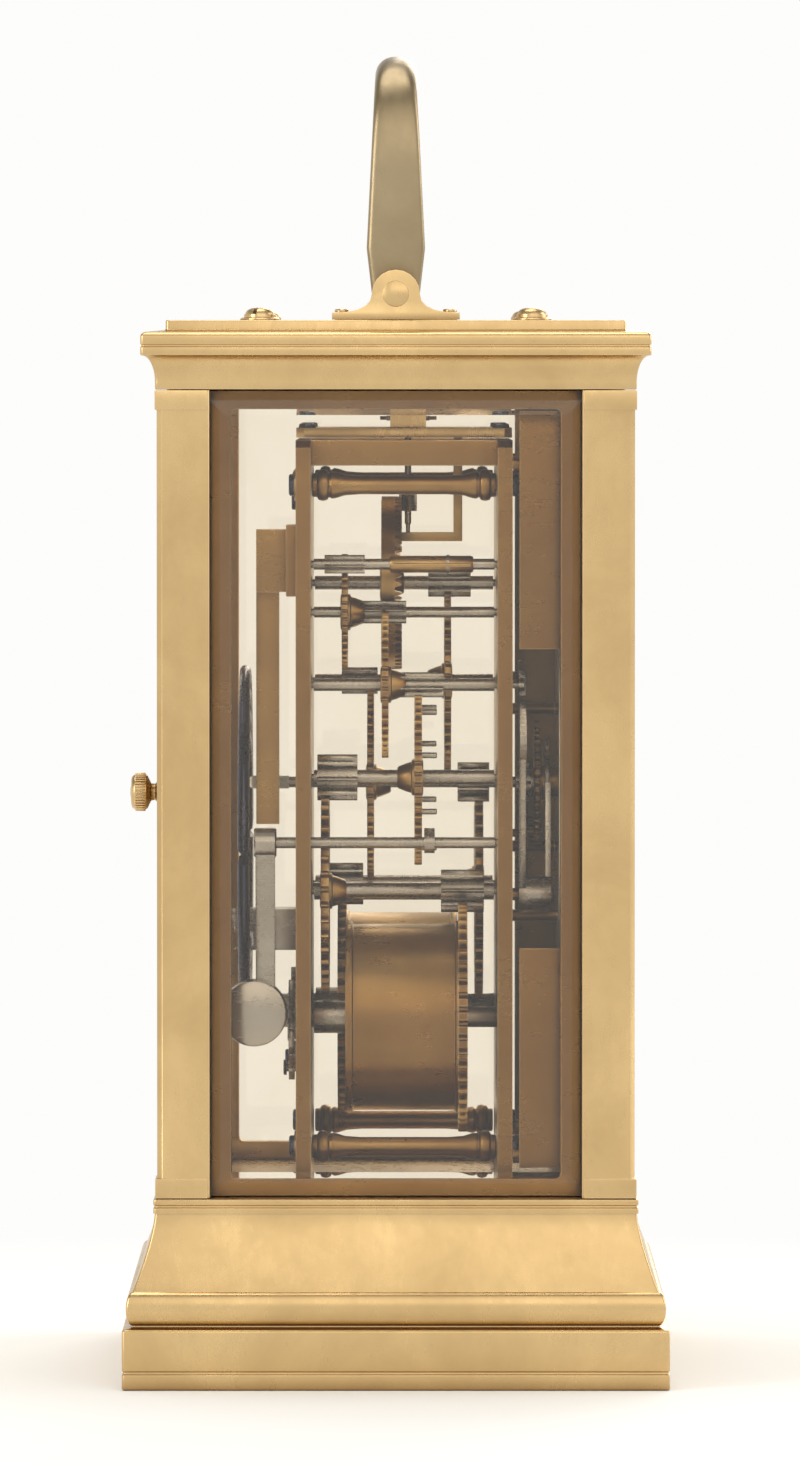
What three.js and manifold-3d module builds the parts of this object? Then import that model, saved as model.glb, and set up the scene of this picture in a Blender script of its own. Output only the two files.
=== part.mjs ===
// Gilt-brass carriage clock: glazed case with a folding handle and a back door, and a two-train
// movement with platform lever escapement, rack striking and a coiled gong.
// Millimetres, +Z up, dial towards -Y. The origin is under the middle of the base, on the table.
// Outlines drawn in X and Z are as seen from the dial side, and angles in them turn anticlockwise.

import * as THREE from 'three';
import { mergeVertices } from 'three/addons/utils/BufferGeometryUtils.js';
import { ConvexGeometry } from 'three/addons/geometries/ConvexGeometry.js';
import Module from 'manifold-3d';

const wasm = await Module();
wasm.setup();

// Clearances
const SEAT_GAP = 0.1;
const RUNNING_GAP = 0.3;
const OVERRUN = 1;
const WELD = 0.001;

// Counts of flats on round forms
const SHAFT_SIDES = 8;
const ROUND_SIDES = 12;
const DRUM_SIDES = 28;
const PIPE_SIDES = 12;
const WIRE_SIDES = 6;
const WINDOW_STEPS = 3;
const CURVE_STEPS = 5;

// Case
const CASE_WIDTH = 75.5;
const CASE_DEPTH = 63.5;
const BASE_HEIGHT = 25.1;
const PILLAR_HEIGHT = 107.4;
const PILLAR_WIDTH = 7;
const PILLAR_CHAMFER = 0.7;
const COLLAR_HEIGHT = 2.6;
const COLLAR_REACH = 0.25;
const CORNICE_HEIGHT = 9.2;
const PANE_THICKNESS = 2;
const PANE_INSET = 2.6;
const PANE_BEVEL_WIDTH = 3.2;
const PANE_BEVEL_DEPTH = 0.7;
const GROOVE_DEPTH = 1.4;
const GROOVE_GAP = 0.2;

// Base moulding, from the top down: lip, cove, bead and plinth
const LIP_REACH = 0.5;
const LIP_HEIGHT = 1.9;
const COVE_START = 0.3;
const COVE_REACH = 2.9;
const COVE_HEIGHT = 10.2;
const BEAD_REACH = 0.9;
const BEAD_HEIGHT = 4.5;
const PLINTH_REACH = 4.6;
const PLINTH_SLOPE = 0.5;
const RIM_WIDTH = 3;
const DECK_THICKNESS = 3.5;
const BASE_WALL = 6.1;
const DECK_SHELF = 9;
const BASE_PLATE_THICKNESS = 1.5;
const BASE_PLATE_RAISE = 1;
const FOOT_SCREW_RADIUS = 2.4;
const FOOT_SCREW_HEIGHT = 0.6;
const FOOT_SCREW_INSET = 9;

// Cornice moulding, from the bottom up: fillet, cove, fascia and flat top with a glazed opening
const FILLET_REACH = 0.2;
const FILLET_HEIGHT = 1;
const CORNICE_COVE_REACH = 1.7;
const CORNICE_COVE_HEIGHT = 3.5;
const FASCIA_REACH = 2.1;
const FASCIA_HEIGHT = 2.7;
const FASCIA_CHAMFER = 0.4;
const TOP_STEP_HEIGHT = 1.3;
const TOP_STEP_INSET = 1.2;
const TOP_RIM_WIDTH = 15.7;
const TOP_LEDGE_WIDTH = 1.5;
const TOP_PLATE_THICKNESS = 3.5;
const TOP_PANE_THICKNESS = 1.8;
const CORNICE_WALL = 7.2;

// Handle and its posts
const PIVOT_HEIGHT = 3.5;
const POST_INSET = 2.65;
const POST_THICKNESS = 3.6;
const POST_LENGTH = 17;
const POST_TOE_HEIGHT = 0.9;
const POST_LUG_RADIUS = 3.2;
const HANDLE_PIN_RADIUS = 1.1;
const HANDLE_PIN_HEAD_RADIUS = 2;
const HANDLE_PIN_HEAD_THICKNESS = 1;
const HANDLE_ARM_THICKNESS = 2.7;
const HANDLE_EYE_RADIUS = 3.2;
const HANDLE_HEIGHT = 35.5;
const HANDLE_KNEE_HEIGHT = 6.1;
const HANDLE_KNEE_HALF_WIDTH = 3.9;
const GRIP_RADIUS = 2.75;
const GRIP_NECK_RADIUS = 1.9;
const GRIP_HALF_LENGTH = 17.4;
const GRIP_COLLAR_WIDTH = 2;
const CORNER_DROP = 12;

// Back door
const DOOR_THICKNESS = 3.4;
const DOOR_INSET = 0.55;
const DOOR_STILE = 5;
const DOOR_REBATE = 1.5;
const DOOR_REBATE_DEPTH = 2.1;
const DOOR_END_GAP = 0.3;
const HINGE_PIN_RADIUS = 0.9;
const HINGE_PIN_LENGTH = 1.8;
const KNOB_RADIUS = 2.7;
const KNOB_LENGTH = 4.6;

// Movement plates and pillars
const PLATE_WIDTH = 56;
const PLATE_THICKNESS = 2;
const PLATE_SPACE = 25;
const FRONT_PLATE_FACE = -15.6;
const PLATE_TOP_DROP = 6.7;
const MOVEMENT_PILLAR_RADIUS = 2.2;
const MOVEMENT_PILLAR_WAIST = 1.4;
const MOVEMENT_PILLAR_SIDE_INSET = 3.4;
const MOVEMENT_PILLAR_END_INSET = 6;
const PLATE_CORNER = 1;
const pillarWaistShares = [[1, 0], [1, 0.12], [0, 0.22], [0, 0.78], [1, 0.88], [1, 1]];
const ARBOR_RADIUS = 0.75;
const PIVOT_RADIUS = 0.5;
const PIVOT_SHORT = 0.2;

// Barrels and winding work
const BARREL_X = 15;
const BARREL_RISE = 22.9;
const DRUM_RADIUS = 13;
const DRUM_LENGTH = 15.2;
const DRUM_RIM = 0.5;
const BARREL_ARBOR_RADIUS = 2.2;
const BARREL_PIVOT_RADIUS = 1.4;
const WINDING_SQUARE = 1.85;
const WINDING_REACH = 8.6;
const RATCHET_TEETH = 20;
const RATCHET_RADIUS = 5;
const RATCHET_DEPTH = 0.9;
const RATCHET_THICKNESS = 0.8;
const CLICK_DISTANCE = 8.2;
const CLICK_PIVOT_TURN = -Math.PI / 3;
const CLICK_BEAK_TURN = -Math.PI * 5 / 9;
const CLICK_HEAD_RADIUS = 1.7;
const SMALL_STUD_RADIUS = 0.6;
const CLICK_HEEL = 0.2;

// Trains: teeth and module of each wheel, the pinion it carries, and where it lies between the plates
const PINION_EXTRA = 1.2;
const goingBarrelData = { x: BARREL_X, teeth: 48, module: 0.625, thickness: 1.2, planeShare: 0.84 };
const goingSecondData = { x: 10, pinion: 8, teeth: 48, module: 0.625, thickness: 1.1, planeShare: 0.09 };
const centreData = { x: 0, pinion: 8, teeth: 56, module: 0.457, thickness: 0.9, planeShare: 0.682 };
const thirdData = { x: 4.5, pinion: 7, teeth: 45, module: 0.5333, thickness: 0.9, planeShare: 0.262 };
const contrateData = { x: 2.5, pinion: 6, teeth: 60, module: 0.38, thickness: 0.8, planeShare: 0.608 };
const strikeBarrelData = { x: -BARREL_X, teeth: 48, module: 0.625, thickness: 1.2, planeShare: 0.184 };
const strikeSecondData = { x: -10, pinion: 8, teeth: 40, module: 0.675, thickness: 1.1, planeShare: 0.926 };
const pinWheelData = { x: -14.5, pinion: 8, teeth: 48, module: 0.475, thickness: 1, planeShare: 0.424 };
const lockingData = { x: -17, pinion: 6, teeth: 42, module: 0.45, thickness: 0.9, planeShare: 0.602 };
const warningData = { x: -12.2, pinion: 6, teeth: 42, module: 0.36, thickness: 0.8, planeShare: 0.82 };
const flyData = { x: -17.8, pinion: 6 };
const wheelToothShares = { root: 1, tip: 0, addendum: 0.85, dedendum: 1.3 };
const pinionToothShares = { root: 0.42, tip: 0.22, addendum: 0.6, dedendum: 1.15 };
const WHEEL_RIM = 1.7;
const SPOKE_WIDTH = 1.5;
const SPOKES = 4;
const HUB_RADIUS = 2.6;
const STRIKING_PINS = 8;
const STRIKING_PIN_INSET = 1.5;
const STRIKING_PIN_RADIUS = 0.4;
const STRIKING_PIN_LENGTH = 2;
const CROWN_RIM_WIDTH = 0.9;
const CROWN_OUTER_EXTRA = 0.4;
const CROWN_TOOTH_HEIGHT = 1;
const CROWN_RIM_DEPTH = 1.4;
const FLY_RADIUS = 6.6;
const FLY_LENGTH = 10.4;
const FLY_THICKNESS = 0.4;
const FLY_START = 3.6;
const CENTRE_SQUARE = 1.2;
const CENTRE_SQUARE_START = 1.2;
const CENTRE_SQUARE_LENGTH = 5.4;
const CROWN_ADDENDUM = 0.3;

// Motion work, dial and hands, as distances in front of the front plate
const CANNON_TEETH = 12;
const MINUTE_WHEEL_TEETH = 36;
const MINUTE_PINION_TEETH = 10;
const HOUR_WHEEL_TEETH = 40;
const MOTION_MODULE = 0.42;
const CANNON_FRONT = 2.8;
const CANNON_BACK = 0.8;
const MINUTE_WHEEL_FRONT = 2.3;
const MINUTE_WHEEL_BACK = 1.3;
const MINUTE_PINION_FRONT = 4.4;
const HOUR_WHEEL_FRONT = 4;
const HOUR_WHEEL_BACK = 3.2;
const SNAIL_FRONT = 5.3;
const SNAIL_BACK = 4.6;
const DIAL_FRONT = 7.4;
const DIAL_BACK = 6.3;
const MASK_FRONT = 8.6;
const MASK_BACK = 7.7;
const HOUR_HAND_FRONT = 9.4;
const HOUR_HAND_BACK = 9;
const MINUTE_HAND_FRONT = 10.3;
const MINUTE_HAND_BACK = 9.9;
const CENTRE_ARBOR_FRONT = 10.7;
const MINUTE_STUD_TURN = -0.8027;
const PIPE_WALL = 0.55;
const HAND_BORE_GAP = 0.15;
const SNAIL_RADIUS = 6.5;
const SNAIL_STEP = 0.28;
const SNAIL_STEPS = 12;
const DIAL_RADIUS = 24;
const DIAL_OPENING = 23;
const MASK_WIDTH = 57;
const MASK_HEIGHT = 104;
const MASK_CORNER = 1.5;
const MASK_FOOT_RADIUS = 1.1;
const MASK_FOOT_INSET = 3.2;
const DIAL_FOOT_RADIUS = 0.8;
const DIAL_FOOT_INSET = 5;
const dialFootTurns = [Math.PI / 6, -Math.PI / 6, -Math.PI * 11 / 18];
const HOUR_HAND_LENGTH = 13.6;
const MINUTE_HAND_LENGTH = 20.4;
const HAND_WIDTH = 2.2;
const HAND_HUB_WALL = 1.1;
const HAND_TAIL = 5;
const handShares = { ringAt: 0.64, ring: 0.86, stem: 0.36 };
const SHOWN_HOUR = 10;
const SHOWN_MINUTE = 8;

// Striking work in front of the front plate
const RACK_X = -13.5;
const RACK_DROP = 14.63;
const RACK_RADIUS = 26.2;
const RACK_TEETH = 12;
const RACK_TOOTH_DEPTH = 1;
const RACK_BAND = 2.6;
const RACK_START_TURN = 0.02;
const RACK_END_TURN = 0.6;
const RACK_FRONT = 1.9;
const RACK_BACK = 1;
const RACK_TAIL_REACH = 15.06;
const RACK_TAIL_TURN = 0.087;
const RACK_TAIL_WIDTH = 1.4;
const RACK_ARM_SPREAD = 0.9;
const STUD_RADIUS = 0.9;
const LEVER_BORE_GAP = 0.3;
const LEVER_HUB_WALL = 1.3;
const HOOK_X = -4.5;
const HOOK_RISE = 14.4;
const HOOK_BEAK_RADIUS = 0.4;
const HOOK_THROAT_LENGTH = 1.2;
const HOOK_BEAK_TURN = 0.017;
const PALLET_FRONT = 1.8;
const PALLET_BACK = 1;
const PALLET_HUB_RADIUS = 0.9;

// Gong and hammer behind the back plate
const GONG_RISE = 45.9;
const GONG_INNER = 13.2;
const GONG_PITCH = 2.9;
const GONG_TURNS = 4.05;
const GONG_WIRE_RADIUS = 0.75;
const GONG_STANDOFF = 7.1;
const GONG_BLOCK_WIDTH = 6;
const GONG_BLOCK_HEIGHT = 5.6;
const GONG_LEAD = 3;
const LOOP_STEPS = 24;
const HAMMER_X = -25.2;
const HAMMER_RISE = 46.9;
const HAMMER_HEAD_X = -23.3;
const HAMMER_HEAD_RISE = 24;
const HAMMER_STANDOFF = 5.6;
const HAMMER_HEAD_RADIUS = 4.4;
const HAMMER_HEAD_LENGTH = 5.8;
const HAMMER_NOSE_RADIUS = 2.6;
const HAMMER_NOSE_LENGTH = 3.2;
const HAMMER_ARM_THICKNESS = 3;
const HAMMER_ARM_TOP = 1.5;
const HAMMER_ARM_FOOT = 1;
const HAMMER_TAIL_THICKNESS = 1.4;
const HAMMER_TAIL_HUB = 1.4;
const HAMMER_HUB_RADIUS = 2;

// Platform escapement, with levels above the platform's top face
const PLATFORM_LENGTH = 35;
const PLATFORM_CENTRE_X = -2;
const PLATFORM_THICKNESS = 1.3;
const ESCAPE_LEAVES = 6;
const ESCAPE_MODULE = 0.38;
const ESCAPE_PINION_LENGTH = 5;
const ESCAPE_TEETH = 15;
const ESCAPE_RADIUS = 3.9;
const ESCAPE_TOOTH_DEPTH = 0.9;
const escapeToothShare = 0.35;
const palletArmShares = [[0.15, 0], [0.18, 0.15], [0.33, 0.42], [0.25, 0.53], [0.16, 0.46], [0, 0.15]];
const forkHornShares = [[0.2, 0.1], [0.78, 0.13], [1, 0.16], [1, 0.08], [0.82, 0.08]];
const ESCAPE_ARBOR_RADIUS = 0.45;
const FORK_DISTANCE = 5.5;
const FORK_LENGTH = 4.4;
const BALANCE_DISTANCE = 11.3;
const BALANCE_RADIUS = 7.4;
const BALANCE_RIM = 0.9;
const LEVER_LEVEL = 1;
const LEVER_THICKNESS = 0.5;
const BRIDGE_LEVEL = 2.3;
const BRIDGE_THICKNESS = 0.8;
const BRIDGE_HALF_WIDTH = 1.5;
const BRIDGE_FOOT_GAP = 2;
const ROLLER_LEVEL = 1.9;
const ROLLER_THICKNESS = 0.5;
const ROLLER_RADIUS = 1.6;
const IMPULSE_PIN_RADIUS = 0.25;
const BALANCE_LEVEL = 3.7;
const BALANCE_THICKNESS = 1;
const SPRING_LEVEL = 5.6;
const SPRING_INNER = 1.5;
const SPRING_PITCH = 0.95;
const SPRING_TURNS = 3;
const SPRING_WIRE_RADIUS = 0.18;
const COCK_LEVEL = 6.6;
const COCK_THICKNESS = 1;
const COCK_HALF_WIDTH = 2.4;
const COCK_FOOT_LENGTH = 2.2;
const SPRING_STUD_RADIUS = 0.4;
const FINE_PIVOT_RADIUS = 0.3;
const FINE_PIVOT_GAP = 0.25;
const ESCAPE_PINION_UNDER = 1.6;
const POTENCE_DROP = 2.9;
const POTENCE_THICKNESS = 1.2;
const POTENCE_HALF_WIDTH = 2;
const POTENCE_REACH = 6.2;
const POTENCE_TOE = 1.3;

// Levels and faces that follow from the sizes above
const halfWidth = CASE_WIDTH / 2;
const halfDepth = CASE_DEPTH / 2;
const pillarFoot = BASE_HEIGHT + SEAT_GAP;
const pillarHead = pillarFoot + PILLAR_HEIGHT;
const corniceFoot = pillarHead + SEAT_GAP;
const corniceTop = corniceFoot + CORNICE_HEIGHT;
const handlePivotZ = corniceTop + PIVOT_HEIGHT;
const plateFoot = BASE_HEIGHT + SEAT_GAP;
const plateHead = pillarHead - PLATE_TOP_DROP;
const frontInner = FRONT_PLATE_FACE + PLATE_THICKNESS;
const backInner = frontInner + PLATE_SPACE;
const backFace = backInner + PLATE_THICKNESS;
const platformFoot = plateHead + RUNNING_GAP;
const platformTop = platformFoot + PLATFORM_THICKNESS;

// Colours and finishes of the real materials
const GILT = { color: 0xd2a24e, roughness: 0.3, metalness: 1 };
const BRASS = { color: 0xb98f45, roughness: 0.35, metalness: 1 };
const STEEL = { color: 0x8d9096, roughness: 0.28, metalness: 1 };
const BLUED = { color: 0x27365c, roughness: 0.3, metalness: 1 };
const ENAMEL = { color: 0xf3efe4, roughness: 0.25, metalness: 0 };
const GLASS = { color: 0xeef3f0, roughness: 0.05, metalness: 0, transparent: true, opacity: 0.25 };

// Basic operations

function solid(geometry) {
  const bare = geometry.clone();
  bare.deleteAttribute('normal');
  bare.deleteAttribute('uv');
  const merged = mergeVertices(bare, WELD);
  const position = merged.attributes.position;
  const corners = merged.index.array;
  const faces = [];
  let volume = 0;
  const point = [new THREE.Vector3(), new THREE.Vector3(), new THREE.Vector3()];
  for (let first = 0; first < corners.length; first += 3) {
    const [a, b, c] = corners.slice(first, first + 3);
    if (a === b || b === c || c === a) continue;
    faces.push([a, b, c]);
    point[0].fromBufferAttribute(position, a);
    point[1].fromBufferAttribute(position, b);
    point[2].fromBufferAttribute(position, c);
    volume += point[0].dot(point[1].cross(point[2]));
  }
  if (volume < 0) faces.forEach((face) => face.reverse());
  return new wasm.Manifold(new wasm.Mesh({
    numProp: 3,
    vertProperties: new Float32Array(position.array),
    triVerts: new Uint32Array(faces.flat()),
  }));
}

function join(...solids) {
  return solids.reduce((whole, next) => whole.add(next));
}

function cut(body, ...tools) {
  return tools.reduce((whole, tool) => whole.subtract(tool), body);
}

function piece(name, body, look, x = 0, y = 0, z = 0) {
  const { vertProperties, triVerts } = body.getMesh();
  const geometry = new THREE.BufferGeometry();
  geometry.setAttribute('position', new THREE.BufferAttribute(vertProperties, 3));
  geometry.setIndex(new THREE.BufferAttribute(triVerts, 1));
  geometry.computeVertexNormals();
  const mesh = new THREE.Mesh(geometry, new THREE.MeshStandardMaterial(look));
  mesh.name = name;
  mesh.position.set(x, y, z);
  return mesh;
}

function polar(radius, turn) {
  return new THREE.Vector2(radius * Math.cos(turn), radius * Math.sin(turn));
}

// A block between two values on each axis
function block(x0, x1, y0, y1, z0, z1) {
  const geometry = new THREE.BoxGeometry(x1 - x0, y1 - y0, z1 - z0);
  geometry.translate((x0 + x1) / 2, (y0 + y1) / 2, (z0 + z1) / 2);
  return solid(geometry);
}

// An outline in X and Z, thick from one Y to another
function sheet(shape, from, to) {
  const geometry = new THREE.ExtrudeGeometry(shape, extrusion(to - from));
  geometry.rotateX(Math.PI / 2);
  geometry.translate(0, to, 0);
  return solid(geometry);
}

// An outline in X and Y, thick from one Z to another
function layer(shape, from, to) {
  const geometry = new THREE.ExtrudeGeometry(shape, extrusion(to - from));
  geometry.translate(0, 0, from);
  return solid(geometry);
}

// An outline in Y and Z, thick from one X to another
function sideSheet(shape, from, to) {
  const geometry = new THREE.ExtrudeGeometry(shape, extrusion(to - from));
  const sideways = new THREE.Matrix4().makeBasis(
    new THREE.Vector3(0, 1, 0), new THREE.Vector3(0, 0, 1), new THREE.Vector3(1, 0, 0));
  geometry.applyMatrix4(sideways);
  geometry.translate(from, 0, 0);
  return solid(geometry);
}

function extrusion(depth) {
  return { depth, bevelEnabled: false, curveSegments: CURVE_STEPS };
}

// A turned form about Y, Z or X, from [radius, place along the axis] steps that start and end on it
function turned(steps, sides = SHAFT_SIDES) {
  const profile = steps.map(([radius, along]) => new THREE.Vector2(radius, along));
  return new THREE.LatheGeometry(profile, sides, Math.PI / sides);
}

function turnedY(steps, sides) {
  return solid(turned(steps, sides));
}

function turnedZ(steps, sides) {
  return solid(turned(steps, sides).rotateX(Math.PI / 2));
}

function turnedX(steps, sides) {
  return solid(turned(steps, sides).rotateZ(-Math.PI / 2));
}

function rodSteps(radius, from, to) {
  return [[0, from], [radius, from], [radius, to], [0, to]];
}

function rodY(radius, from, to, x = 0, z = 0, sides = SHAFT_SIDES) {
  return turnedY(rodSteps(radius, from, to), sides).translate([x, 0, z]);
}

function rodZ(radius, from, to, x = 0, y = 0, sides = SHAFT_SIDES) {
  return turnedZ(rodSteps(radius, from, to), sides).translate([x, y, 0]);
}

function rodX(radius, from, to, y, z, sides = SHAFT_SIDES) {
  return turnedX(rodSteps(radius, from, to), sides).translate([0, y, z]);
}

function circle(radius, sides = ROUND_SIDES, x = 0, y = 0) {
  const points = [];
  for (let side = 0; side < sides; side += 1) {
    points.push(polar(radius, (side + 0.5) * 2 * Math.PI / sides).add(new THREE.Vector2(x, y)));
  }
  return points;
}

function rectangle(x0, x1, y0, y1, corner = 0) {
  const points = [[x0 + corner, y0], [x1 - corner, y0], [x1, y0 + corner], [x1, y1 - corner],
    [x1 - corner, y1], [x0 + corner, y1], [x0, y1 - corner], [x0, y0 + corner]];
  const kept = corner > 0 ? points : [points[0], points[2], points[4], points[6]];
  return kept.map(([x, y]) => new THREE.Vector2(x, y));
}

function shapeOf(points, ...holes) {
  const shape = new THREE.Shape(points);
  shape.holes.push(...holes.map((hole) => new THREE.Path(hole)));
  return shape;
}

// Case

// A moulding that runs round the four sides: its profile holds [distance out from the body, height]
function mouldedRing(profile) {
  const closed = [...profile, profile[0]];
  const points = closed.map(([out, z]) => new THREE.Vector2((halfDepth + out) * Math.SQRT2, z));
  const geometry = new THREE.LatheGeometry(points, 4, Math.PI / 4);
  geometry.rotateX(Math.PI / 2);
  const position = geometry.attributes.position;
  for (let index = 0; index < position.count; index += 1) {
    const x = position.getX(index);
    position.setX(index, x + Math.sign(x) * (halfWidth - halfDepth));
  }
  return solid(geometry);
}

// Part of an ellipse in a moulding profile
function curve(centreOut, centreZ, reach, height, fromTurn, toTurn) {
  const points = [];
  for (let step = 0; step <= CURVE_STEPS; step += 1) {
    const turn = fromTurn + (toTurn - fromTurn) * step / CURVE_STEPS;
    points.push([centreOut + reach * Math.cos(turn), centreZ + height * Math.sin(turn)]);
  }
  return points;
}

const hingeX = halfWidth - PILLAR_WIDTH - RUNNING_GAP - DOOR_THICKNESS / 2;
const hingeY = halfDepth - DOOR_INSET - DOOR_THICKNESS / 2;

function base() {
  const lipFoot = BASE_HEIGHT - LIP_HEIGHT;
  const coveFoot = lipFoot - COVE_HEIGHT;
  const beadFoot = coveFoot - BEAD_HEIGHT;
  const coveReach = COVE_START + COVE_REACH;
  const inner = PLINTH_REACH - RIM_WIDTH;
  const ledge = BASE_PLATE_RAISE + BASE_PLATE_THICKNESS + SEAT_GAP;
  const wall = PLINTH_REACH - BASE_WALL;
  const deckFoot = BASE_HEIGHT - DECK_THICKNESS;
  const ring = mouldedRing([
    [LIP_REACH, BASE_HEIGHT], [LIP_REACH, lipFoot],
    ...curve(coveReach, lipFoot, COVE_REACH, COVE_HEIGHT, Math.PI, Math.PI * 3 / 2),
    ...curve(coveReach, coveFoot - BEAD_HEIGHT / 2, BEAD_REACH, BEAD_HEIGHT / 2, Math.PI / 2, -Math.PI / 2)
      .slice(1),
    [PLINTH_REACH, beadFoot - PLINTH_SLOPE], [PLINTH_REACH, 0], [inner, 0], [inner, ledge],
    [wall, ledge], [wall, deckFoot], [-DECK_SHELF, deckFoot], [-DECK_SHELF, BASE_HEIGHT],
  ]);
  const deckX = halfWidth - DECK_SHELF + OVERRUN;
  const deckY = halfDepth - DECK_SHELF + OVERRUN;
  const deck = block(-deckX, deckX, -deckY, deckY, deckFoot, BASE_HEIGHT);
  const hingeHole = rodZ(HINGE_PIN_RADIUS + RUNNING_GAP, BASE_HEIGHT - HINGE_PIN_LENGTH,
    BASE_HEIGHT + OVERRUN, hingeX, hingeY);
  return cut(join(ring, deck), hingeHole);
}

function basePlate() {
  const reach = PLINTH_REACH - RIM_WIDTH - RUNNING_GAP;
  const x = halfWidth + reach;
  const y = halfDepth + reach;
  const plate = block(-x, x, -y, y, BASE_PLATE_RAISE, BASE_PLATE_RAISE + BASE_PLATE_THICKNESS);
  const screws = [];
  for (const sideX of [-1, 1]) {
    for (const sideY of [-1, 1]) {
      screws.push(rodZ(FOOT_SCREW_RADIUS, BASE_PLATE_RAISE - FOOT_SCREW_HEIGHT,
        BASE_PLATE_RAISE + BASE_PLATE_THICKNESS / 2, sideX * (x - FOOT_SCREW_INSET),
        sideY * (y - FOOT_SCREW_INSET)));
    }
  }
  return join(plate, ...screws);
}

// A corner pillar, drawn from its outer corner inwards, with grooves for the panes it holds
function pillar(sideX, sideY, holdsFrontPane) {
  const wide = PILLAR_WIDTH;
  const near = PANE_INSET - GROOVE_GAP;
  const far = PANE_INSET + PANE_THICKNESS + GROOVE_GAP;
  const deep = wide - GROOVE_DEPTH;
  const frontGroove = holdsFrontPane ? [[wide, near], [deep, near], [deep, far], [wide, far]] : [];
  const outline = [[PILLAR_CHAMFER, 0], [wide, 0], ...frontGroove, [wide, wide], [far, wide],
    [far, deep], [near, deep], [near, wide], [0, wide], [0, PILLAR_CHAMFER]];
  const out = -COLLAR_REACH;
  const end = wide - COLLAR_REACH;
  const skin = [[out, out], [end, out], [end, OVERRUN], [OVERRUN, OVERRUN], [OVERRUN, end], [out, end]];
  const shaft = layer(cornerShape(outline, sideX, sideY), pillarFoot, pillarHead);
  const foot = layer(cornerShape(skin, sideX, sideY), pillarFoot, pillarFoot + COLLAR_HEIGHT);
  const head = layer(cornerShape(skin, sideX, sideY), pillarHead - COLLAR_HEIGHT, pillarHead);
  return join(shaft, foot, head);
}

function cornerShape(outline, sideX, sideY) {
  return shapeOf(outline.map(([x, y]) => new THREE.Vector2(
    sideX * (halfWidth - x), sideY * (halfDepth - y))));
}

function cornice() {
  const coveFoot = corniceFoot + FILLET_HEIGHT;
  const fasciaFoot = coveFoot + CORNICE_COVE_HEIGHT;
  const fasciaHead = fasciaFoot + FASCIA_HEIGHT;
  const stepFoot = corniceTop - TOP_STEP_HEIGHT;
  const paneSeat = corniceTop - TOP_PANE_THICKNESS - RUNNING_GAP;
  const plateUnder = corniceTop - TOP_PLATE_THICKNESS;
  const ring = mouldedRing([
    [FILLET_REACH, corniceFoot],
    ...curve(FILLET_REACH + CORNICE_COVE_REACH, coveFoot, CORNICE_COVE_REACH, CORNICE_COVE_HEIGHT,
      Math.PI, Math.PI / 2),
    [FASCIA_REACH, fasciaFoot], [FASCIA_REACH, fasciaHead],
    [FASCIA_REACH - FASCIA_CHAMFER, fasciaHead + FASCIA_CHAMFER], [-TOP_STEP_INSET, stepFoot],
    [-TOP_STEP_INSET, corniceTop], [-TOP_RIM_WIDTH, corniceTop], [-TOP_RIM_WIDTH, paneSeat],
    [-TOP_RIM_WIDTH - TOP_LEDGE_WIDTH, paneSeat], [-TOP_RIM_WIDTH - TOP_LEDGE_WIDTH, plateUnder],
    [-CORNICE_WALL, plateUnder], [-CORNICE_WALL, corniceFoot],
  ]);
  const hingeHole = rodZ(HINGE_PIN_RADIUS + RUNNING_GAP, corniceFoot - OVERRUN,
    corniceFoot + HINGE_PIN_LENGTH, hingeX, hingeY);
  return cut(ring, hingeHole);
}

// A pane with one bevelled face, drawn in its own two directions, its bevel towards plus thickness
function pane(halfLong, halfHigh, thickness) {
  const points = [];
  for (const sideLong of [-1, 1]) {
    for (const sideHigh of [-1, 1]) {
      const long = sideLong * halfLong;
      const high = sideHigh * halfHigh;
      points.push(new THREE.Vector3(long, high, 0));
      points.push(new THREE.Vector3(long, high, thickness - PANE_BEVEL_DEPTH));
      points.push(new THREE.Vector3(long - sideLong * PANE_BEVEL_WIDTH, high - sideHigh * PANE_BEVEL_WIDTH,
        thickness));
    }
  }
  return new ConvexGeometry(points);
}

const paneFoot = pillarFoot + SEAT_GAP;
const paneHead = pillarHead - SEAT_GAP;
const paneHalfHeight = (paneHead - paneFoot) / 2;
const paneMiddle = (paneHead + paneFoot) / 2;

function frontPane() {
  const halfLong = halfWidth - PILLAR_WIDTH + GROOVE_DEPTH - GROOVE_GAP;
  const geometry = pane(halfLong, paneHalfHeight, PANE_THICKNESS);
  geometry.rotateX(Math.PI / 2);
  geometry.translate(0, -halfDepth + PANE_INSET + PANE_THICKNESS, paneMiddle);
  return solid(geometry);
}

function sidePane(side) {
  const halfLong = halfDepth - PILLAR_WIDTH + GROOVE_DEPTH - GROOVE_GAP;
  const geometry = pane(halfLong, paneHalfHeight, PANE_THICKNESS);
  geometry.rotateX(Math.PI / 2);
  geometry.rotateZ(side * Math.PI / 2);
  geometry.translate(side * (halfWidth - PANE_INSET - PANE_THICKNESS), 0, paneMiddle);
  return solid(geometry);
}

function topPane() {
  const geometry = pane(halfWidth - TOP_RIM_WIDTH - GROOVE_GAP, halfDepth - TOP_RIM_WIDTH - GROOVE_GAP,
    TOP_PANE_THICKNESS);
  geometry.translate(0, 0, corniceTop - TOP_PANE_THICKNESS - RUNNING_GAP + SEAT_GAP);
  return solid(geometry);
}

// Handle

const postOuter = halfWidth - POST_INSET;
const postInner = postOuter - POST_THICKNESS;
const armOuter = postInner - RUNNING_GAP;
const armInner = armOuter - HANDLE_ARM_THICKNESS;
const gripZ = corniceTop + HANDLE_HEIGHT - GRIP_RADIUS;

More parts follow.
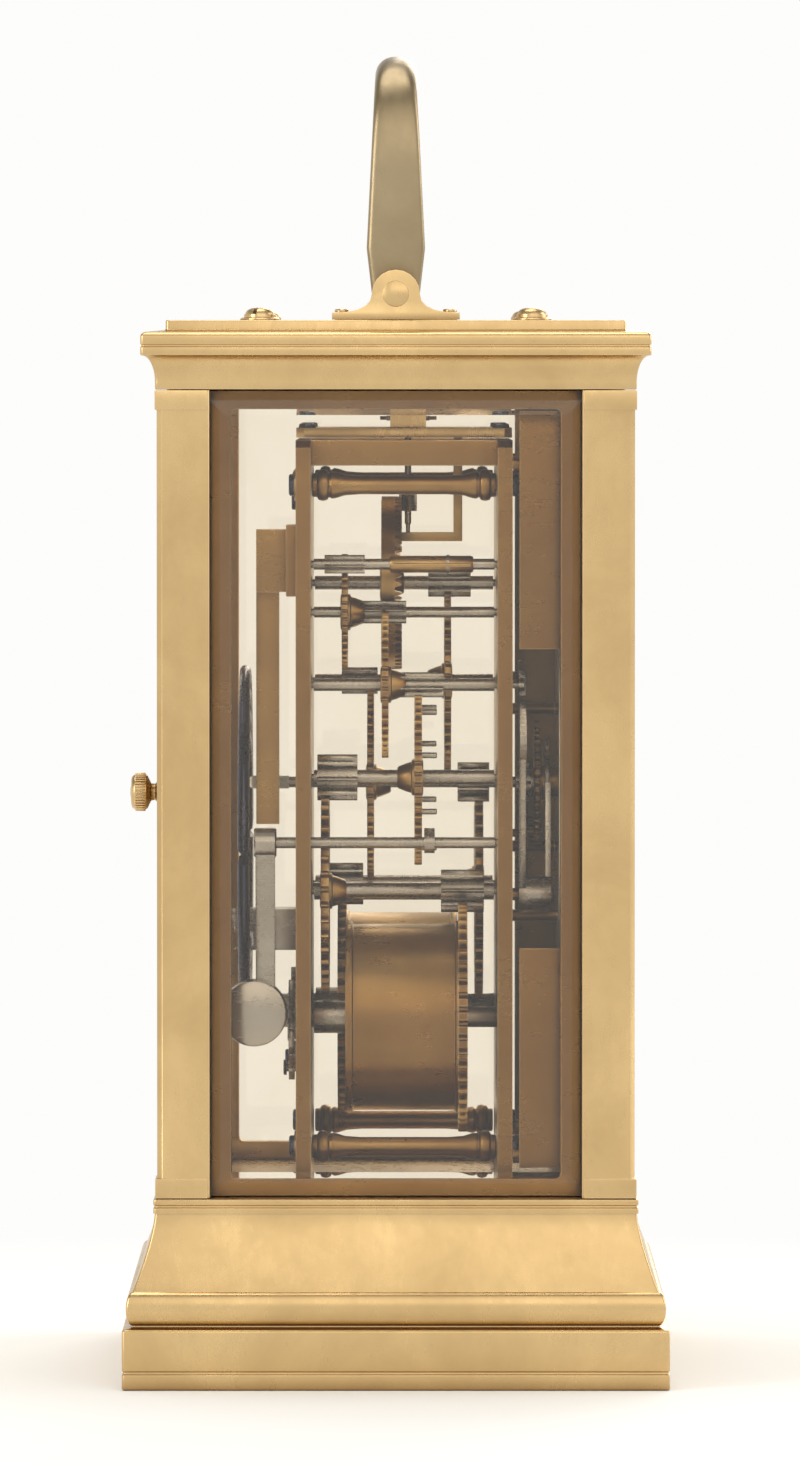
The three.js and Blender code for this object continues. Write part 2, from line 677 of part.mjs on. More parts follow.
function handlePost(side) {
  const foot = corniceTop + SEAT_GAP;
  const half = POST_LENGTH / 2;
  const shape = new THREE.Shape();
  shape.moveTo(-half, foot);
  shape.lineTo(half, foot);
  shape.lineTo(half, foot + POST_TOE_HEIGHT);
  shape.quadraticCurveTo(POST_LUG_RADIUS, foot + POST_TOE_HEIGHT, POST_LUG_RADIUS, handlePivotZ);
  shape.absarc(0, handlePivotZ, POST_LUG_RADIUS, 0, Math.PI, false);
  shape.quadraticCurveTo(-POST_LUG_RADIUS, foot + POST_TOE_HEIGHT, -half, foot + POST_TOE_HEIGHT);
  const lug = sideSheet(shape, postInner, postOuter);
  const headFace = armInner - RUNNING_GAP;
  const pin = rodX(HANDLE_PIN_RADIUS, headFace - HANDLE_PIN_HEAD_THICKNESS / 2, postInner + OVERRUN,
    0, handlePivotZ);
  const head = rodX(HANDLE_PIN_HEAD_RADIUS, headFace - HANDLE_PIN_HEAD_THICKNESS, headFace, 0,
    handlePivotZ, ROUND_SIDES);
  const post = join(lug, pin, head);
  return side > 0 ? post : post.mirror([1, 0, 0]);
}

function handleArm() {
  const bend = gripZ - CORNER_DROP;
  const foot = handlePivotZ - HANDLE_EYE_RADIUS - OVERRUN;
  const front = new THREE.Shape();
  front.moveTo(armOuter, foot);
  front.lineTo(armOuter, bend);
  front.quadraticCurveTo(armOuter, gripZ + GRIP_RADIUS, GRIP_HALF_LENGTH, gripZ + GRIP_RADIUS);
  front.lineTo(GRIP_HALF_LENGTH, gripZ - GRIP_RADIUS);
  front.quadraticCurveTo(armInner, gripZ - GRIP_RADIUS, armInner, bend);
  front.lineTo(armInner, foot);
  const side = new THREE.Shape();
  side.moveTo(HANDLE_KNEE_HALF_WIDTH, handlePivotZ + HANDLE_KNEE_HEIGHT);
  side.lineTo(GRIP_RADIUS, gripZ);
  side.absarc(0, gripZ, GRIP_RADIUS, 0, Math.PI, false);
  side.lineTo(-HANDLE_KNEE_HALF_WIDTH, handlePivotZ + HANDLE_KNEE_HEIGHT);
  side.absarc(0, handlePivotZ, HANDLE_EYE_RADIUS, Math.PI, 2 * Math.PI, false);
  const frontForm = sheet(front, -PILLAR_WIDTH, PILLAR_WIDTH);
  const sideForm = sideSheet(side, 0, halfWidth);
  const bore = rodX(HANDLE_PIN_RADIUS + RUNNING_GAP, armInner - OVERRUN, armOuter + OVERRUN, 0, handlePivotZ);
  return cut(frontForm.intersect(sideForm), bore);
}

function handle() {
  const collar = GRIP_HALF_LENGTH - GRIP_COLLAR_WIDTH;
  const steps = [[0, -GRIP_HALF_LENGTH - OVERRUN], [GRIP_NECK_RADIUS, -GRIP_HALF_LENGTH - OVERRUN],
    [GRIP_NECK_RADIUS, -GRIP_HALF_LENGTH + SEAT_GAP], [GRIP_RADIUS - SEAT_GAP, -GRIP_HALF_LENGTH + SEAT_GAP],
    [GRIP_RADIUS - SEAT_GAP, -collar], [GRIP_NECK_RADIUS, -collar + GRIP_COLLAR_WIDTH / 2]];
  for (let step = 1; step < CURVE_STEPS; step += 1) {
    const turn = Math.PI * step / CURVE_STEPS;
    const swell = GRIP_RADIUS - SEAT_GAP - GRIP_NECK_RADIUS;
    steps.push([GRIP_NECK_RADIUS + swell * Math.sin(turn), -(collar - GRIP_COLLAR_WIDTH) * Math.cos(turn)]);
  }
  steps.push([GRIP_NECK_RADIUS, collar - GRIP_COLLAR_WIDTH / 2], [GRIP_RADIUS - SEAT_GAP, collar],
    [GRIP_RADIUS - SEAT_GAP, GRIP_HALF_LENGTH - SEAT_GAP], [GRIP_NECK_RADIUS, GRIP_HALF_LENGTH - SEAT_GAP],
    [GRIP_NECK_RADIUS, GRIP_HALF_LENGTH + OVERRUN], [0, GRIP_HALF_LENGTH + OVERRUN]);
  const grip = turnedX(steps, PIPE_SIDES).translate([0, 0, gripZ]);
  const arm = handleArm();
  return join(grip, arm, arm.mirror([1, 0, 0]));
}

// Back door

const doorHalfWidth = halfWidth - PILLAR_WIDTH - RUNNING_GAP;
const doorFoot = BASE_HEIGHT + DOOR_END_GAP;
const doorHead = corniceFoot - DOOR_END_GAP;
const doorInside = hingeY - DOOR_THICKNESS / 2;
const doorOutside = hingeY + DOOR_THICKNESS / 2;

function doorFrame() {
  const slab = block(-doorHalfWidth, hingeX, doorInside, doorOutside, doorFoot, doorHead);
  const knuckle = rodZ(DOOR_THICKNESS / 2, doorFoot, doorHead, hingeX, hingeY, ROUND_SIDES);
  const left = -doorHalfWidth + DOOR_STILE;
  const right = doorHalfWidth - DOOR_STILE;
  const foot = doorFoot + DOOR_STILE;
  const head = doorHead - DOOR_STILE;
  const window = block(left, right, doorInside - OVERRUN, doorOutside + OVERRUN, foot, head);
  const rebate = block(left - DOOR_REBATE, right + DOOR_REBATE, doorInside - OVERRUN,
    doorInside + DOOR_REBATE_DEPTH, foot - DOOR_REBATE, head + DOOR_REBATE);
  const pinEnd = HINGE_PIN_LENGTH - RUNNING_GAP;
  const hingePin = rodZ(HINGE_PIN_RADIUS, BASE_HEIGHT - pinEnd, corniceFoot + pinEnd, hingeX, hingeY);
  return join(cut(join(slab, knuckle), window, rebate), hingePin);
}

function doorPane() {
  const halfLong = doorHalfWidth - DOOR_STILE + DOOR_REBATE - GROOVE_GAP;
  const halfHigh = (doorHead - doorFoot) / 2 - DOOR_STILE + DOOR_REBATE - GROOVE_GAP;
  const geometry = pane(halfLong, halfHigh, DOOR_REBATE_DEPTH - GROOVE_GAP - SEAT_GAP);
  geometry.rotateX(-Math.PI / 2);
  geometry.translate(0, doorInside + GROOVE_GAP, (doorHead + doorFoot) / 2);
  return solid(geometry);
}

function doorKnob() {
  const foot = doorOutside + SEAT_GAP;
  const knobShares = [[0, 0], [0.55, 0], [0.45, 0.22], [0.9, 0.45], [1, 0.72], [0.7, 1], [0, 1]];
  const steps = knobShares.map(([wide, along]) => [KNOB_RADIUS * wide, foot + KNOB_LENGTH * along]);
  return turnedY(steps, ROUND_SIDES);
}

// Trains

function planeOf(data) {
  return frontInner + PLATE_SPACE * data.planeShare;
}

function wheelOf(data, phase) {
  return { teeth: data.teeth, module: data.module, thickness: data.thickness, plane: planeOf(data), phase };
}

function pitchRadius(gear) {
  return gear.teeth * gear.module / 2;
}

// The turn of a gear's first tooth that puts a gap of it opposite a tooth of its driver
function meshPhase(turn, driver, teeth) {
  const passed = (turn - driver.phase) * driver.teeth / (2 * Math.PI);
  const fraction = passed - Math.floor(passed);
  return turn + Math.PI + (fraction + 0.5) * 2 * Math.PI / teeth;
}

// The next arbor of a train stands above the last, where its pinion meets the last arbor's wheel
function nextArbor(driver, data) {
  const apart = driver.wheel.module * (driver.wheel.teeth + data.pinion) / 2;
  const across = data.x - driver.x;
  const up = Math.sqrt(apart ** 2 - across ** 2);
  const phase = meshPhase(Math.atan2(up, across), driver.wheel, data.pinion);
  const pinion = {
    teeth: data.pinion,
    module: driver.wheel.module,
    thickness: driver.wheel.thickness + PINION_EXTRA,
    plane: driver.wheel.plane,
    phase,
  };
  return { x: data.x, z: driver.z + up, pinion, wheel: data.teeth ? wheelOf(data, phase) : null };
}

const barrelZ = BASE_HEIGHT + BARREL_RISE;
const goingBarrelAt = { x: BARREL_X, z: barrelZ, wheel: wheelOf(goingBarrelData, 0) };
const goingSecondAt = nextArbor(goingBarrelAt, goingSecondData);
const centreAt = nextArbor(goingSecondAt, centreData);
const thirdAt = nextArbor(centreAt, thirdData);
const contrateAt = nextArbor(thirdAt, contrateData);
const strikeBarrelAt = { x: -BARREL_X, z: barrelZ, wheel: wheelOf(strikeBarrelData, 0) };
const strikeSecondAt = nextArbor(strikeBarrelAt, strikeSecondData);
const pinWheelAt = nextArbor(strikeSecondAt, pinWheelData);
const lockingAt = nextArbor(pinWheelAt, lockingData);
const warningAt = nextArbor(lockingAt, warningData);
const flyAt = nextArbor(warningAt, flyData);

const frontEnd = FRONT_PLATE_FACE + PIVOT_SHORT;
const backEnd = backFace - PIVOT_SHORT;
const frontShoulder = frontInner + RUNNING_GAP;
const backShoulder = backInner - RUNNING_GAP;

function gearOutline(gear, shares) {
  const root = pitchRadius(gear) - shares.dedendum * gear.module;
  const tip = pitchRadius(gear) + shares.addendum * gear.module;
  const points = [];
  for (let tooth = 0; tooth < gear.teeth; tooth += 1) {
    const middle = gear.phase + tooth * 2 * Math.PI / gear.teeth;
    const rootHalf = shares.root * Math.PI / gear.teeth;
    const tipHalf = shares.tip * Math.PI / gear.teeth;
    const tips = tipHalf > 0 ? [polar(tip, middle - tipHalf), polar(tip, middle + tipHalf)]
      : [polar(tip, middle)];
    points.push(polar(root, middle - rootHalf), ...tips);
    if (shares.root < 1) points.push(polar(root, middle + rootHalf));
  }
  return points;
}

// The windows between the spokes of a wheel
function crossings(inner, outer, spokes, spokeWidth, phase) {
  const windows = [];
  for (let spoke = 0; spoke < spokes; spoke += 1) {
    const start = phase + spoke * 2 * Math.PI / spokes;
    const end = start + 2 * Math.PI / spokes;
    const points = [];
    const outerTurn = Math.asin(spokeWidth / 2 / outer);
    const innerTurn = Math.asin(spokeWidth / 2 / inner);
    for (let step = 0; step <= WINDOW_STEPS; step += 1) {
      const share = step / WINDOW_STEPS;
      points.push(polar(outer, start + outerTurn + (end - start - 2 * outerTurn) * share));
    }
    points.push(polar(inner, end - innerTurn), polar(inner, start + innerTurn));
    windows.push(points);
  }
  return windows;
}

function crossedWheel(wheel) {
  const rimInside = pitchRadius(wheel) - wheel.module - WHEEL_RIM;
  const windows = crossings(HUB_RADIUS, rimInside, SPOKES, SPOKE_WIDTH, wheel.phase);
  const shape = shapeOf(gearOutline(wheel, wheelToothShares), ...windows);
  return sheet(shape, wheel.plane - wheel.thickness / 2, wheel.plane + wheel.thickness / 2);
}

function plainWheel(wheel) {
  return sheet(shapeOf(gearOutline(wheel, wheelToothShares)), wheel.plane - wheel.thickness / 2,
    wheel.plane + wheel.thickness / 2);
}

function pinionSolid(pinion) {
  return sheet(shapeOf(gearOutline(pinion, pinionToothShares)), pinion.plane - pinion.thickness / 2,
    pinion.plane + pinion.thickness / 2);
}

function arborRadius(pinion) {
  return Math.min(ARBOR_RADIUS, pitchRadius(pinion) - pinionToothShares.dedendum * pinion.module);
}

function arbor(radius, front = frontEnd, back = backEnd) {
  return turnedY([[0, front], [PIVOT_RADIUS, front], [PIVOT_RADIUS, frontShoulder], [radius, frontShoulder],
    [radius, backShoulder], [PIVOT_RADIUS, backShoulder], [PIVOT_RADIUS, back], [0, back]], WIRE_SIDES);
}

function trainWheel(place, front, back) {
  return join(arbor(arborRadius(place.pinion), front, back), pinionSolid(place.pinion),
    crossedWheel(place.wheel));
}

// Barrels

function barrel(place, towardsFront) {
  const plane = place.wheel.plane;
  const from = towardsFront ? plane : plane - place.wheel.thickness / 2 - DRUM_LENGTH;
  const to = towardsFront ? plane + place.wheel.thickness / 2 + DRUM_LENGTH : plane;
  const rim = DRUM_RIM * 2;
  const steps = [[0, from], [DRUM_RADIUS, from], [DRUM_RADIUS, from + rim],
    [DRUM_RADIUS - DRUM_RIM, from + rim], [DRUM_RADIUS - DRUM_RIM, to - rim], [DRUM_RADIUS, to - rim],
    [DRUM_RADIUS, to], [0, to]];
  const bore = rodY(BARREL_ARBOR_RADIUS + RUNNING_GAP, frontInner, backInner, 0, 0, ROUND_SIDES);
  return cut(join(turnedY(steps, DRUM_SIDES), plainWheel(place.wheel)), bore);
}

function barrelArbor(place, towardsFront) {
  const plane = place.wheel.plane;
  const half = place.wheel.thickness / 2;
  const from = towardsFront ? plane - half : plane - half - DRUM_LENGTH;
  const to = backShoulder;
  const squareFrom = backFace + SEAT_GAP;
  const body = turnedY([[0, frontEnd], [BARREL_PIVOT_RADIUS, frontEnd], [BARREL_PIVOT_RADIUS, from],
    [BARREL_ARBOR_RADIUS, from], [BARREL_ARBOR_RADIUS, to], [BARREL_PIVOT_RADIUS, to],
    [BARREL_PIVOT_RADIUS, squareFrom + OVERRUN], [0, squareFrom + OVERRUN]]);
  const square = rodY(WINDING_SQUARE, squareFrom, squareFrom + WINDING_REACH, 0, 0, 4);
  return join(body, square);
}

const ratchetFrom = backFace + RUNNING_GAP;
const ratchetTo = ratchetFrom + RATCHET_THICKNESS;

function ratchet() {
  const steepShare = 0.85;
  const step = 2 * Math.PI / RATCHET_TEETH;
  const points = [];
  for (let tooth = 0; tooth < RATCHET_TEETH; tooth += 1) {
    points.push(polar(RATCHET_RADIUS - RATCHET_DEPTH, tooth * step));
    points.push(polar(RATCHET_RADIUS, (tooth + steepShare) * step));
  }
  return sheet(shapeOf(points, circle(WINDING_SQUARE + HAND_BORE_GAP, 4)), ratchetFrom, ratchetTo);
}

const clickPivot = polar(CLICK_DISTANCE, CLICK_PIVOT_TURN);
const smallBore = SMALL_STUD_RADIUS + RUNNING_GAP;

// The click of the barrel on the left, about its own pivot; the other barrel's click mirrors it
function click() {
  const beak = polar(RATCHET_RADIUS + RUNNING_GAP, CLICK_BEAK_TURN).sub(clickPivot);
  const inward = clickPivot.clone().normalize().negate();
  const heel = inward.clone().multiplyScalar(CLICK_HEEL);
  const back = inward.clone().multiplyScalar(-CLICK_HEAD_RADIUS);
  const head = sheet(shapeOf(circle(CLICK_HEAD_RADIUS)), ratchetFrom, ratchetTo);
  const arm = sheet(shapeOf([beak, back, heel]), ratchetFrom, ratchetTo);
  const bore = rodY(smallBore, backFace, backFace + PILLAR_WIDTH);
  return cut(join(head, arm), bore);
}

function clickPlace(barrelAt) {
  const side = Math.sign(barrelAt.x);
  return { x: barrelAt.x - side * clickPivot.x, z: barrelAt.z + clickPivot.y };
}

// Wheels with work of their own

function centreWheel() {
  const front = FRONT_PLATE_FACE - CENTRE_ARBOR_FRONT;
  const end = backFace + CENTRE_SQUARE_START + OVERRUN;
  const shaft = turnedY(rodSteps(ARBOR_RADIUS, front, end));
  const square = rodY(CENTRE_SQUARE, backFace + CENTRE_SQUARE_START,
    backFace + CENTRE_SQUARE_START + CENTRE_SQUARE_LENGTH, 0, 0, 4);
  return join(shaft, square, pinionSolid(centreAt.pinion), crossedWheel(centreAt.wheel));
}

function pinWheel() {
  const face = pinWheelAt.wheel.plane - pinWheelAt.wheel.thickness / 2;
  const reach = pitchRadius(pinWheelAt.wheel) - STRIKING_PIN_INSET;
  const pins = [];
  for (let pin = 0; pin < STRIKING_PINS; pin += 1) {
    const at = polar(reach, pinWheelAt.wheel.phase + (pin + 0.5) * 2 * Math.PI / STRIKING_PINS);
    pins.push(rodY(STRIKING_PIN_RADIUS, face - STRIKING_PIN_LENGTH, pinWheelAt.wheel.plane, at.x, at.y,
      WIRE_SIDES));
  }
  return join(trainWheel(pinWheelAt), ...pins);
}

function lockingWheel() {
  const front = FRONT_PLATE_FACE - PALLET_FRONT;
  const back = FRONT_PLATE_FACE - PALLET_BACK;
  const reach = Math.hypot(lockingAt.x - rackAt.x, lockingAt.z - rackAt.z) - RACK_RADIUS - RUNNING_GAP;
  const corners = [polar(PIVOT_RADIUS, -Math.PI / 2), polar(reach, 0), polar(PIVOT_RADIUS, Math.PI / 2)];
  const finger = shapeOf(corners);
  return join(trainWheel(lockingAt, front), rodY(PALLET_HUB_RADIUS, front, back), sheet(finger, front, back));
}

const crownRoot = contrateAt.wheel.plane - CROWN_RIM_DEPTH;
const crownTip = crownRoot - CROWN_TOOTH_HEIGHT;

// The contrate wheel's rim, a ring whose front edge is cut into upright teeth, the first one on top
function crownRim() {
  const pitch = pitchRadius(contrateAt.wheel);
  const outer = pitch + CROWN_OUTER_EXTRA;
  const inner = outer - CROWN_RIM_WIDTH;
  const stations = contrateAt.wheel.teeth * 2;
  const vertices = [];
  const faces = [];
  for (let station = 0; station < stations; station += 1) {
    const turn = Math.PI / 2 + station * 2 * Math.PI / stations;
    const front = station % 2 === 0 ? crownTip : crownRoot;
    for (const [radius, y] of [[inner, front], [outer, front], [outer, contrateAt.wheel.plane],
      [inner, contrateAt.wheel.plane]]) {
      const at = polar(radius, turn);
      vertices.push(at.x, y, at.y);
    }
    const next = (station + 1) % stations;
    for (let corner = 0; corner < 4; corner += 1) {
      const side = (corner + 1) % 4;
      faces.push(station * 4 + corner, next * 4 + corner, next * 4 + side);
      faces.push(station * 4 + corner, next * 4 + side, station * 4 + side);
    }
  }
  const geometry = new THREE.BufferGeometry();
  geometry.setAttribute('position', new THREE.Float32BufferAttribute(vertices, 3));
  geometry.setIndex(faces);
  return solid(geometry);
}

function contrateWheel() {
  const wheel = contrateAt.wheel;
  const disc = pitchRadius(wheel);
  const windows = crossings(HUB_RADIUS, disc - WHEEL_RIM, SPOKES, SPOKE_WIDTH, 0);
  const plate = sheet(shapeOf(circle(disc, DRUM_SIDES), ...windows), wheel.plane - wheel.thickness / 2,
    wheel.plane + wheel.thickness / 2);
  return join(arbor(arborRadius(contrateAt.pinion)), pinionSolid(contrateAt.pinion), plate, crownRim());
}

function fly() {
  const from = frontInner + FLY_START;
  const vane = block(-FLY_RADIUS, FLY_RADIUS, from, from + FLY_LENGTH, -FLY_THICKNESS / 2, FLY_THICKNESS / 2);
  return join(arbor(arborRadius(flyAt.pinion)), pinionSolid(flyAt.pinion), vane);
}

// Motion work, dial and hands

const motionDistance = MOTION_MODULE * (CANNON_TEETH + MINUTE_WHEEL_TEETH) / 2;
const hourModule = 2 * motionDistance / (MINUTE_PINION_TEETH + HOUR_WHEEL_TEETH);
const cannonGear = { teeth: CANNON_TEETH, module: MOTION_MODULE, phase: 0 };
const minutePhase = meshPhase(MINUTE_STUD_TURN, cannonGear, MINUTE_WHEEL_TEETH);
const minuteGear = { teeth: MINUTE_WHEEL_TEETH, module: MOTION_MODULE, phase: minutePhase };
const minutePinionGear = { teeth: MINUTE_PINION_TEETH, module: hourModule, phase: minutePhase };
const hourPhase = meshPhase(MINUTE_STUD_TURN + Math.PI, minutePinionGear, HOUR_WHEEL_TEETH);
const hourGear = { teeth: HOUR_WHEEL_TEETH, module: hourModule, phase: hourPhase };
const minuteStudAt = polar(motionDistance, MINUTE_STUD_TURN).add(new THREE.Vector2(centreAt.x, centreAt.z));
const cannonBore = ARBOR_RADIUS + RUNNING_GAP;
const cannonPipe = cannonBore + PIPE_WALL;
const hourBore = cannonPipe + RUNNING_GAP;
const hourPipe = hourBore + PIPE_WALL;

function ahead(distance) {
  return FRONT_PLATE_FACE - distance;
}

function cannonPinion() {
  const gear = sheet(shapeOf(gearOutline(cannonGear, pinionToothShares)), ahead(CANNON_FRONT),
    ahead(CANNON_BACK));
  const pipe = rodY(cannonPipe, ahead(MINUTE_HAND_FRONT + SEAT_GAP), ahead(CANNON_BACK + SEAT_GAP), 0, 0,
    PIPE_SIDES);
  const bore = rodY(cannonBore, ahead(CENTRE_ARBOR_FRONT), FRONT_PLATE_FACE);
  return cut(join(gear, pipe), bore);
}

function minuteWheel() {
  const wheel = sheet(shapeOf(gearOutline(minuteGear, wheelToothShares)), ahead(MINUTE_WHEEL_FRONT),
    ahead(MINUTE_WHEEL_BACK));
  const pinion = sheet(shapeOf(gearOutline(minutePinionGear, pinionToothShares)),
    ahead(MINUTE_PINION_FRONT), ahead((MINUTE_WHEEL_FRONT + MINUTE_WHEEL_BACK) / 2));
  const bore = rodY(smallBore, ahead(CENTRE_ARBOR_FRONT), FRONT_PLATE_FACE);
  return cut(join(wheel, pinion), bore);
}

// The stepped cam that sets how far the rack falls, one step for each hour
function snailOutline() {
  const points = [];
  const step = 2 * Math.PI / SNAIL_STEPS;
  for (let hour = 0; hour < SNAIL_STEPS; hour += 1) {
    const radius = SNAIL_RADIUS - hour * SNAIL_STEP;
    points.push(polar(radius, hour * step), polar(radius, (hour + 1) * step));
  }
  return points;
}

function hourWheel() {
  const wheel = sheet(shapeOf(gearOutline(hourGear, wheelToothShares)), ahead(HOUR_WHEEL_FRONT),
    ahead(HOUR_WHEEL_BACK));
  const snail = sheet(shapeOf(snailOutline()), ahead(SNAIL_FRONT), ahead(SNAIL_BACK));
  const pipe = rodY(hourPipe, ahead(HOUR_HAND_FRONT + SEAT_GAP), ahead(HOUR_WHEEL_BACK + SEAT_GAP), 0, 0,
    PIPE_SIDES);
  const bore = rodY(hourBore, ahead(CENTRE_ARBOR_FRONT), FRONT_PLATE_FACE, 0, 0, PIPE_SIDES);
  return cut(join(wheel, snail, pipe), bore);
}

// A hand with a tapered stem, an open ring and a point, turned to the time it shows
function hand(length, bore, front, back, degrees) {
  const hub = bore + HAND_HUB_WALL;
  const ringAt = length * handShares.ringAt;
  const ring = HAND_WIDTH * handShares.ring;
  const stem = HAND_WIDTH * handShares.stem;
  const outline = shapeOf([[-stem, -HAND_TAIL], [stem, -HAND_TAIL], [stem / 2, ringAt], [-stem / 2, ringAt]]
    .map(([x, y]) => new THREE.Vector2(x, y)));
  const shoulder = ringAt + ring / 2;
  const point = shapeOf([new THREE.Vector2(-stem, shoulder), new THREE.Vector2(stem, shoulder),
    new THREE.Vector2(0, length)]);
  const from = ahead(front);
  const to = ahead(back);
  const solids = [sheet(outline, from, to), sheet(point, from, to),
    rodY(ring, from, to, 0, ringAt, PIPE_SIDES), rodY(hub, from, to, 0, 0, PIPE_SIDES)];
  const eye = rodY(ring - stem, from - OVERRUN, to + OVERRUN, 0, ringAt, WIRE_SIDES);
  const hole = rodY(bore, from - OVERRUN, to + OVERRUN, 0, 0, PIPE_SIDES);
  return cut(join(...solids), eye, hole).rotate([0, degrees, 0]);
}

function hourHand() {
  const degrees = (SHOWN_HOUR + SHOWN_MINUTE / 60) * 360 / 12;
  return hand(HOUR_HAND_LENGTH, hourPipe + HAND_BORE_GAP, HOUR_HAND_FRONT, HOUR_HAND_BACK, degrees);
}

function minuteHand() {
  const degrees = SHOWN_MINUTE * 360 / 60;
  return hand(MINUTE_HAND_LENGTH, cannonPipe + HAND_BORE_GAP, MINUTE_HAND_FRONT, MINUTE_HAND_BACK, degrees);
}

function dial() {
  const disc = sheet(shapeOf(circle(DIAL_RADIUS, DRUM_SIDES), circle(hourPipe + RUNNING_GAP)),
    ahead(DIAL_FRONT), ahead(DIAL_BACK));
  const feet = dialFootTurns.map((turn) => {
    const at = polar(DIAL_RADIUS - DIAL_FOOT_INSET, turn);
    return rodY(DIAL_FOOT_RADIUS, ahead(DIAL_FRONT) + SEAT_GAP, ahead(SEAT_GAP), at.x, at.y, WIRE_SIDES);
  });
  return join(disc, ...feet);
}

function dialMask() {
  const half = MASK_WIDTH / 2;
  const foot = paneMiddle - MASK_HEIGHT / 2;
  const head = paneMiddle + MASK_HEIGHT / 2;
  const opening = circle(DIAL_OPENING, DRUM_SIDES, centreAt.x, centreAt.z);
  const mask = sheet(shapeOf(rectangle(-half, half, foot, head, MASK_CORNER), opening), ahead(MASK_FRONT),
    ahead(MASK_BACK));
  const feet = [];
  for (const side of [-1, 1]) {
    for (const z of [foot + MASK_FOOT_INSET, plateHead - MASK_FOOT_INSET]) {
      feet.push(rodY(MASK_FOOT_RADIUS, ahead(MASK_FRONT) + SEAT_GAP, ahead(SEAT_GAP),
        side * (half - MASK_FOOT_INSET), z, WIRE_SIDES));
    }
  }
  return join(mask, ...feet);
}

// Rack striking

const rackAt = { x: RACK_X, z: centreAt.z - RACK_DROP };
const hookAt = { x: HOOK_X, z: centreAt.z + HOOK_RISE };
const leverBore = STUD_RADIUS + LEVER_BORE_GAP;
const leverHub = leverBore + LEVER_HUB_WALL;

// The toothed arm that falls to the snail, with its tail in the snail's plane, about its own pivot
function rack() {
  const root = RACK_RADIUS - RACK_TOOTH_DEPTH;
  const inner = root - RACK_BAND;
  const start = Math.PI / 2 - RACK_START_TURN;
  const end = Math.PI / 2 + RACK_END_TURN;
  const step = (end - start) / RACK_TEETH;
  const points = [];
  for (let tooth = 0; tooth < RACK_TEETH; tooth += 1) {
    points.push(polar(root, start + tooth * step), polar(RACK_RADIUS, start + (tooth + 0.5) * step));
  }
  points.push(polar(root, end));
  for (let part = 0; part <= CURVE_STEPS; part += 1) {
    points.push(polar(inner, end + (start - end) * part / CURVE_STEPS));
  }
  const front = ahead(RACK_FRONT);
  const back = ahead(RACK_BACK);
  const middle = (start + end) / 2;
  const armReach = inner + RACK_BAND / 2;
  const arm = shapeOf([polar(leverHub, middle - RACK_ARM_SPREAD), polar(armReach, middle - step),
    polar(armReach, middle + step), polar(leverHub, middle + RACK_ARM_SPREAD)]);
  const tailEnd = polar(RACK_TAIL_REACH, Math.PI / 2 - RACK_TAIL_TURN);
  const across = new THREE.Vector2(RACK_TAIL_WIDTH / 2, 0);
  const tail = shapeOf([across.clone().negate(), across, tailEnd.clone().add(across.clone().divideScalar(2)),
    tailEnd.clone().sub(across.clone().divideScalar(2))]);
  const hub = rodY(leverHub, ahead(SNAIL_FRONT), back, 0, 0, ROUND_SIDES);
  const bore = rodY(leverBore, ahead(SNAIL_FRONT + OVERRUN), FRONT_PLATE_FACE, 0, 0, ROUND_SIDES);
  return cut(join(sheet(shapeOf(points), front, back), sheet(arm, front, back),
    sheet(tail, ahead(SNAIL_FRONT), ahead(SNAIL_BACK)), hub), bore);
}

// The hooked lever that holds the rack up, its beak just clear of the rack's teeth
function rackHook() {
  const beakReach = RACK_RADIUS + RUNNING_GAP + HOOK_BEAK_RADIUS;
  const beak = polar(beakReach, Math.PI / 2 + HOOK_BEAK_TURN).add(
    new THREE.Vector2(rackAt.x - hookAt.x, rackAt.z - hookAt.z));
  const half = leverHub / 2;
  const tip = HOOK_BEAK_RADIUS;
  const throat = beak.x + HOOK_THROAT_LENGTH;
  const outline = [[0, half], [beak.x, half / 2], [beak.x - tip, beak.y], [beak.x + tip, beak.y],
    [throat, -half / 2], [0, -half]].map(([x, y]) => new THREE.Vector2(x, y));
  const front = ahead(RACK_FRONT);
  const back = ahead(RACK_BACK);
  const bore = rodY(leverBore, ahead(SNAIL_FRONT), FRONT_PLATE_FACE, 0, 0, ROUND_SIDES);
  const hub = rodY(leverHub, front, back, 0, 0, ROUND_SIDES);
  return cut(join(sheet(shapeOf(outline), front, back), hub), bore);
}

// Plates

const movementPillarX = PLATE_WIDTH / 2 - MOVEMENT_PILLAR_SIDE_INSET;
const gongAt = { x: 0, z: BASE_HEIGHT + GONG_RISE };
const hammerAt = { x: HAMMER_X, z: BASE_HEIGHT + HAMMER_RISE };
const arbors = [goingSecondAt, thirdAt, contrateAt, strikeSecondAt, pinWheelAt, lockingAt, warningAt, flyAt];

function plateOutline(shaftHoleRadius) {
  const half = PLATE_WIDTH / 2;
  const holes = arbors.map((at) => circle(PIVOT_RADIUS + RUNNING_GAP, WIRE_SIDES, at.x, at.z));
  for (const at of [goingBarrelAt, strikeBarrelAt]) {
    holes.push(circle(BARREL_PIVOT_RADIUS + RUNNING_GAP, SHAFT_SIDES, at.x, at.z));
  }
  holes.push(circle(ARBOR_RADIUS + RUNNING_GAP, SHAFT_SIDES, centreAt.x, centreAt.z));
  holes.push(circle(shaftHoleRadius, SHAFT_SIDES, hammerAt.x, hammerAt.z));
  return shapeOf(rectangle(-half, half, plateFoot, plateHead, PLATE_CORNER), ...holes);
}

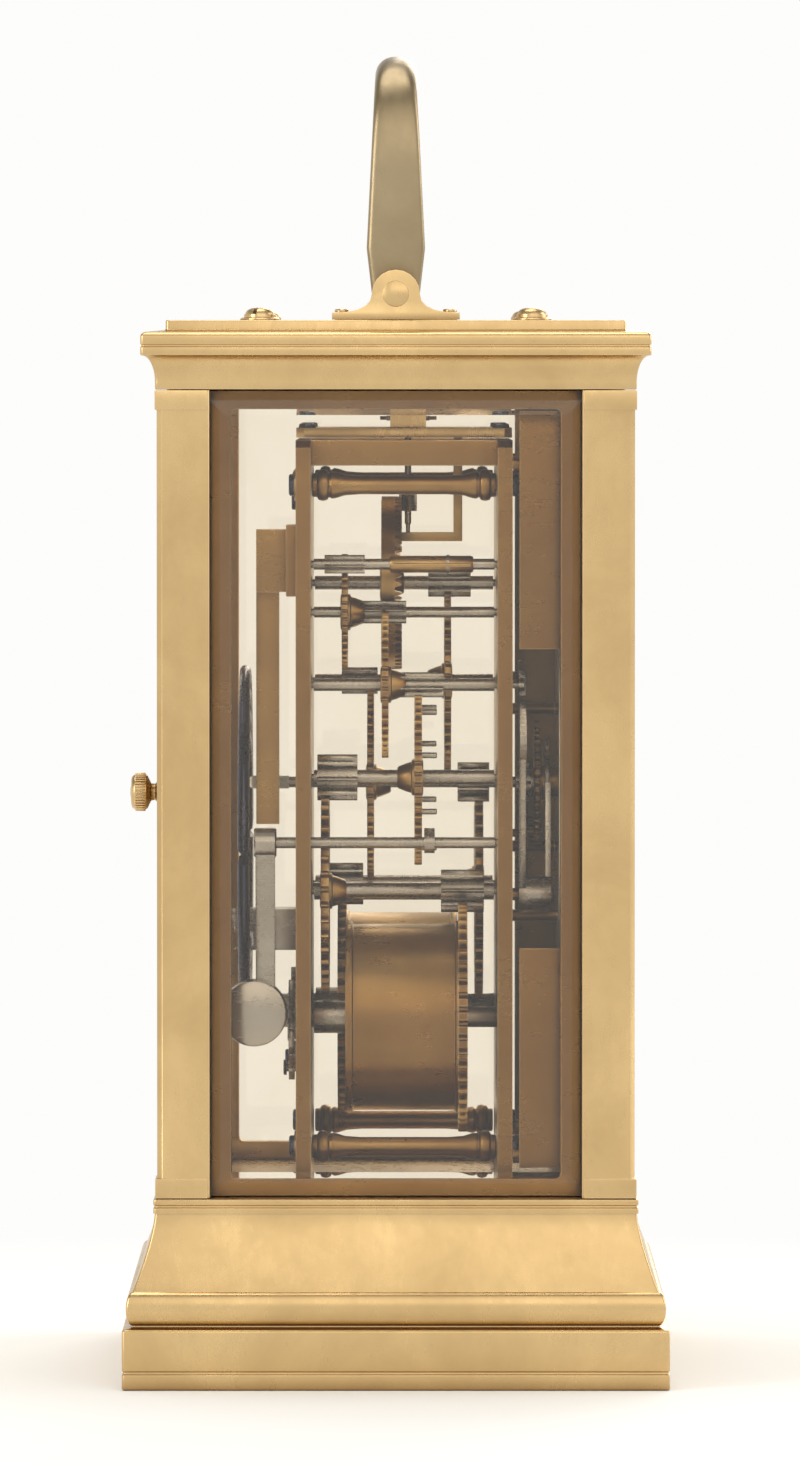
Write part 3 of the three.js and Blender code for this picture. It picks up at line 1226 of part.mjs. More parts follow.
function frontPlate() {
  const plate = sheet(plateOutline(PIVOT_RADIUS + RUNNING_GAP), FRONT_PLATE_FACE, frontInner);
  const middle = FRONT_PLATE_FACE + PLATE_THICKNESS / 2;
  const minuteStud = rodY(SMALL_STUD_RADIUS, ahead(MINUTE_PINION_FRONT), middle, minuteStudAt.x,
    minuteStudAt.y);
  const rackStud = rodY(STUD_RADIUS, ahead(SNAIL_FRONT), middle, rackAt.x, rackAt.z);
  const hookStud = rodY(STUD_RADIUS, ahead(RACK_FRONT + SEAT_GAP), middle, hookAt.x, hookAt.z);
  return join(plate, minuteStud, rackStud, hookStud);
}

function backPlate() {
  const plate = sheet(plateOutline(ARBOR_RADIUS + RUNNING_GAP), backInner, backFace);
  const studs = [goingBarrelAt, strikeBarrelAt].map((at) => {
    const place = clickPlace(at);
    return rodY(SMALL_STUD_RADIUS, backFace - PLATE_THICKNESS / 2, ratchetTo + RUNNING_GAP, place.x, place.z);
  });
  return join(plate, ...studs);
}

// A turned pillar between the plates, waisted in the middle
function movementPillar() {
  const from = frontInner + SEAT_GAP;
  const length = PLATE_SPACE - 2 * SEAT_GAP;
  const steps = pillarWaistShares.map(([wide, along]) => [
    MOVEMENT_PILLAR_WAIST + (MOVEMENT_PILLAR_RADIUS - MOVEMENT_PILLAR_WAIST) * wide, from + length * along]);
  return turnedY([[0, from], ...steps, [0, from + length]]);
}

// Gong and hammer

// A flat coil in a plane square to the given axis, with a straight lead into its inner end
class FlatCoil extends THREE.Curve {
  constructor(inner, pitch, turns, start, lead, upright) {
    super();
    Object.assign(this, { inner, pitch, turns, start, upright });
    const coilLength = 2 * Math.PI * turns * (inner + pitch * turns / 2);
    this.lead = lead;
    this.leadShare = lead / (lead + coilLength);
  }

  getPoint(share) {
    const along = Math.max(0, (share - this.leadShare) / (1 - this.leadShare));
    const turned = along * this.turns;
    const at = polar(this.inner + this.pitch * turned, this.start + turned * 2 * Math.PI);
    if (share < this.leadShare) {
      at.add(polar(this.lead * (1 - share / this.leadShare), this.start - Math.PI / 2));
    }
    return this.upright ? new THREE.Vector3(at.x, 0, at.y) : new THREE.Vector3(at.x, at.y, 0);
  }

  getPointAt(share) {
    return this.getPoint(share);
  }

  getTangentAt(share) {
    return this.getTangent(share);
  }
}

// The least distance between the wires of a coil's neighbouring turns, measured on its points
function leastGap(coil, wireRadius, steps) {
  const points = coil.getPoints(steps);
  const perTurn = Math.floor(steps / coil.turns);
  let least = Infinity;
  for (let first = 0; first < points.length; first += 1) {
    for (let other = first + Math.floor(perTurn / 2); other < points.length; other += 1) {
      least = Math.min(least, points[first].distanceTo(points[other]));
    }
  }
  return least - 2 * wireRadius;
}

function wire(coil, radius, name) {
  const steps = Math.round(LOOP_STEPS * coil.turns) + 1;
  console.log(name + ' least gap between turns: ' + leastGap(coil, radius, steps).toFixed(2) + ' mm');
  const section = shapeOf(circle(radius, WIRE_SIDES));
  return solid(new THREE.ExtrudeGeometry(section, { steps, extrudePath: coil, bevelEnabled: false }));
}

function gong() {
  const coil = new FlatCoil(GONG_INNER, GONG_PITCH, GONG_TURNS, -Math.PI / 2, GONG_LEAD, true);
  return wire(coil, GONG_WIRE_RADIUS, 'gong').translate([0, backFace + GONG_STANDOFF, 0]);
}

// The block on the back plate that holds the gong's inner end in a slot
function gongBlock() {
  const half = GONG_BLOCK_WIDTH / 2;
  const middle = -GONG_INNER;
  const slot = GONG_WIRE_RADIUS + RUNNING_GAP;
  const plane = backFace + GONG_STANDOFF;
  const body = block(-half, half, backFace + SEAT_GAP, plane + 2 * GONG_WIRE_RADIUS,
    middle - GONG_PITCH / 2, middle - GONG_PITCH / 2 + GONG_BLOCK_HEIGHT);
  const opening = block(-GONG_LEAD - slot, half + OVERRUN, plane - slot, plane + half, middle - slot,
    middle + slot);
  return cut(body, opening);
}

function hammer() {
  const plane = backFace + HAMMER_STANDOFF;
  const armFrom = plane - HAMMER_ARM_THICKNESS;
  const headX = HAMMER_HEAD_X - HAMMER_X;
  const headZ = HAMMER_HEAD_RISE - HAMMER_RISE;
  const shaft = turnedY([[0, frontEnd], [PIVOT_RADIUS, frontEnd], [PIVOT_RADIUS, frontShoulder],
    [ARBOR_RADIUS, frontShoulder], [ARBOR_RADIUS, plane], [0, plane]]);
  const hub = rodY(HAMMER_HUB_RADIUS, armFrom, plane);
  const arm = sheet(shapeOf([[-HAMMER_ARM_TOP, 0], [headX - HAMMER_ARM_FOOT, headZ],
    [headX + HAMMER_ARM_FOOT, headZ], [HAMMER_ARM_TOP, 0]].map(([x, z]) => new THREE.Vector2(x, z))),
  armFrom, plane);
  const half = HAMMER_HEAD_LENGTH / 2;
  const head = turnedX([[0, headX - half], [HAMMER_HEAD_RADIUS - SEAT_GAP, headX - half],
    [HAMMER_HEAD_RADIUS, headX - half + SEAT_GAP], [HAMMER_HEAD_RADIUS, headX + half],
    [HAMMER_NOSE_RADIUS, headX + half], [HAMMER_NOSE_RADIUS, headX + half + HAMMER_NOSE_LENGTH],
    [0, headX + half + HAMMER_NOSE_LENGTH]], ROUND_SIDES).translate([0, plane, headZ]);
  return join(shaft, hub, arm, head, hammerTail());
}

// The tail inside the movement, which the pins of the pin wheel lift
function hammerTail() {
  const pins = pitchRadius(pinWheelAt.wheel) - STRIKING_PIN_INSET + STRIKING_PIN_RADIUS;
  const across = pinWheelAt.x - hammerAt.x;
  const up = pinWheelAt.z - hammerAt.z;
  const reach = Math.hypot(across, up) - pins - RUNNING_GAP;
  const turn = Math.atan2(up, across);
  const outline = [polar(HAMMER_TAIL_HUB, turn - Math.PI / 2), polar(reach, turn),
    polar(HAMMER_TAIL_HUB, turn + Math.PI / 2), polar(HAMMER_TAIL_HUB, turn + Math.PI)];
  const face = pinWheelAt.wheel.plane - pinWheelAt.wheel.thickness / 2 - RUNNING_GAP;
  return sheet(shapeOf(outline), face - HAMMER_TAIL_THICKNESS, face);
}

// Platform escapement, placed on the upright escape arbor above the contrate wheel

const escapePitch = ESCAPE_LEAVES * ESCAPE_MODULE / 2;
const escapeAt = { x: contrateAt.x, y: crownTip + CROWN_ADDENDUM - escapePitch };
const forkAt = { x: escapeAt.x - FORK_DISTANCE, y: escapeAt.y };
const balanceAt = { x: escapeAt.x - BALANCE_DISTANCE, y: escapeAt.y };
const escapePinionFoot = contrateAt.z + pitchRadius(contrateAt.wheel) - ESCAPE_PINION_UNDER;
const potenceHead = escapePinionFoot - POTENCE_DROP;
const potenceFoot = potenceHead - POTENCE_THICKNESS;
const finePivotHole = FINE_PIVOT_RADIUS + FINE_PIVOT_GAP;

function aboveHole(at, radius) {
  return circle(radius, SHAFT_SIDES, at.x, at.y);
}

function platform() {
  const half = PLATFORM_LENGTH / 2;
  const outline = rectangle(PLATFORM_CENTRE_X - half, PLATFORM_CENTRE_X + half, FRONT_PLATE_FACE, backFace,
    PLATE_CORNER);
  return layer(shapeOf(outline, aboveHole(escapeAt, ESCAPE_ARBOR_RADIUS + RUNNING_GAP),
    aboveHole(forkAt, finePivotHole), aboveHole(balanceAt, finePivotHole)), platformFoot, platformTop);
}

function potence() {
  const legBack = escapeAt.y - POTENCE_REACH;
  const legFront = legBack - POTENCE_THICKNESS;
  const left = escapeAt.x - POTENCE_HALF_WIDTH;
  const right = escapeAt.x + POTENCE_HALF_WIDTH;
  const leg = block(left, right, legFront, legBack, potenceFoot, platformFoot - SEAT_GAP);
  const foot = block(left, right, legFront, escapeAt.y + POTENCE_TOE, potenceFoot, potenceHead);
  const hole = rodZ(finePivotHole, potenceFoot - OVERRUN, potenceHead + OVERRUN, escapeAt.x, escapeAt.y);
  return cut(join(leg, foot), hole);
}

// A cock standing on the platform: a foot at one end and an arm that carries pivots at the other
function cock(footX, footLength, armX, level, thickness, half, pivots) {
  const outward = Math.sign(footX - armX);
  const footEnd = footX + outward * footLength;
  const foot = block(Math.min(footX, footEnd), Math.max(footX, footEnd), escapeAt.y - half,
    escapeAt.y + half, platformTop + SEAT_GAP, platformTop + level + thickness / 2);
  const outline = shapeOf([[footEnd, -half], [armX, -half], [armX - outward * half, 0],
    [armX, half], [footEnd, half]].map(([x, y]) => new THREE.Vector2(x, escapeAt.y + y)));
  const arm = layer(outline, platformTop + level, platformTop + level + thickness);
  const holes = pivots.map((at) => rodZ(finePivotHole, platformTop, platformTop + level + thickness + OVERRUN,
    at.x, at.y));
  return cut(join(foot, arm), ...holes);
}

function escapeBridge() {
  const footX = escapeAt.x + ESCAPE_RADIUS + BRIDGE_FOOT_GAP;
  return cock(footX, COCK_FOOT_LENGTH, forkAt.x, BRIDGE_LEVEL, BRIDGE_THICKNESS, BRIDGE_HALF_WIDTH,
    [escapeAt, forkAt]);
}

function balanceCock() {
  const footX = balanceAt.x - BALANCE_RADIUS - RUNNING_GAP;
  const springEnd = SPRING_INNER + SPRING_PITCH * SPRING_TURNS;
  const stud = rodZ(SPRING_STUD_RADIUS, platformTop + SPRING_LEVEL - SPRING_STUD_RADIUS,
    platformTop + COCK_LEVEL + COCK_THICKNESS / 2,
    balanceAt.x - springEnd - SPRING_WIRE_RADIUS - HAND_BORE_GAP - SPRING_STUD_RADIUS, balanceAt.y);
  return join(cock(footX, COCK_FOOT_LENGTH, balanceAt.x, COCK_LEVEL, COCK_THICKNESS, COCK_HALF_WIDTH,
    [balanceAt]), stud);
}

function fineArbor(from, to, lowerShoulder, upperShoulder) {
  return [[0, from], [FINE_PIVOT_RADIUS, from], [FINE_PIVOT_RADIUS, lowerShoulder],
    [ESCAPE_ARBOR_RADIUS, lowerShoulder], [ESCAPE_ARBOR_RADIUS, upperShoulder],
    [FINE_PIVOT_RADIUS, upperShoulder], [FINE_PIVOT_RADIUS, to], [0, to]];
}

const bridgeUnder = platformTop + BRIDGE_LEVEL;
const bridgePivotEnd = bridgeUnder + BRIDGE_THICKNESS - PIVOT_SHORT;

function escapeWheel() {
  const shaft = turnedZ(fineArbor(potenceFoot + PIVOT_SHORT, bridgePivotEnd, potenceHead + RUNNING_GAP,
    bridgeUnder - RUNNING_GAP));
  const phase = Math.PI / 2 + Math.PI / ESCAPE_LEAVES;
  const leaves = { teeth: ESCAPE_LEAVES, module: ESCAPE_MODULE, phase };
  const pinion = layer(shapeOf(gearOutline(leaves, pinionToothShares)), escapePinionFoot,
    escapePinionFoot + ESCAPE_PINION_LENGTH);
  const points = [];
  const step = 2 * Math.PI / ESCAPE_TEETH;
  for (let tooth = 0; tooth < ESCAPE_TEETH; tooth += 1) {
    points.push(polar(ESCAPE_RADIUS - ESCAPE_TOOTH_DEPTH, tooth * step));
    points.push(polar(ESCAPE_RADIUS, (tooth + escapeToothShare) * step));
  }
  const rim = ESCAPE_RADIUS - 2 * ESCAPE_TOOTH_DEPTH;
  const windows = crossings(2 * ESCAPE_ARBOR_RADIUS, rim, SPOKES, ESCAPE_ARBOR_RADIUS, 0);
  const wheel = layer(shapeOf(points, ...windows), platformTop + LEVER_LEVEL,
    platformTop + LEVER_LEVEL + LEVER_THICKNESS);
  return join(shaft, pinion, wheel);
}

// The lever: two pallets either side of the escape wheel, and a fork that meets the impulse pin
function palletFork() {
  const from = platformTop + LEVER_LEVEL;
  const upper = palletArmShares.map(([along, across]) => [FORK_DISTANCE * along, FORK_DISTANCE * across]);
  const horns = forkHornShares.map(([along, across]) => [-FORK_LENGTH * along, FORK_LENGTH * across]);
  const half = [...upper, ...horns];
  const mirrored = half.slice().reverse().map(([x, y]) => [x, -y]);
  const outline = [...half, ...mirrored].map(([x, y]) => new THREE.Vector2(x, y));
  const shaft = turnedZ(fineArbor(platformFoot + PIVOT_SHORT, bridgePivotEnd, platformTop + PIVOT_SHORT,
    bridgeUnder - RUNNING_GAP));
  return join(layer(shapeOf(outline), from, from + LEVER_THICKNESS), shaft);
}

function balanceWheel() {
  const rimInner = BALANCE_RADIUS - BALANCE_RIM;
  const windows = crossings(2 * ESCAPE_ARBOR_RADIUS, rimInner, 2, SPOKE_WIDTH, Math.PI / 2);
  const wheel = layer(shapeOf(circle(BALANCE_RADIUS, DRUM_SIDES), ...windows), platformTop + BALANCE_LEVEL,
    platformTop + BALANCE_LEVEL + BALANCE_THICKNESS);
  const cockUnder = platformTop + COCK_LEVEL;
  const staff = turnedZ(fineArbor(platformFoot + PIVOT_SHORT, cockUnder + COCK_THICKNESS - PIVOT_SHORT,
    platformTop + PIVOT_SHORT, cockUnder - RUNNING_GAP));
  const rollerFoot = platformTop + ROLLER_LEVEL;
  const roller = rodZ(ROLLER_RADIUS, rollerFoot, rollerFoot + ROLLER_THICKNESS);
  const pinFoot = platformTop + LEVER_LEVEL + LEVER_THICKNESS + RUNNING_GAP / 2;
  const impulsePin = rodZ(IMPULSE_PIN_RADIUS, pinFoot, rollerFoot + ROLLER_THICKNESS / 2,
    ROLLER_RADIUS - 2 * IMPULSE_PIN_RADIUS, 0, WIRE_SIDES);
  const colletRadius = SPRING_INNER - SPRING_WIRE_RADIUS - PIVOT_SHORT;
  const collet = rodZ(colletRadius, platformTop + SPRING_LEVEL - OVERRUN / 2, cockUnder - RUNNING_GAP);
  return join(wheel, staff, roller, impulsePin, collet);
}

function hairspring() {
  const coil = new FlatCoil(SPRING_INNER, SPRING_PITCH, SPRING_TURNS, Math.PI, SPRING_WIRE_RADIUS, false);
  return wire(coil, SPRING_WIRE_RADIUS, 'hairspring').translate([0, 0, platformTop + SPRING_LEVEL]);
}

// Assembly

const clock = new THREE.Group();
clock.name = 'carriage_clock';

function caseParts() {
  clock.add(piece('base', base(), GILT), piece('base_plate', basePlate(), BRASS));
  clock.add(piece('pillar_front_left', pillar(-1, -1, true), GILT));
  clock.add(piece('pillar_front_right', pillar(1, -1, true), GILT));
  clock.add(piece('pillar_back_left', pillar(-1, 1, false), GILT));
  clock.add(piece('pillar_back_right', pillar(1, 1, false), GILT));
  clock.add(piece('cornice', cornice(), GILT), piece('top_glass', topPane(), GLASS));
  clock.add(piece('front_glass', frontPane(), GLASS));
  clock.add(piece('left_glass', sidePane(-1), GLASS), piece('right_glass', sidePane(1), GLASS));
  clock.add(piece('handle', handle(), GILT));
  clock.add(piece('handle_post_left', handlePost(-1), GILT));
  clock.add(piece('handle_post_right', handlePost(1), GILT));
  clock.add(piece('back_door_frame', doorFrame(), GILT), piece('back_door_glass', doorPane(), GLASS));
  clock.add(piece('back_door_knob', doorKnob(), GILT, -doorHalfWidth + DOOR_STILE / 2, 0, paneMiddle));
}

function dialParts() {
  const { x, z } = centreAt;
  clock.add(piece('dial', dial(), ENAMEL, x, 0, z), piece('dial_mask', dialMask(), GILT));
  clock.add(piece('hour_hand', hourHand(), BLUED, x, 0, z));
  clock.add(piece('minute_hand', minuteHand(), BLUED, x, 0, z));
  clock.add(piece('cannon_pinion', cannonPinion(), STEEL, x, 0, z));
  clock.add(piece('hour_wheel', hourWheel(), BRASS, x, 0, z));
  clock.add(piece('minute_wheel', minuteWheel(), BRASS, minuteStudAt.x, 0, minuteStudAt.y));
  clock.add(piece('rack', rack(), STEEL, rackAt.x, 0, rackAt.z));
  clock.add(piece('rack_hook', rackHook(), STEEL, hookAt.x, 0, hookAt.z));
}

function frameParts() {
  clock.add(piece('front_plate', frontPlate(), BRASS), piece('back_plate', backPlate(), BRASS));
  const low = plateFoot + MOVEMENT_PILLAR_END_INSET;
  const high = plateHead - MOVEMENT_PILLAR_END_INSET;
  const places = {
    lower_left: [-1, low], lower_right: [1, low], upper_left: [-1, high], upper_right: [1, high],
  };
  for (const [name, [side, z]] of Object.entries(places)) {
    clock.add(piece('movement_pillar_' + name, movementPillar(), BRASS, side * movementPillarX, 0, z));
  }
}

function windingParts(train, at, towardsFront) {
  const clickSolid = at.x < 0 ? click() : click().mirror([1, 0, 0]);
  const clickAt = clickPlace(at);
  clock.add(piece(train + '_barrel', barrel(at, towardsFront), BRASS, at.x, 0, at.z));
  clock.add(piece(train + '_barrel_arbor', barrelArbor(at, towardsFront), STEEL, at.x, 0, at.z));
  clock.add(piece(train + '_ratchet', ratchet(), STEEL, at.x, 0, at.z));
  clock.add(piece(train + '_click', clickSolid, STEEL, clickAt.x, 0, clickAt.z));
}

function trainParts() {
  windingParts('going', goingBarrelAt, false);
  windingParts('strike', strikeBarrelAt, true);
  const wheels = {
    going_second_wheel: [trainWheel(goingSecondAt), goingSecondAt],
    centre_wheel: [centreWheel(), centreAt],
    third_wheel: [trainWheel(thirdAt), thirdAt],
    contrate_wheel: [contrateWheel(), contrateAt],
    strike_second_wheel: [trainWheel(strikeSecondAt), strikeSecondAt],
    pin_wheel: [pinWheel(), pinWheelAt],
    locking_wheel: [lockingWheel(), lockingAt],
    warning_wheel: [trainWheel(warningAt), warningAt],
    fly: [fly(), flyAt],
  };
  for (const [name, [body, at]] of Object.entries(wheels)) clock.add(piece(name, body, BRASS, at.x, 0, at.z));
}

function strikeParts() {
  clock.add(piece('hammer', hammer(), STEEL, hammerAt.x, 0, hammerAt.z));
  clock.add(piece('gong', gong(), BLUED, gongAt.x, 0, gongAt.z));
  clock.add(piece('gong_block', gongBlock(), BRASS, gongAt.x, 0, gongAt.z));
}

function escapementParts() {
  clock.add(piece('platform', platform(), BRASS), piece('potence', potence(), BRASS));
  clock.add(piece('escape_bridge', escapeBridge(), BRASS), piece('balance_cock', balanceCock(), BRASS));
  clock.add(piece('escape_wheel', escapeWheel(), BRASS, escapeAt.x, escapeAt.y, 0));
  clock.add(piece('pallet_fork', palletFork(), STEEL, forkAt.x, forkAt.y, 0));
  clock.add(piece('balance_wheel', balanceWheel(), BRASS, balanceAt.x, balanceAt.y, 0));
  clock.add(piece('hairspring', hairspring(), BLUED, balanceAt.x, balanceAt.y, 0));
}

caseParts();
dialParts();
frameParts();
trainParts();
strikeParts();
escapementParts();

export default clock;
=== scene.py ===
import math
from functools import cache

import bmesh
import bpy
from bpy.props import FloatProperty, FloatVectorProperty, IntProperty, PointerProperty
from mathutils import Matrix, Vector


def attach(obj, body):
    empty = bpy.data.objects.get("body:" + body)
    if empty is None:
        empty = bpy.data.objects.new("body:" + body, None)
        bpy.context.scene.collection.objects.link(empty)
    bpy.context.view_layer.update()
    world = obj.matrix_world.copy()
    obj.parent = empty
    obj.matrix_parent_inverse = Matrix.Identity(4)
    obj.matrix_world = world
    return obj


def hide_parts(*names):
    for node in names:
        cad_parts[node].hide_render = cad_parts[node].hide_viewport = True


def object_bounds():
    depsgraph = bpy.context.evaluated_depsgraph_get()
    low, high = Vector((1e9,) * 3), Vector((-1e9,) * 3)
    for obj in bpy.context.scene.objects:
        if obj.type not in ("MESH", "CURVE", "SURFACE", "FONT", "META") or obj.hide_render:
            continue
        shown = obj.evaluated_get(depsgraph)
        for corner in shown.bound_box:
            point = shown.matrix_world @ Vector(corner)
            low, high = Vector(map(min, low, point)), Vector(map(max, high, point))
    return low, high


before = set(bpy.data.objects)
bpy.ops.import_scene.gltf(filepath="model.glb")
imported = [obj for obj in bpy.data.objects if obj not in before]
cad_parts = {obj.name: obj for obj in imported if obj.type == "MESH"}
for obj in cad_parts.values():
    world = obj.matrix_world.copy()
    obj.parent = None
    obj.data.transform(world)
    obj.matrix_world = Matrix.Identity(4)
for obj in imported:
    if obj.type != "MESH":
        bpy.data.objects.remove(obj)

# The looks of a gilt-brass carriage clock: mouldings, wheels, dial, escapement, finishes and stage.
# Sizes in this file are in millimetres until a piece's mesh is made, which is in metres.

bl_info = {
    "name": "Carriage clock",
    "version": (1, 0, 0),
    "blender": (4, 5, 0),
    "location": "3D View > Sidebar > Clock",
    "description": "Makes the visible pieces of a carriage clock round its packed model",
    "category": "Object",
}

MM = 0.001
cad_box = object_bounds()
clock_middle = [(low + high) / 2 for low, high in zip(*cad_box)]

BACKDROP = (0.985, 0.98, 0.965, 1.0)
LAMP_AIM_Z = 0.09

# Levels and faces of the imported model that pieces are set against
HALF_X = 37.75
HALF_Y = 31.75
BASE_TOP = 25.1
BASE_FLOOR = 21.6
CORNICE_FOOT = 132.7
CORNICE_TOP = 141.9
FRONT_FACE = -15.6
FRONT_INNER = -13.6
BACK_INNER = 11.4
BACK_FACE = 13.4
PLATE_TOP = 125.9
PLATFORM_TOP = 127.5
PILLAR_X = 24.6
PILLAR_LEVELS = (31.2, 119.9)
ARBOR_FRONT = -15.4
ARBOR_BACK = 13.2
CENTRE_Z = 79.132
DIAL_FACE = -23.0
PAINT_LEVELS = (DIAL_FACE + 0.01, DIAL_FACE - 0.03)
RACK_STUD = (-13.5, 64.502)
HOOK_STUD = (-4.5, 93.532)
DOOR_MIDDLE_Z = 78.9
HANDLE_PIVOT_Z = 145.4
GRIP_Z = 174.65
BALANCE_X = -8.8
ESCAPE_X = 2.5
FORK_X = -3.0
ESCAPE_Y = -1.64
ESCAPE_TOP = PLATFORM_TOP + 3.1
BALANCE_TOP = PLATFORM_TOP + 7.6


def tint(name, description, default):
    """A colour in the panel."""
    return FloatVectorProperty(name=name, description=description, subtype="COLOR", default=default, min=0, max=1)


def length(name, description, default, low, high):
    """A length in metres in the panel."""
    return FloatProperty(name=name, description=description, unit="LENGTH", default=default, min=low, max=high,
                         precision=5)


class ClockColours(bpy.types.PropertyGroup):
    """The colours that the finishes start from"""
    gilt: tint("Gilt", "Bright gilding of the case", (0.70, 0.495, 0.238))
    gilt_shade: tint("Gilt shade", "Gilding where it has dulled", (0.43, 0.29, 0.13))
    # The handle's gilt is painted darker than the case's: painted shade.
    handled: tint("Handle", "Gilding of the handle, painted darker as shade", (0.37, 0.29, 0.175))
    handled_shade: tint("Handle shade", "Handle where it has darkened", (0.23, 0.175, 0.10))
    brass: tint("Brass", "Lacquered brass of the movement", (0.53, 0.345, 0.13))
    brass_shade: tint("Brass shade", "Movement brass where it has browned", (0.28, 0.165, 0.058))
    steel: tint("Steel", "Polished steel of arbors and levers", (0.46, 0.43, 0.39))
    steel_shade: tint("Steel shade", "Steel where it has greyed", (0.25, 0.225, 0.195))
    blued: tint("Blued steel", "Heat-blued hands, gong and screws", (0.045, 0.052, 0.095))
    blued_shade: tint("Blued shade", "Blued steel where it turns purple", (0.07, 0.045, 0.06))
    enamel: tint("Enamel", "White enamel of the dial", (0.86, 0.84, 0.78))
    ink: tint("Numerals", "Black enamel of the numerals", (0.012, 0.012, 0.016))
    ruby: tint("Ruby", "Jewels of the escapement", (0.42, 0.015, 0.06))
    leather: tint("Leather", "Pad on the hammer's nose", (0.20, 0.10, 0.05))
    floor: tint("Floor", "Pale floor under the clock", (0.90, 0.895, 0.87))


class ClockSizes(bpy.types.PropertyGroup):
    """Small sizes of what is made only here, and the lamps' strength"""
    case_edge: length("Case edge softness", "Width of the rounding on the case's edges", 0.00022, 0.00005, 0.0008)
    screw_radius: length("Plate screw radius", "Radius of the screw heads on the plates", 0.0015, 0.0008, 0.0025)
    dome_radius: length("Dome screw radius", "Radius of the four domed screws on top", 0.0021, 0.001, 0.003)
    numeral_height: length("Numeral height", "Height of the hour numerals", 0.0042, 0.003, 0.005)
    gong_sides: IntProperty(
        name="Gong wire sides", description="Sides of the gong's round wire", default=16, min=6, max=32)
    balance_screws: IntProperty(
        name="Balance screws", description="Screws round the balance's rim", default=12, min=4, max=20)
    lamp_level: FloatProperty(
        name="Lamp level", description="Strength of all lamps together", default=0.55, min=0.1, max=4.0)


def sizes():
    return bpy.context.scene.clock_sizes


def colour(name):
    return (*getattr(bpy.context.scene.clock_colours, name), 1.0)


def linked(name, data):
    """A new object of that data, in the scene."""
    thing = bpy.data.objects.new(name, data)
    bpy.context.scene.collection.objects.link(thing)
    return thing


# Node building


def wired(tree, kind, values=None, **settings):
    """A node of that kind in the tree: settings are its own, and values go to its inputs by name or place."""
    node = tree.nodes.new(kind)
    for key, value in settings.items():
        setattr(node, key, value)
    for key, value in (values or {}).items():
        if isinstance(value, bpy.types.NodeSocket):
            tree.links.new(value, node.inputs[key])
        else:
            node.inputs[key].default_value = value
    return node


def reckoned(tree, operation, first, second):
    """What a sum on two values or sockets gives."""
    return wired(tree, "ShaderNodeMath", {0: first, 1: second}, operation=operation).outputs[0]


def shows_backdrop(tree):
    """1 for the rays that show the backdrop as it is: from the camera, a mirror or glass. Then the ray's node."""
    path = tree.nodes.new("ShaderNodeLightPath")
    seen = reckoned(tree, "MAXIMUM", path.outputs["Is Camera Ray"], path.outputs["Is Glossy Ray"])
    return reckoned(tree, "MAXIMUM", seen, path.outputs["Is Transmission Ray"]), path


def fresh_group(name, kind, inputs, outputs):
    """A node group of that kind with its sockets made, each (name, socket type, default or None)."""
    tree = bpy.data.node_groups.new(name, kind)
    for label, socket, default in inputs:
        made = tree.interface.new_socket(label, in_out="INPUT", socket_type="NodeSocket" + socket)
        if default is not None:
            made.default_value = default
    for label, socket in outputs:
        tree.interface.new_socket(label, in_out="OUTPUT", socket_type="NodeSocket" + socket)
    return tree, tree.nodes.new("NodeGroupInput"), tree.nodes.new("NodeGroupOutput")


# Shader groups that several finishes share


@cache
def mottle_group():
    """Slow changes over a surface, as where lacquer has dulled: a mask from 0 to 1."""
    tree, given, out = fresh_group(
        "Aged mottle", "ShaderNodeTree",
        [("Vector", "Vector", None), ("Scale", "Float", 60.0), ("Contrast", "Float", 0.5)], [("Mask", "Float")])
    broad = wired(tree, "ShaderNodeTexNoise", {
        "Vector": given.outputs["Vector"], "Scale": given.outputs["Scale"], "Detail": 6.0,
        "Roughness": 0.62, "Distortion": 0.4})
    half = reckoned(tree, "MULTIPLY", given.outputs["Contrast"], 0.5)
    mask = wired(tree, "ShaderNodeMapRange", {
        "Value": broad.outputs[0], "From Min": reckoned(tree, "SUBTRACT", 0.5, half),
        "From Max": reckoned(tree, "ADD", 0.5, half)}, interpolation_type="SMOOTHSTEP")
    tree.links.new(mask.outputs[0], out.inputs["Mask"])
    return tree


@cache
def grain_group():
    """Fine lines left by drawing or brushing, stretched along one axis: their height and a mask."""
    tree, given, out = fresh_group(
        "Drawn grain", "ShaderNodeTree",
        [("Vector", "Vector", None), ("Stretch", "Vector", (1.0, 1.0, 1.0)), ("Fineness", "Float", 900.0)],
        [("Height", "Float"), ("Mask", "Float")])
    pulled = wired(tree, "ShaderNodeVectorMath", {
        0: given.outputs["Vector"], 1: given.outputs["Stretch"]}, operation="MULTIPLY")
    lines = wired(tree, "ShaderNodeTexNoise", {
        "Vector": pulled.outputs[0], "Scale": given.outputs["Fineness"], "Detail": 3.0, "Roughness": 0.7})
    mask = wired(tree, "ShaderNodeMapRange", {
        "Value": lines.outputs[0], "From Min": 0.3, "From Max": 0.7})
    tree.links.new(lines.outputs[0], out.inputs["Height"])
    tree.links.new(mask.outputs[0], out.inputs["Mask"])
    return tree


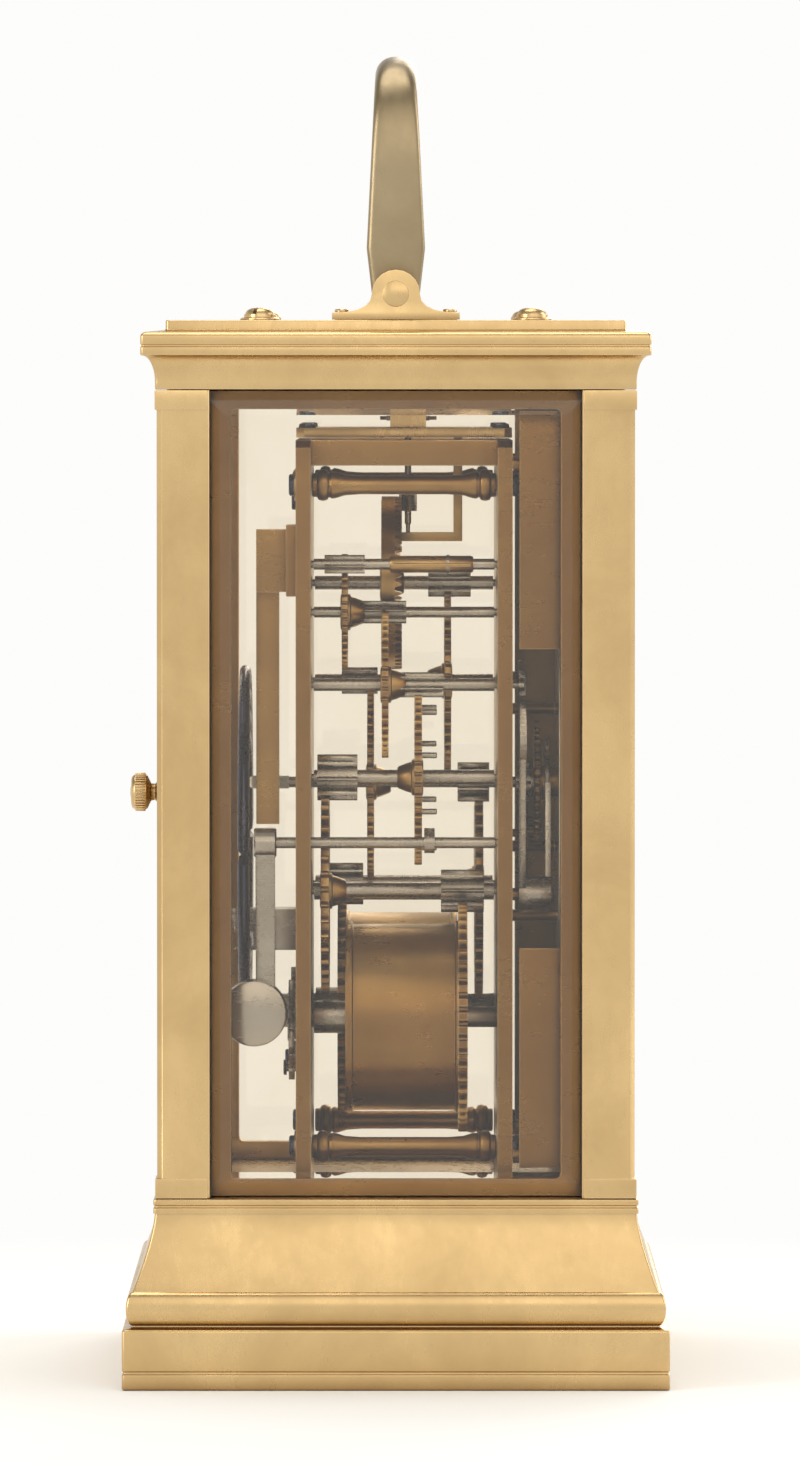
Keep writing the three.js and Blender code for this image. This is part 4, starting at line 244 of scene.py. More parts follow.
@cache
def edge_group():
    """Where an edge is rubbed bright: a mask from 0 on flat faces to 1 on edges."""
    tree, given, out = fresh_group(
        "Rubbed edges", "ShaderNodeTree", [("Reach", "Float", 0.0004)], [("Mask", "Float")])
    rounded = wired(tree, "ShaderNodeBevel", {"Radius": given.outputs["Reach"]}, samples=4)
    plain = wired(tree, "ShaderNodeNewGeometry")
    alike = wired(tree, "ShaderNodeVectorMath", {
        0: rounded.outputs[0], 1: plain.outputs["Normal"]}, operation="DOT_PRODUCT")
    mask = wired(tree, "ShaderNodeMapRange", {
        "Value": alike.outputs["Value"], "From Min": 0.995, "From Max": 0.9})
    tree.links.new(mask.outputs[0], out.inputs["Mask"])
    return tree


@cache
def recess_shade_and_dust_group():
    """Painted shade and the dust of old polish in corners: a mask from 0 in the open to 1 in recesses."""
    tree, given, out = fresh_group(
        "Painted shade and dust in recesses", "ShaderNodeTree", [("Reach", "Float", 0.003)], [("Mask", "Float")])
    shade = wired(tree, "ShaderNodeAmbientOcclusion", {"Distance": given.outputs["Reach"]}, samples=6)
    mask = wired(tree, "ShaderNodeMapRange", {
        "Value": shade.outputs["AO"], "From Min": 0.75, "From Max": 0.25})
    tree.links.new(mask.outputs[0], out.inputs["Mask"])
    return tree


def placed(tree, group, values):
    """A shader group in a finish, with its inputs set."""
    return wired(tree, "ShaderNodeGroup", values, node_tree=group)


# Finishes


def fresh_finish(name):
    material = bpy.data.materials.new(name)
    material.use_nodes = True
    tree = material.node_tree
    shader = next(node for node in tree.nodes if node.bl_idname == "ShaderNodeBsdfPrincipled")
    place = tree.nodes.new("ShaderNodeTexCoord")
    return material, tree, shader, place.outputs["Object"]


def surfaced(tree, last):
    """Makes that node's shader the surface of the finish."""
    out = next(node for node in tree.nodes if node.bl_idname == "ShaderNodeOutputMaterial")
    tree.links.new(last.outputs[0], out.inputs["Surface"])


def mixed(tree, share, first, second):
    """The colour that lies between two others by that share: 6 and 7 are the node's two colour inputs."""
    return wired(tree, "ShaderNodeMix", {0: share, 6: first, 7: second}, data_type="RGBA").outputs[2]


def roughened(tree, shader, mask, smooth, rough):
    """Lets the polish run from smooth to rough by a mask."""
    level = wired(tree, "ShaderNodeMapRange", {"Value": mask, "To Min": smooth, "To Max": rough})
    tree.links.new(level.outputs[0], shader.inputs["Roughness"])


def bumped(tree, shader, height, strength, distance):
    """Raises and lowers the surface's light by a height."""
    bump = wired(tree, "ShaderNodeBump", {"Height": height, "Strength": strength, "Distance": distance})
    tree.links.new(bump.outputs[0], shader.inputs["Normal"])


def metal_finish(look, name, smooth, rough, scale, stretch, fineness, relief, wear, shade_and_dust_depth, reach):
    """A metal that dulls in patches, with drawn lines, rubbed edges, and recesses darkened by painted shade and dust.
    """
    material, tree, shader, place = fresh_finish(name)
    bright, shade = colour(look), colour(look + "_shade")
    mottle = placed(tree, mottle_group(), {"Vector": place, "Scale": scale, "Contrast": 0.55})
    grain = placed(tree, grain_group(), {"Vector": place, "Stretch": stretch, "Fineness": fineness})
    edges = placed(tree, edge_group(), {"Reach": 0.0003})
    shade_in_recesses = placed(tree, recess_shade_and_dust_group(), {"Reach": reach})
    body = mixed(tree, reckoned(tree, "MULTIPLY", mottle.outputs[0], 0.6), bright, shade)
    # Painted shade: recesses are mixed towards a darker, browner copy of the dulled colour, with some dust.
    recess_shade_colour = (*[part * share for part, share in zip(shade, (0.5, 0.38, 0.28))], 1.0)
    deep = mixed(tree, reckoned(tree, "MULTIPLY", shade_in_recesses.outputs[0], shade_and_dust_depth), body, recess_shade_colour)
    rubbed = reckoned(tree, "MULTIPLY", edges.outputs[0], wear)
    pale = (*[min(1.0, 0.12 + 0.95 * part) for part in bright[:3]], 1.0)
    tree.links.new(mixed(tree, rubbed, deep, pale), shader.inputs["Base Color"])
    both = reckoned(tree, "ADD", mottle.outputs[0], grain.outputs["Mask"])
    roughened(tree, shader, reckoned(tree, "MULTIPLY", both, 0.5), smooth, rough)
    bumped(tree, shader, grain.outputs["Height"], relief, 0.00004)
    shader.inputs["Metallic"].default_value = 1.0
    return material


def enamel_finish():
    """Fired white enamel: glossy, a little uneven, and faintly speckled."""
    material, tree, shader, place = fresh_finish("White enamel")
    cloud = placed(tree, mottle_group(), {"Vector": place, "Scale": 120.0, "Contrast": 0.9})
    speck = wired(tree, "ShaderNodeTexVoronoi", {"Vector": place, "Scale": 1500.0})
    dot = wired(tree, "ShaderNodeMapRange", {
        "Value": speck.outputs["Distance"], "From Min": 0.05, "From Max": 0.0, "To Max": 0.35})
    warm = tuple(part * share for part, share in zip(colour("enamel"), (0.95, 0.93, 0.88, 1.0)))
    body = mixed(tree, cloud.outputs[0], colour("enamel"), warm)
    tree.links.new(mixed(tree, dot.outputs[0], body, (0.35, 0.32, 0.28, 1.0)), shader.inputs["Base Color"])
    roughened(tree, shader, cloud.outputs[0], 0.10, 0.22)
    waves = wired(tree, "ShaderNodeTexNoise", {"Vector": place, "Scale": 90.0, "Detail": 1.0})
    bumped(tree, shader, waves.outputs[0], 0.15, 0.0002)
    shader.inputs["Coat Weight"].default_value = 0.5
    return material


def numeral_finish():
    """Black enamel, fired a little thinner at the edges of the strokes."""
    material, tree, shader, place = fresh_finish("Black enamel")
    cloud = placed(tree, mottle_group(), {"Vector": place, "Scale": 700.0, "Contrast": 0.8})
    thin = tuple(part + 0.035 for part in colour("ink")[:3])
    tree.links.new(mixed(tree, cloud.outputs[0], colour("ink"), (*thin, 1.0)), shader.inputs["Base Color"])
    roughened(tree, shader, cloud.outputs[0], 0.15, 0.35)
    return material


def glass_finish():
    """Old plate glass: clear, faintly warm, with a soft haze where hands have touched it."""
    material, tree, shader, place = fresh_finish("Bevelled glass")
    haze = placed(tree, mottle_group(), {"Vector": place, "Scale": 45.0, "Contrast": 0.5})
    roughened(tree, shader, haze.outputs[0], 0.0, 0.035)
    warmth = mixed(tree, haze.outputs[0], (0.955, 0.91, 0.825, 1.0), (0.92, 0.865, 0.765, 1.0))
    tree.links.new(warmth, shader.inputs["Base Color"])
    waves = wired(tree, "ShaderNodeTexNoise", {"Vector": place, "Scale": 25.0, "Detail": 1.0})
    bumped(tree, shader, waves.outputs[0], 0.04, 0.0005)
    shader.inputs["Transmission Weight"].default_value = 1.0
    shader.inputs["IOR"].default_value = 1.46
    path = tree.nodes.new("ShaderNodeLightPath")
    clear = wired(tree, "ShaderNodeBsdfTransparent", {"Color": (0.95, 0.92, 0.86, 1.0)})
    surfaced(tree, wired(tree, "ShaderNodeMixShader", {
        0: path.outputs["Is Shadow Ray"], 1: shader.outputs[0], 2: clear.outputs[0]}))
    return material


def ruby_finish():
    """Red ruby, a little deeper in places, with a polished coat."""
    material, tree, shader, place = fresh_finish("Ruby")
    cloud = placed(tree, mottle_group(), {"Vector": place, "Scale": 1500.0, "Contrast": 0.7})
    deep = tuple(part * 0.55 for part in colour("ruby")[:3])
    tree.links.new(mixed(tree, cloud.outputs[0], colour("ruby"), (*deep, 1.0)), shader.inputs["Base Color"])
    roughened(tree, shader, cloud.outputs[0], 0.04, 0.14)
    shader.inputs["Coat Weight"].default_value = 0.6
    return material


def leather_finish():
    """Brown leather with a pebbled grain, paler where it is worn."""
    material, tree, shader, place = fresh_finish("Hammer leather")
    cells = wired(tree, "ShaderNodeTexVoronoi", {"Vector": place, "Scale": 2600.0})
    cloud = placed(tree, mottle_group(), {"Vector": place, "Scale": 500.0, "Contrast": 0.8})
    worn = tuple(min(1.0, part * 1.7) for part in colour("leather")[:3])
    tree.links.new(mixed(tree, cloud.outputs[0], colour("leather"), (*worn, 1.0)),
                   shader.inputs["Base Color"])
    bumped(tree, shader, cells.outputs["Distance"], 0.5, 0.00006)
    roughened(tree, shader, cloud.outputs[0], 0.55, 0.75)
    return material


def floor_finish():
    """A pale matt sheet with the faintest tooth, which far from the clock is as bright as the backdrop."""
    material, tree, shader, place = fresh_finish("Pale floor")
    tooth = wired(tree, "ShaderNodeTexNoise", {"Vector": place, "Scale": 400.0, "Detail": 3.0})
    darker = tuple(part * 0.985 for part in colour("floor")[:3])
    tree.links.new(mixed(tree, tooth.outputs[0], colour("floor"), (*darker, 1.0)),
                   shader.inputs["Base Color"])
    shader.inputs["Roughness"].default_value = 0.85
    shader.inputs["Specular IOR Level"].default_value = 0.2
    distance = wired(tree, "ShaderNodeVectorMath", {0: place}, operation="LENGTH")
    far = wired(tree, "ShaderNodeMapRange", {
        "Value": distance.outputs["Value"], "From Min": 0.06, "From Max": 0.22}, interpolation_type="SMOOTHSTEP")
    share = reckoned(tree, "MULTIPLY", far.outputs[0], shows_backdrop(tree)[0])
    plain = wired(tree, "ShaderNodeEmission", {"Color": BACKDROP, "Strength": 1.0})
    surfaced(tree, wired(tree, "ShaderNodeMixShader", {0: share, 1: shader.outputs[0], 2: plain.outputs[0]}))
    return material


# Each metal's name, then its smoothest and roughest polish, the scale of its dull patches, how its drawn lines are
# stretched, their fineness and relief, its edge wear, and the depth and reach of painted shade and dust in its
# recesses
METALS = {
    "gilt": ("Gilt brass", 0.20, 0.40, 55.0, (1.0, 1.0, 0.25), 700.0, 0.25, 0.5, 0.85, 0.004),
    # The handle's gilt: a darker copy of the case's gilt, as painted shade.
    "handled": ("Gilt with painted shade for the handle", 0.24, 0.46, 70.0, (1.0, 1.0, 0.3), 800.0, 0.25, 0.4, 0.85, 0.004),
    "brass": ("Movement brass", 0.22, 0.42, 90.0, (1.0, 0.3, 1.0), 900.0, 0.3, 0.45, 0.8, 0.010),
    "steel": ("Polished steel", 0.16, 0.36, 140.0, (1.0, 0.2, 1.0), 1100.0, 0.2, 0.3, 0.6, 0.004),
    "blued": ("Blued steel", 0.18, 0.34, 180.0, (1.0, 1.0, 1.0), 1200.0, 0.12, 0.25, 0.2, 0.003),
}
FINISHES = {
    "enamel": enamel_finish, "numeral": numeral_finish, "glass": glass_finish, "ruby": ruby_finish,
    "leather": leather_finish, "floor": floor_finish,
}


@cache
def finish(look):
    """The material of that look, made when it is first asked for."""
    return metal_finish(look, *METALS[look]) if look in METALS else FINISHES[look]()


# Forms: lists of (points, faces, look), in millimetres


def polar(radius, turn, x=0.0, z=0.0):
    return (x + radius * math.cos(turn), z + radius * math.sin(turn))


def arc(radius, start, end, steps, x=0.0, z=0.0):
    return [polar(radius, start + (end - start) * step / steps, x, z) for step in range(steps + 1)]


def ring_of(radius, sides, x=0.0, z=0.0):
    return [polar(radius, side * 2 * math.pi / sides, x, z) for side in range(sides)]


def eased(points, radius, steps=2, closed=False):
    """The same outline with each corner rounded by up to that radius, but by less than half of either side."""
    share_of_side, least, straight_from = 0.45, 0.01, math.radians(160)
    count = len(points)
    made = []
    for index in range(count):
        here = Vector(points[index])
        if not closed and index in (0, count - 1):
            made.append(tuple(here))
            continue
        before = Vector(points[index - 1]) - here
        after = Vector(points[(index + 1) % count]) - here
        reach = min(radius, before.length * share_of_side, after.length * share_of_side)
        straight = before.length * after.length == 0 or before.angle(after, 0) > straight_from
        if reach < least or straight:
            made.append(tuple(here))
            continue
        first = here + before.normalized() * reach
        last = here + after.normalized() * reach
        for step in range(steps + 1):
            share = step / steps
            made.append(tuple(first.lerp(here, share).lerp(here.lerp(last, share), share)))
    return made


def oblong(half, low, high, radius, steps):
    """A rectangle with rounded corners, as wide as twice that half."""
    return eased([(-half, low), (half, low), (half, high), (-half, high)], radius, steps, closed=True)


def lathe(steps, sides, look, along, centre=(0.0, 0.0, 0.0), ease=0.0):
    """A turned form: steps are (radius, place along the axis), and make a ring if they end where they begin."""
    profile = eased(steps, ease) if ease else steps
    points, faces, rings = [], [], []
    on_axis = 1e-6
    for radius, place in profile:
        if radius < on_axis:
            rings.append([len(points)])
            points.append((0.0, 0.0, place))
            continue
        rings.append(list(range(len(points), len(points) + sides)))
        points += [(*polar(radius, (side + 0.5) * 2 * math.pi / sides), place) for side in range(sides)]
    for lower, upper in zip(rings, rings[1:]):
        for side in range(sides):
            after = (side + 1) % sides
            if len(lower) == 1 and len(upper) == 1:
                continue
            if len(lower) == 1:
                faces.append((lower[0], upper[after], upper[side]))
            elif len(upper) == 1:
                faces.append((lower[side], lower[after], upper[0]))
            else:
                faces.append((lower[side], lower[after], upper[after], upper[side]))
    if len(rings[0]) > 1 and tuple(profile[0]) != tuple(profile[-1]):
        faces.append(tuple(reversed(rings[0])))
        faces.append(tuple(rings[-1]))
    elif len(rings[0]) > 1:
        faces = [tuple(rings[0][rings[-1].index(corner)] if corner in rings[-1] else corner
                       for corner in face) for face in faces]
    return placed_form((points, faces, look), along, centre)


def turned(steps, sides, look, x, z, ease=0.0):
    """A turned form whose axis runs from front to back at that place."""
    return lathe(steps, sides, look, "y", (x, 0, z), ease)


def rod(radius, low, high):
    """The steps of a plain round rod."""
    return [(0, low), (radius, low), (radius, high), (0, high)]


def band(inner, outer, low, high):
    """The steps of a plain ring, which end where they begin."""
    return [(inner, low), (outer, low), (outer, high), (inner, high), (inner, low)]


def skin(points, around):
    """The faces over rings of points, with that many points round each ring, and over both ends."""
    last = len(points) - around
    faces = []
    for start in range(0, last, around):
        for step in range(around):
            after = (step + 1) % around
            faces.append((start + step, start + after, start + around + after, start + around + step))
    return faces + [tuple(reversed(range(around))), tuple(range(last, last + around))]


def placed_form(form, along, centre):
    """A form made about Z, turned so that its Z lies along the given axis, and moved to its centre."""
    turns = {"z": lambda x, y, z: (x, y, z), "y": lambda x, y, z: (x, z, -y), "x": lambda x, y, z: (z, x, y)}
    turn = turns[along]
    return ([tuple(part + shift for part, shift in zip(turn(*point), centre)) for point in form[0]], *form[1:])


def from_mesh(mesh, look, move=tuple):
    """The form that a mesh holds. The mesh itself is then removed."""
    points = [move(vertex.co) for vertex in mesh.vertices]
    faces = [tuple(face.vertices) for face in mesh.polygons]
    bpy.data.meshes.remove(mesh)
    return (points, faces, look)


def from_draft(mesh, look):
    """The form that a mesh in the making holds. The mesh is then freed."""
    mesh.verts.index_update()
    form = ([tuple(vertex.co) for vertex in mesh.verts],
            [tuple(vertex.index for vertex in face.verts) for face in mesh.faces], look)
    mesh.free()
    return form


def evaluated_mesh(holder):
    """What an object looks like as a mesh, with all that acts on it."""
    bpy.context.view_layer.update()
    graph = bpy.context.evaluated_depsgraph_get()
    return bpy.data.meshes.new_from_object(holder.evaluated_get(graph), depsgraph=graph)


def drop(holder):
    """Removes a helping object with its mesh or curve."""
    data = holder.data
    bpy.data.objects.remove(holder)
    (bpy.data.meshes if isinstance(data, bpy.types.Mesh) else bpy.data.curves).remove(data)


def flat(outlines, low, high, look, across="xz", edge=0.06):
    """A form cut from sheet between two faces, its first outline the outside and the rest holes.

    Outlines in "xz" are seen from the dial side and low to high is along Y; in "xy" it is along Z,
    and in "yz" along X.
    """
    curve = bpy.data.curves.new("sheet", "CURVE")
    curve.dimensions = "2D"
    curve.fill_mode = "BOTH"
    for outline in outlines:
        spline = curve.splines.new("POLY")
        spline.points.add(len(outline) - 1)
        for point, (u, v) in zip(spline.points, outline):
            point.co = (u, v, 0.0, 1.0)
        spline.use_cyclic_u = True
    curve.extrude = max(0.0, (high - low) / 2 - edge)
    curve.bevel_depth = edge
    curve.bevel_resolution = 1
    curve.offset = -edge
    holder = linked("sheet", curve)
    mesh = evaluated_mesh(holder)
    middle = (low + high) / 2
    moves = {"xz": lambda p: (p.x, middle - p.z, p.y), "xy": lambda p: (p.x, p.y, middle + p.z),
             "yz": lambda p: (middle + p.z, p.x, p.y)}
    drop(holder)
    return from_mesh(mesh, look, moves[across])


def beam(x0, x1, y0, y1, z0, z1, look, ease):
    """A block with eased edges."""
    mesh = bmesh.new()
    bmesh.ops.create_cube(mesh, size=1.0)
    for vertex in mesh.verts:
        vertex.co = Vector(((x0 + x1) / 2 + vertex.co.x * (x1 - x0), (y0 + y1) / 2 + vertex.co.y * (y1 - y0),
                            (z0 + z1) / 2 + vertex.co.z * (z1 - z0)))
    bmesh.ops.bevel(mesh, geom=mesh.edges[:], offset=ease, segments=2, profile=0.7, affect="EDGES")
    return from_draft(mesh, look)


def moulding(profile, half_x, half_y, corner):
    """A gilt moulding round a rectangle: its closed profile holds (distance out from the rectangle, height)."""
    rings, points, faces = [], [], []
    for out, z in profile:
        level = []
        for sign_x, sign_y, start in ((1, 1, 0), (-1, 1, 1), (-1, -1, 2), (1, -1, 3)):
            centre_x = sign_x * (half_x + out - corner)
            centre_y = sign_y * (half_y + out - corner)
            for x, y in arc(corner, start * math.pi / 2, (start + 1) * math.pi / 2, 3, centre_x, centre_y):
                level.append(len(points))
                points.append((x, y, z))
        rings.append(level)
    for lower, upper in zip(rings, rings[1:] + rings[:1]):
        for side in range(len(lower)):
            after = (side + 1) % len(lower)
            faces.append((lower[side], lower[after], upper[after], upper[side]))
    return (points, faces, "gilt")


def softened(node, look, edge):
    """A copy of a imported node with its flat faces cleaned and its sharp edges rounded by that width."""
    alike, level, sharp_from = 0.004, math.radians(2), math.radians(32)
    mesh = bmesh.new()
    mesh.from_mesh(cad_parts[node].data)
    bmesh.ops.scale(mesh, vec=Vector((1 / MM, 1 / MM, 1 / MM)), verts=mesh.verts)
    bmesh.ops.remove_doubles(mesh, verts=mesh.verts, dist=alike)
    bmesh.ops.dissolve_limit(mesh, angle_limit=level, verts=mesh.verts, edges=mesh.edges)
    sharp = [each for each in mesh.edges if len(each.link_faces) == 2 and each.calc_face_angle(0) > sharp_from]
    bmesh.ops.bevel(mesh, geom=sharp, offset=edge, segments=2, profile=0.7, affect="EDGES", clamp_overlap=True)
    return from_draft(mesh, look)


def mesh_of(name, forms, scale=1.0):
    """One mesh of all the forms."""
    points, faces = [], []
    for form_points, form_faces, _ in forms:
        shift = len(points)
        points += [tuple(part * scale for part in point) for point in form_points]
        faces += [tuple(corner + shift for corner in face) for face in form_faces]
    mesh = bpy.data.meshes.new(name)
    mesh.from_pydata(points, [], faces)
    return mesh


def piece(name, forms, body, nodes=(), smooth=34):
    """A finished piece of the clock: its forms in one mesh, riding on a body and standing for its nodes."""
    mesh = mesh_of(name, forms, MM)
    looks = list(dict.fromkeys(look for _, _, look in forms))
    places = [looks.index(look) for _, faces, look in forms for _ in faces]
    for look in looks:
        mesh.materials.append(finish(look))
    mesh.polygons.foreach_set("material_index", places)
    tidy, alike = bmesh.new(), 2e-7
    tidy.from_mesh(mesh)
    bmesh.ops.remove_doubles(tidy, verts=tidy.verts, dist=alike)
    bmesh.ops.recalc_face_normals(tidy, faces=tidy.faces)
    for face in tidy.faces:
        face.smooth = True
    tidy.to_mesh(mesh)
    tidy.free()
    mesh.set_sharp_from_angle(angle=math.radians(smooth))
    thing = linked(name, mesh)
    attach(thing, body)
    if nodes:
        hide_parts(*nodes)


# Geometry Nodes for what repeats or follows a path


def coated(tree, given, out, last):
    """Ends a tree with the finish that it is given, on what its last node makes."""
    painted = wired(tree, "GeometryNodeSetMaterial", {
        "Geometry": last.outputs[0], "Material": given.outputs["Finish"]})
    tree.links.new(painted.outputs[0], out.inputs[0])
    return tree


@cache
def ring_tree():
    """Copies of one tooth, mark or screw round a circle about Z, each with its X pointing outwards."""
    tree, given, out = fresh_group(
        "Ring of copies", "GeometryNodeTree",
        [("Geometry", "Geometry", None), ("Count", "Int", 12), ("Radius", "Float", 1.0),
         ("Start turn", "Float", 0.0), ("Copied", "Object", None), ("Finish", "Material", None)],
        [("Geometry", "Geometry")])
    circle = wired(tree, "GeometryNodeMeshCircle", {
        "Vertices": given.outputs["Count"], "Radius": given.outputs["Radius"]})
    place = wired(tree, "GeometryNodeInputPosition")
    outward = wired(tree, "FunctionNodeAlignRotationToVector", {"Vector": place.outputs[0]},
                    axis="X", pivot_axis="Z")
    copied = wired(tree, "GeometryNodeObjectInfo", {"Object": given.outputs["Copied"]})
    spread = wired(tree, "GeometryNodeInstanceOnPoints", {
        "Points": circle.outputs[0], "Instance": copied.outputs["Geometry"],
        "Rotation": outward.outputs[0]})
    real = wired(tree, "GeometryNodeRealizeInstances", {"Geometry": spread.outputs[0]})
    turn = wired(tree, "ShaderNodeCombineXYZ", {"Z": given.outputs["Start turn"]})
    return coated(tree, given, out, wired(tree, "GeometryNodeTransform", {
        "Geometry": real.outputs[0], "Rotation": turn.outputs[0]}))


@cache
def scatter_tree():
    """Copies of one screw on given points, each facing along the point's own direction."""
    tree, given, out = fresh_group(
        "Copies on points", "GeometryNodeTree",
        [("Geometry", "Geometry", None), ("Seed", "Int", 7), ("Copied", "Object", None), ("Finish", "Material", None)],
        [("Geometry", "Geometry")])
    facing = wired(tree, "GeometryNodeInputNamedAttribute", {"Name": "facing"}, data_type="FLOAT_VECTOR")
    upright = wired(tree, "FunctionNodeAlignRotationToVector", {"Vector": facing.outputs[0]}, axis="Z")
    spin = wired(tree, "FunctionNodeRandomValue", {"Seed": given.outputs["Seed"]}, data_type="FLOAT")
    spin.inputs[3].default_value = 2 * math.pi
    about = wired(tree, "ShaderNodeCombineXYZ", {"Z": spin.outputs[1]})
    loose = wired(tree, "FunctionNodeEulerToRotation", {0: about.outputs[0]})
    rotation = wired(tree, "FunctionNodeRotateRotation", {0: upright.outputs[0], 1: loose.outputs[0]},
                     rotation_space="LOCAL")
    copied = wired(tree, "GeometryNodeObjectInfo", {"Object": given.outputs["Copied"]})
    spread = wired(tree, "GeometryNodeInstanceOnPoints", {
        "Points": given.outputs["Geometry"], "Instance": copied.outputs["Geometry"],
        "Rotation": rotation.outputs[0]})
    return coated(tree, given, out, wired(tree, "GeometryNodeRealizeInstances", {"Geometry": spread.outputs[0]}))


@cache
def wire_tree():
    """A wire or ribbon along a path of points."""
    tree, given, out = fresh_group(
        "Wire along path", "GeometryNodeTree",
        [("Geometry", "Geometry", None), ("Half width", "Float", 1.0), ("Half height", "Float", 1.0),
         ("Sides", "Int", 12), ("Finish", "Material", None)],
        [("Geometry", "Geometry")])
    path = wired(tree, "GeometryNodeMeshToCurve", {0: given.outputs["Geometry"]})
    level = wired(tree, "GeometryNodeSetCurveNormal", {0: path.outputs[0]}, mode="Z_UP")
    section = wired(tree, "GeometryNodeCurvePrimitiveCircle", {
        "Resolution": given.outputs["Sides"], "Radius": 1.0})
    scale = wired(tree, "ShaderNodeCombineXYZ", {
        "X": given.outputs["Half width"], "Y": given.outputs["Half height"], "Z": 1.0})
    shaped = wired(tree, "GeometryNodeTransform", {"Geometry": section.outputs[0], "Scale": scale.outputs[0]})
    swept = wired(tree, "GeometryNodeCurveToMesh", {
        "Curve": level.outputs[0], "Profile Curve": shaped.outputs[0], "Fill Caps": True})
    return coated(tree, given, out, swept)


def grown(tree, values, points=((0.0, 0.0, 0.0),), edges=(), facing=None):
    """The mesh that a tree makes from a host of points, with its inputs set by name."""
    host_mesh = bpy.data.meshes.new("host")
    host_mesh.from_pydata(points, edges, [])
    if facing:
        attribute = host_mesh.attributes.new("facing", "FLOAT_VECTOR", "POINT")
        attribute.data.foreach_set("vector", [part for way in facing for part in way])
    host = linked("host", host_mesh)
    grower = host.modifiers.new("grown", "NODES")
    grower.node_group = tree
    for item in tree.interface.items_tree:
        if item.item_type == "SOCKET" and item.in_out == "INPUT" and item.name in values:
            grower[item.identifier] = values[item.name]
    mesh = evaluated_mesh(host)
    host.modifiers.remove(grower)
    drop(host)
    return mesh


def ring(copied, count, radius, turn, look, plane, along, centre):
    """Copies of forms round a circle. Along "y" the circle is seen from the dial side."""
    holder = linked("copied", mesh_of("copied", copied))
    form = from_mesh(grown(ring_tree(), {"Count": count, "Radius": radius, "Start turn": turn, "Copied": holder,
                                         "Finish": finish(look)}), look)
    drop(holder)
    if along == "y":
        points = [(x + centre[0], plane - z, y + centre[2]) for x, y, z in form[0]]
    else:
        points = [(x + centre[0], y + centre[1], plane + z) for x, y, z in form[0]]
    return (points, form[1], look)


def wired_along(points, half_width, half_height, sides, look):
    """A wire or ribbon along points in millimetres."""
    edges = [(index, index + 1) for index in range(len(points) - 1)]
    return from_mesh(grown(wire_tree(), {"Half width": half_width, "Half height": half_height, "Sides": sides,
                                         "Finish": finish(look)}, points, edges), look)


# Small parts that are used in many places


def slotted_head(radius, height, domed=False):
    """A screw head facing Z: a round foot, and two halves of a crown with the slot between them."""
    slot = radius * 0.13
    foot = height * 0.5
    crown_foot = foot * 0.9
    forms = [lathe(rod(radius, 0, foot), 24, "steel", "z", ease=radius * 0.06)]
    if domed:
        crown = radius * 0.94
        levels = [(1.0, 0.0), (0.95, 0.35), (0.82, 0.65), (0.6, 0.88), (0.3, 0.98)]
    else:
        crown = radius * 0.98
        levels = [(1.0, 0.0), (1.0, 0.6), (0.93, 0.85), (0.8, 1.0)]
    for side in (1, -1):
        points = []
        for share, rise in levels:
            reach = crown * share
            start = math.asin(min(1.0, slot / reach))
            for x, y in arc(reach, start, math.pi - start, 12):
                points.append((x, y * side, crown_foot + (height - crown_foot) * rise))
        forms.append((points, skin(points, 13), "steel"))
    return forms


def screws(points, way, radius, height, look, domed=False):
    """Screw heads on points in millimetres, all facing one way, each with its slot at its own turn."""
    holder = linked("copied", mesh_of("copied", slotted_head(radius, height, domed)))
    form = from_mesh(grown(scatter_tree(), {"Seed": 7, "Copied": holder, "Finish": finish(look)},
                           points, facing=[way] * len(points)), look)
    drop(holder)
    return form


def sink(x, y, z, radius, way):
    """A polished oil sink round a pivot hole, as a shallow turned ring on a plate's face."""
    steps = [(0.42, 0.0), (0.42, 0.04), (0.6, 0.02), (0.92, 0.05), (1.0, 0.03), (1.0, 0.0), (0.42, 0.0)]
    return lathe([(radius * wide, way * rise) for wide, rise in steps], 24, "brass", "y", (x, y, z))


def jewel(x, z, radius):
    """A red jewel in a gilt setting, facing up, in the row of the escapement."""
    setting = lathe([(radius * 0.62, 0), (radius * 0.66, 0.1), (radius, 0.1), (radius * 1.08, 0), (radius * 0.62, 0)],
                    24, "gilt", "z", (x, ESCAPE_Y, z))
    stone = lathe([(0, -0.02), (radius * 0.62, -0.02), (radius * 0.62, 0.03), (radius * 0.4, 0.09),
                   (radius * 0.14, 0.1), (0, 0.06)], 20, "ruby", "z", (x, ESCAPE_Y, z))
    return [setting, stone]


# Trains: where each arbor stands and how its wheel and pinion turn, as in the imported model


# How far the solid part of a wheel or pinion lies inside its pitch circle, in modules
WHEEL_ROOT = 1.2
LEAF_ROOT = 1.15
BARREL_Z = 48.0
# Each train has its barrel: x, teeth, module, thickness, share of the way between the plates. Then its arbors, each
# driven by the one before: name, x, leaves of its pinion, and the same four for its wheel
TRAINS = {
    "going": ((15.0, 48, 0.625, 1.2, 0.84), [
        ("going_second_wheel", 10.0, 8, 48, 0.625, 1.1, 0.09), ("centre_wheel", 0.0, 8, 56, 0.457, 0.9, 0.682),
        ("third_wheel", 4.5, 7, 45, 0.5333, 0.9, 0.262), ("contrate_wheel", 2.5, 6, 60, 0.38, 0.8, 0.608)]),
    "strike": ((-15.0, 48, 0.625, 1.2, 0.184), [
        ("strike_second_wheel", -10.0, 8, 40, 0.675, 1.1, 0.926), ("pin_wheel", -14.5, 8, 48, 0.475, 1.0, 0.424),
        ("locking_wheel", -17.0, 6, 42, 0.45, 0.9, 0.602), ("warning_wheel", -12.2, 6, 42, 0.36, 0.8, 0.82),
        ("fly", -17.8, 6, 0, 0.0, 0.0, 0.0)]),
}
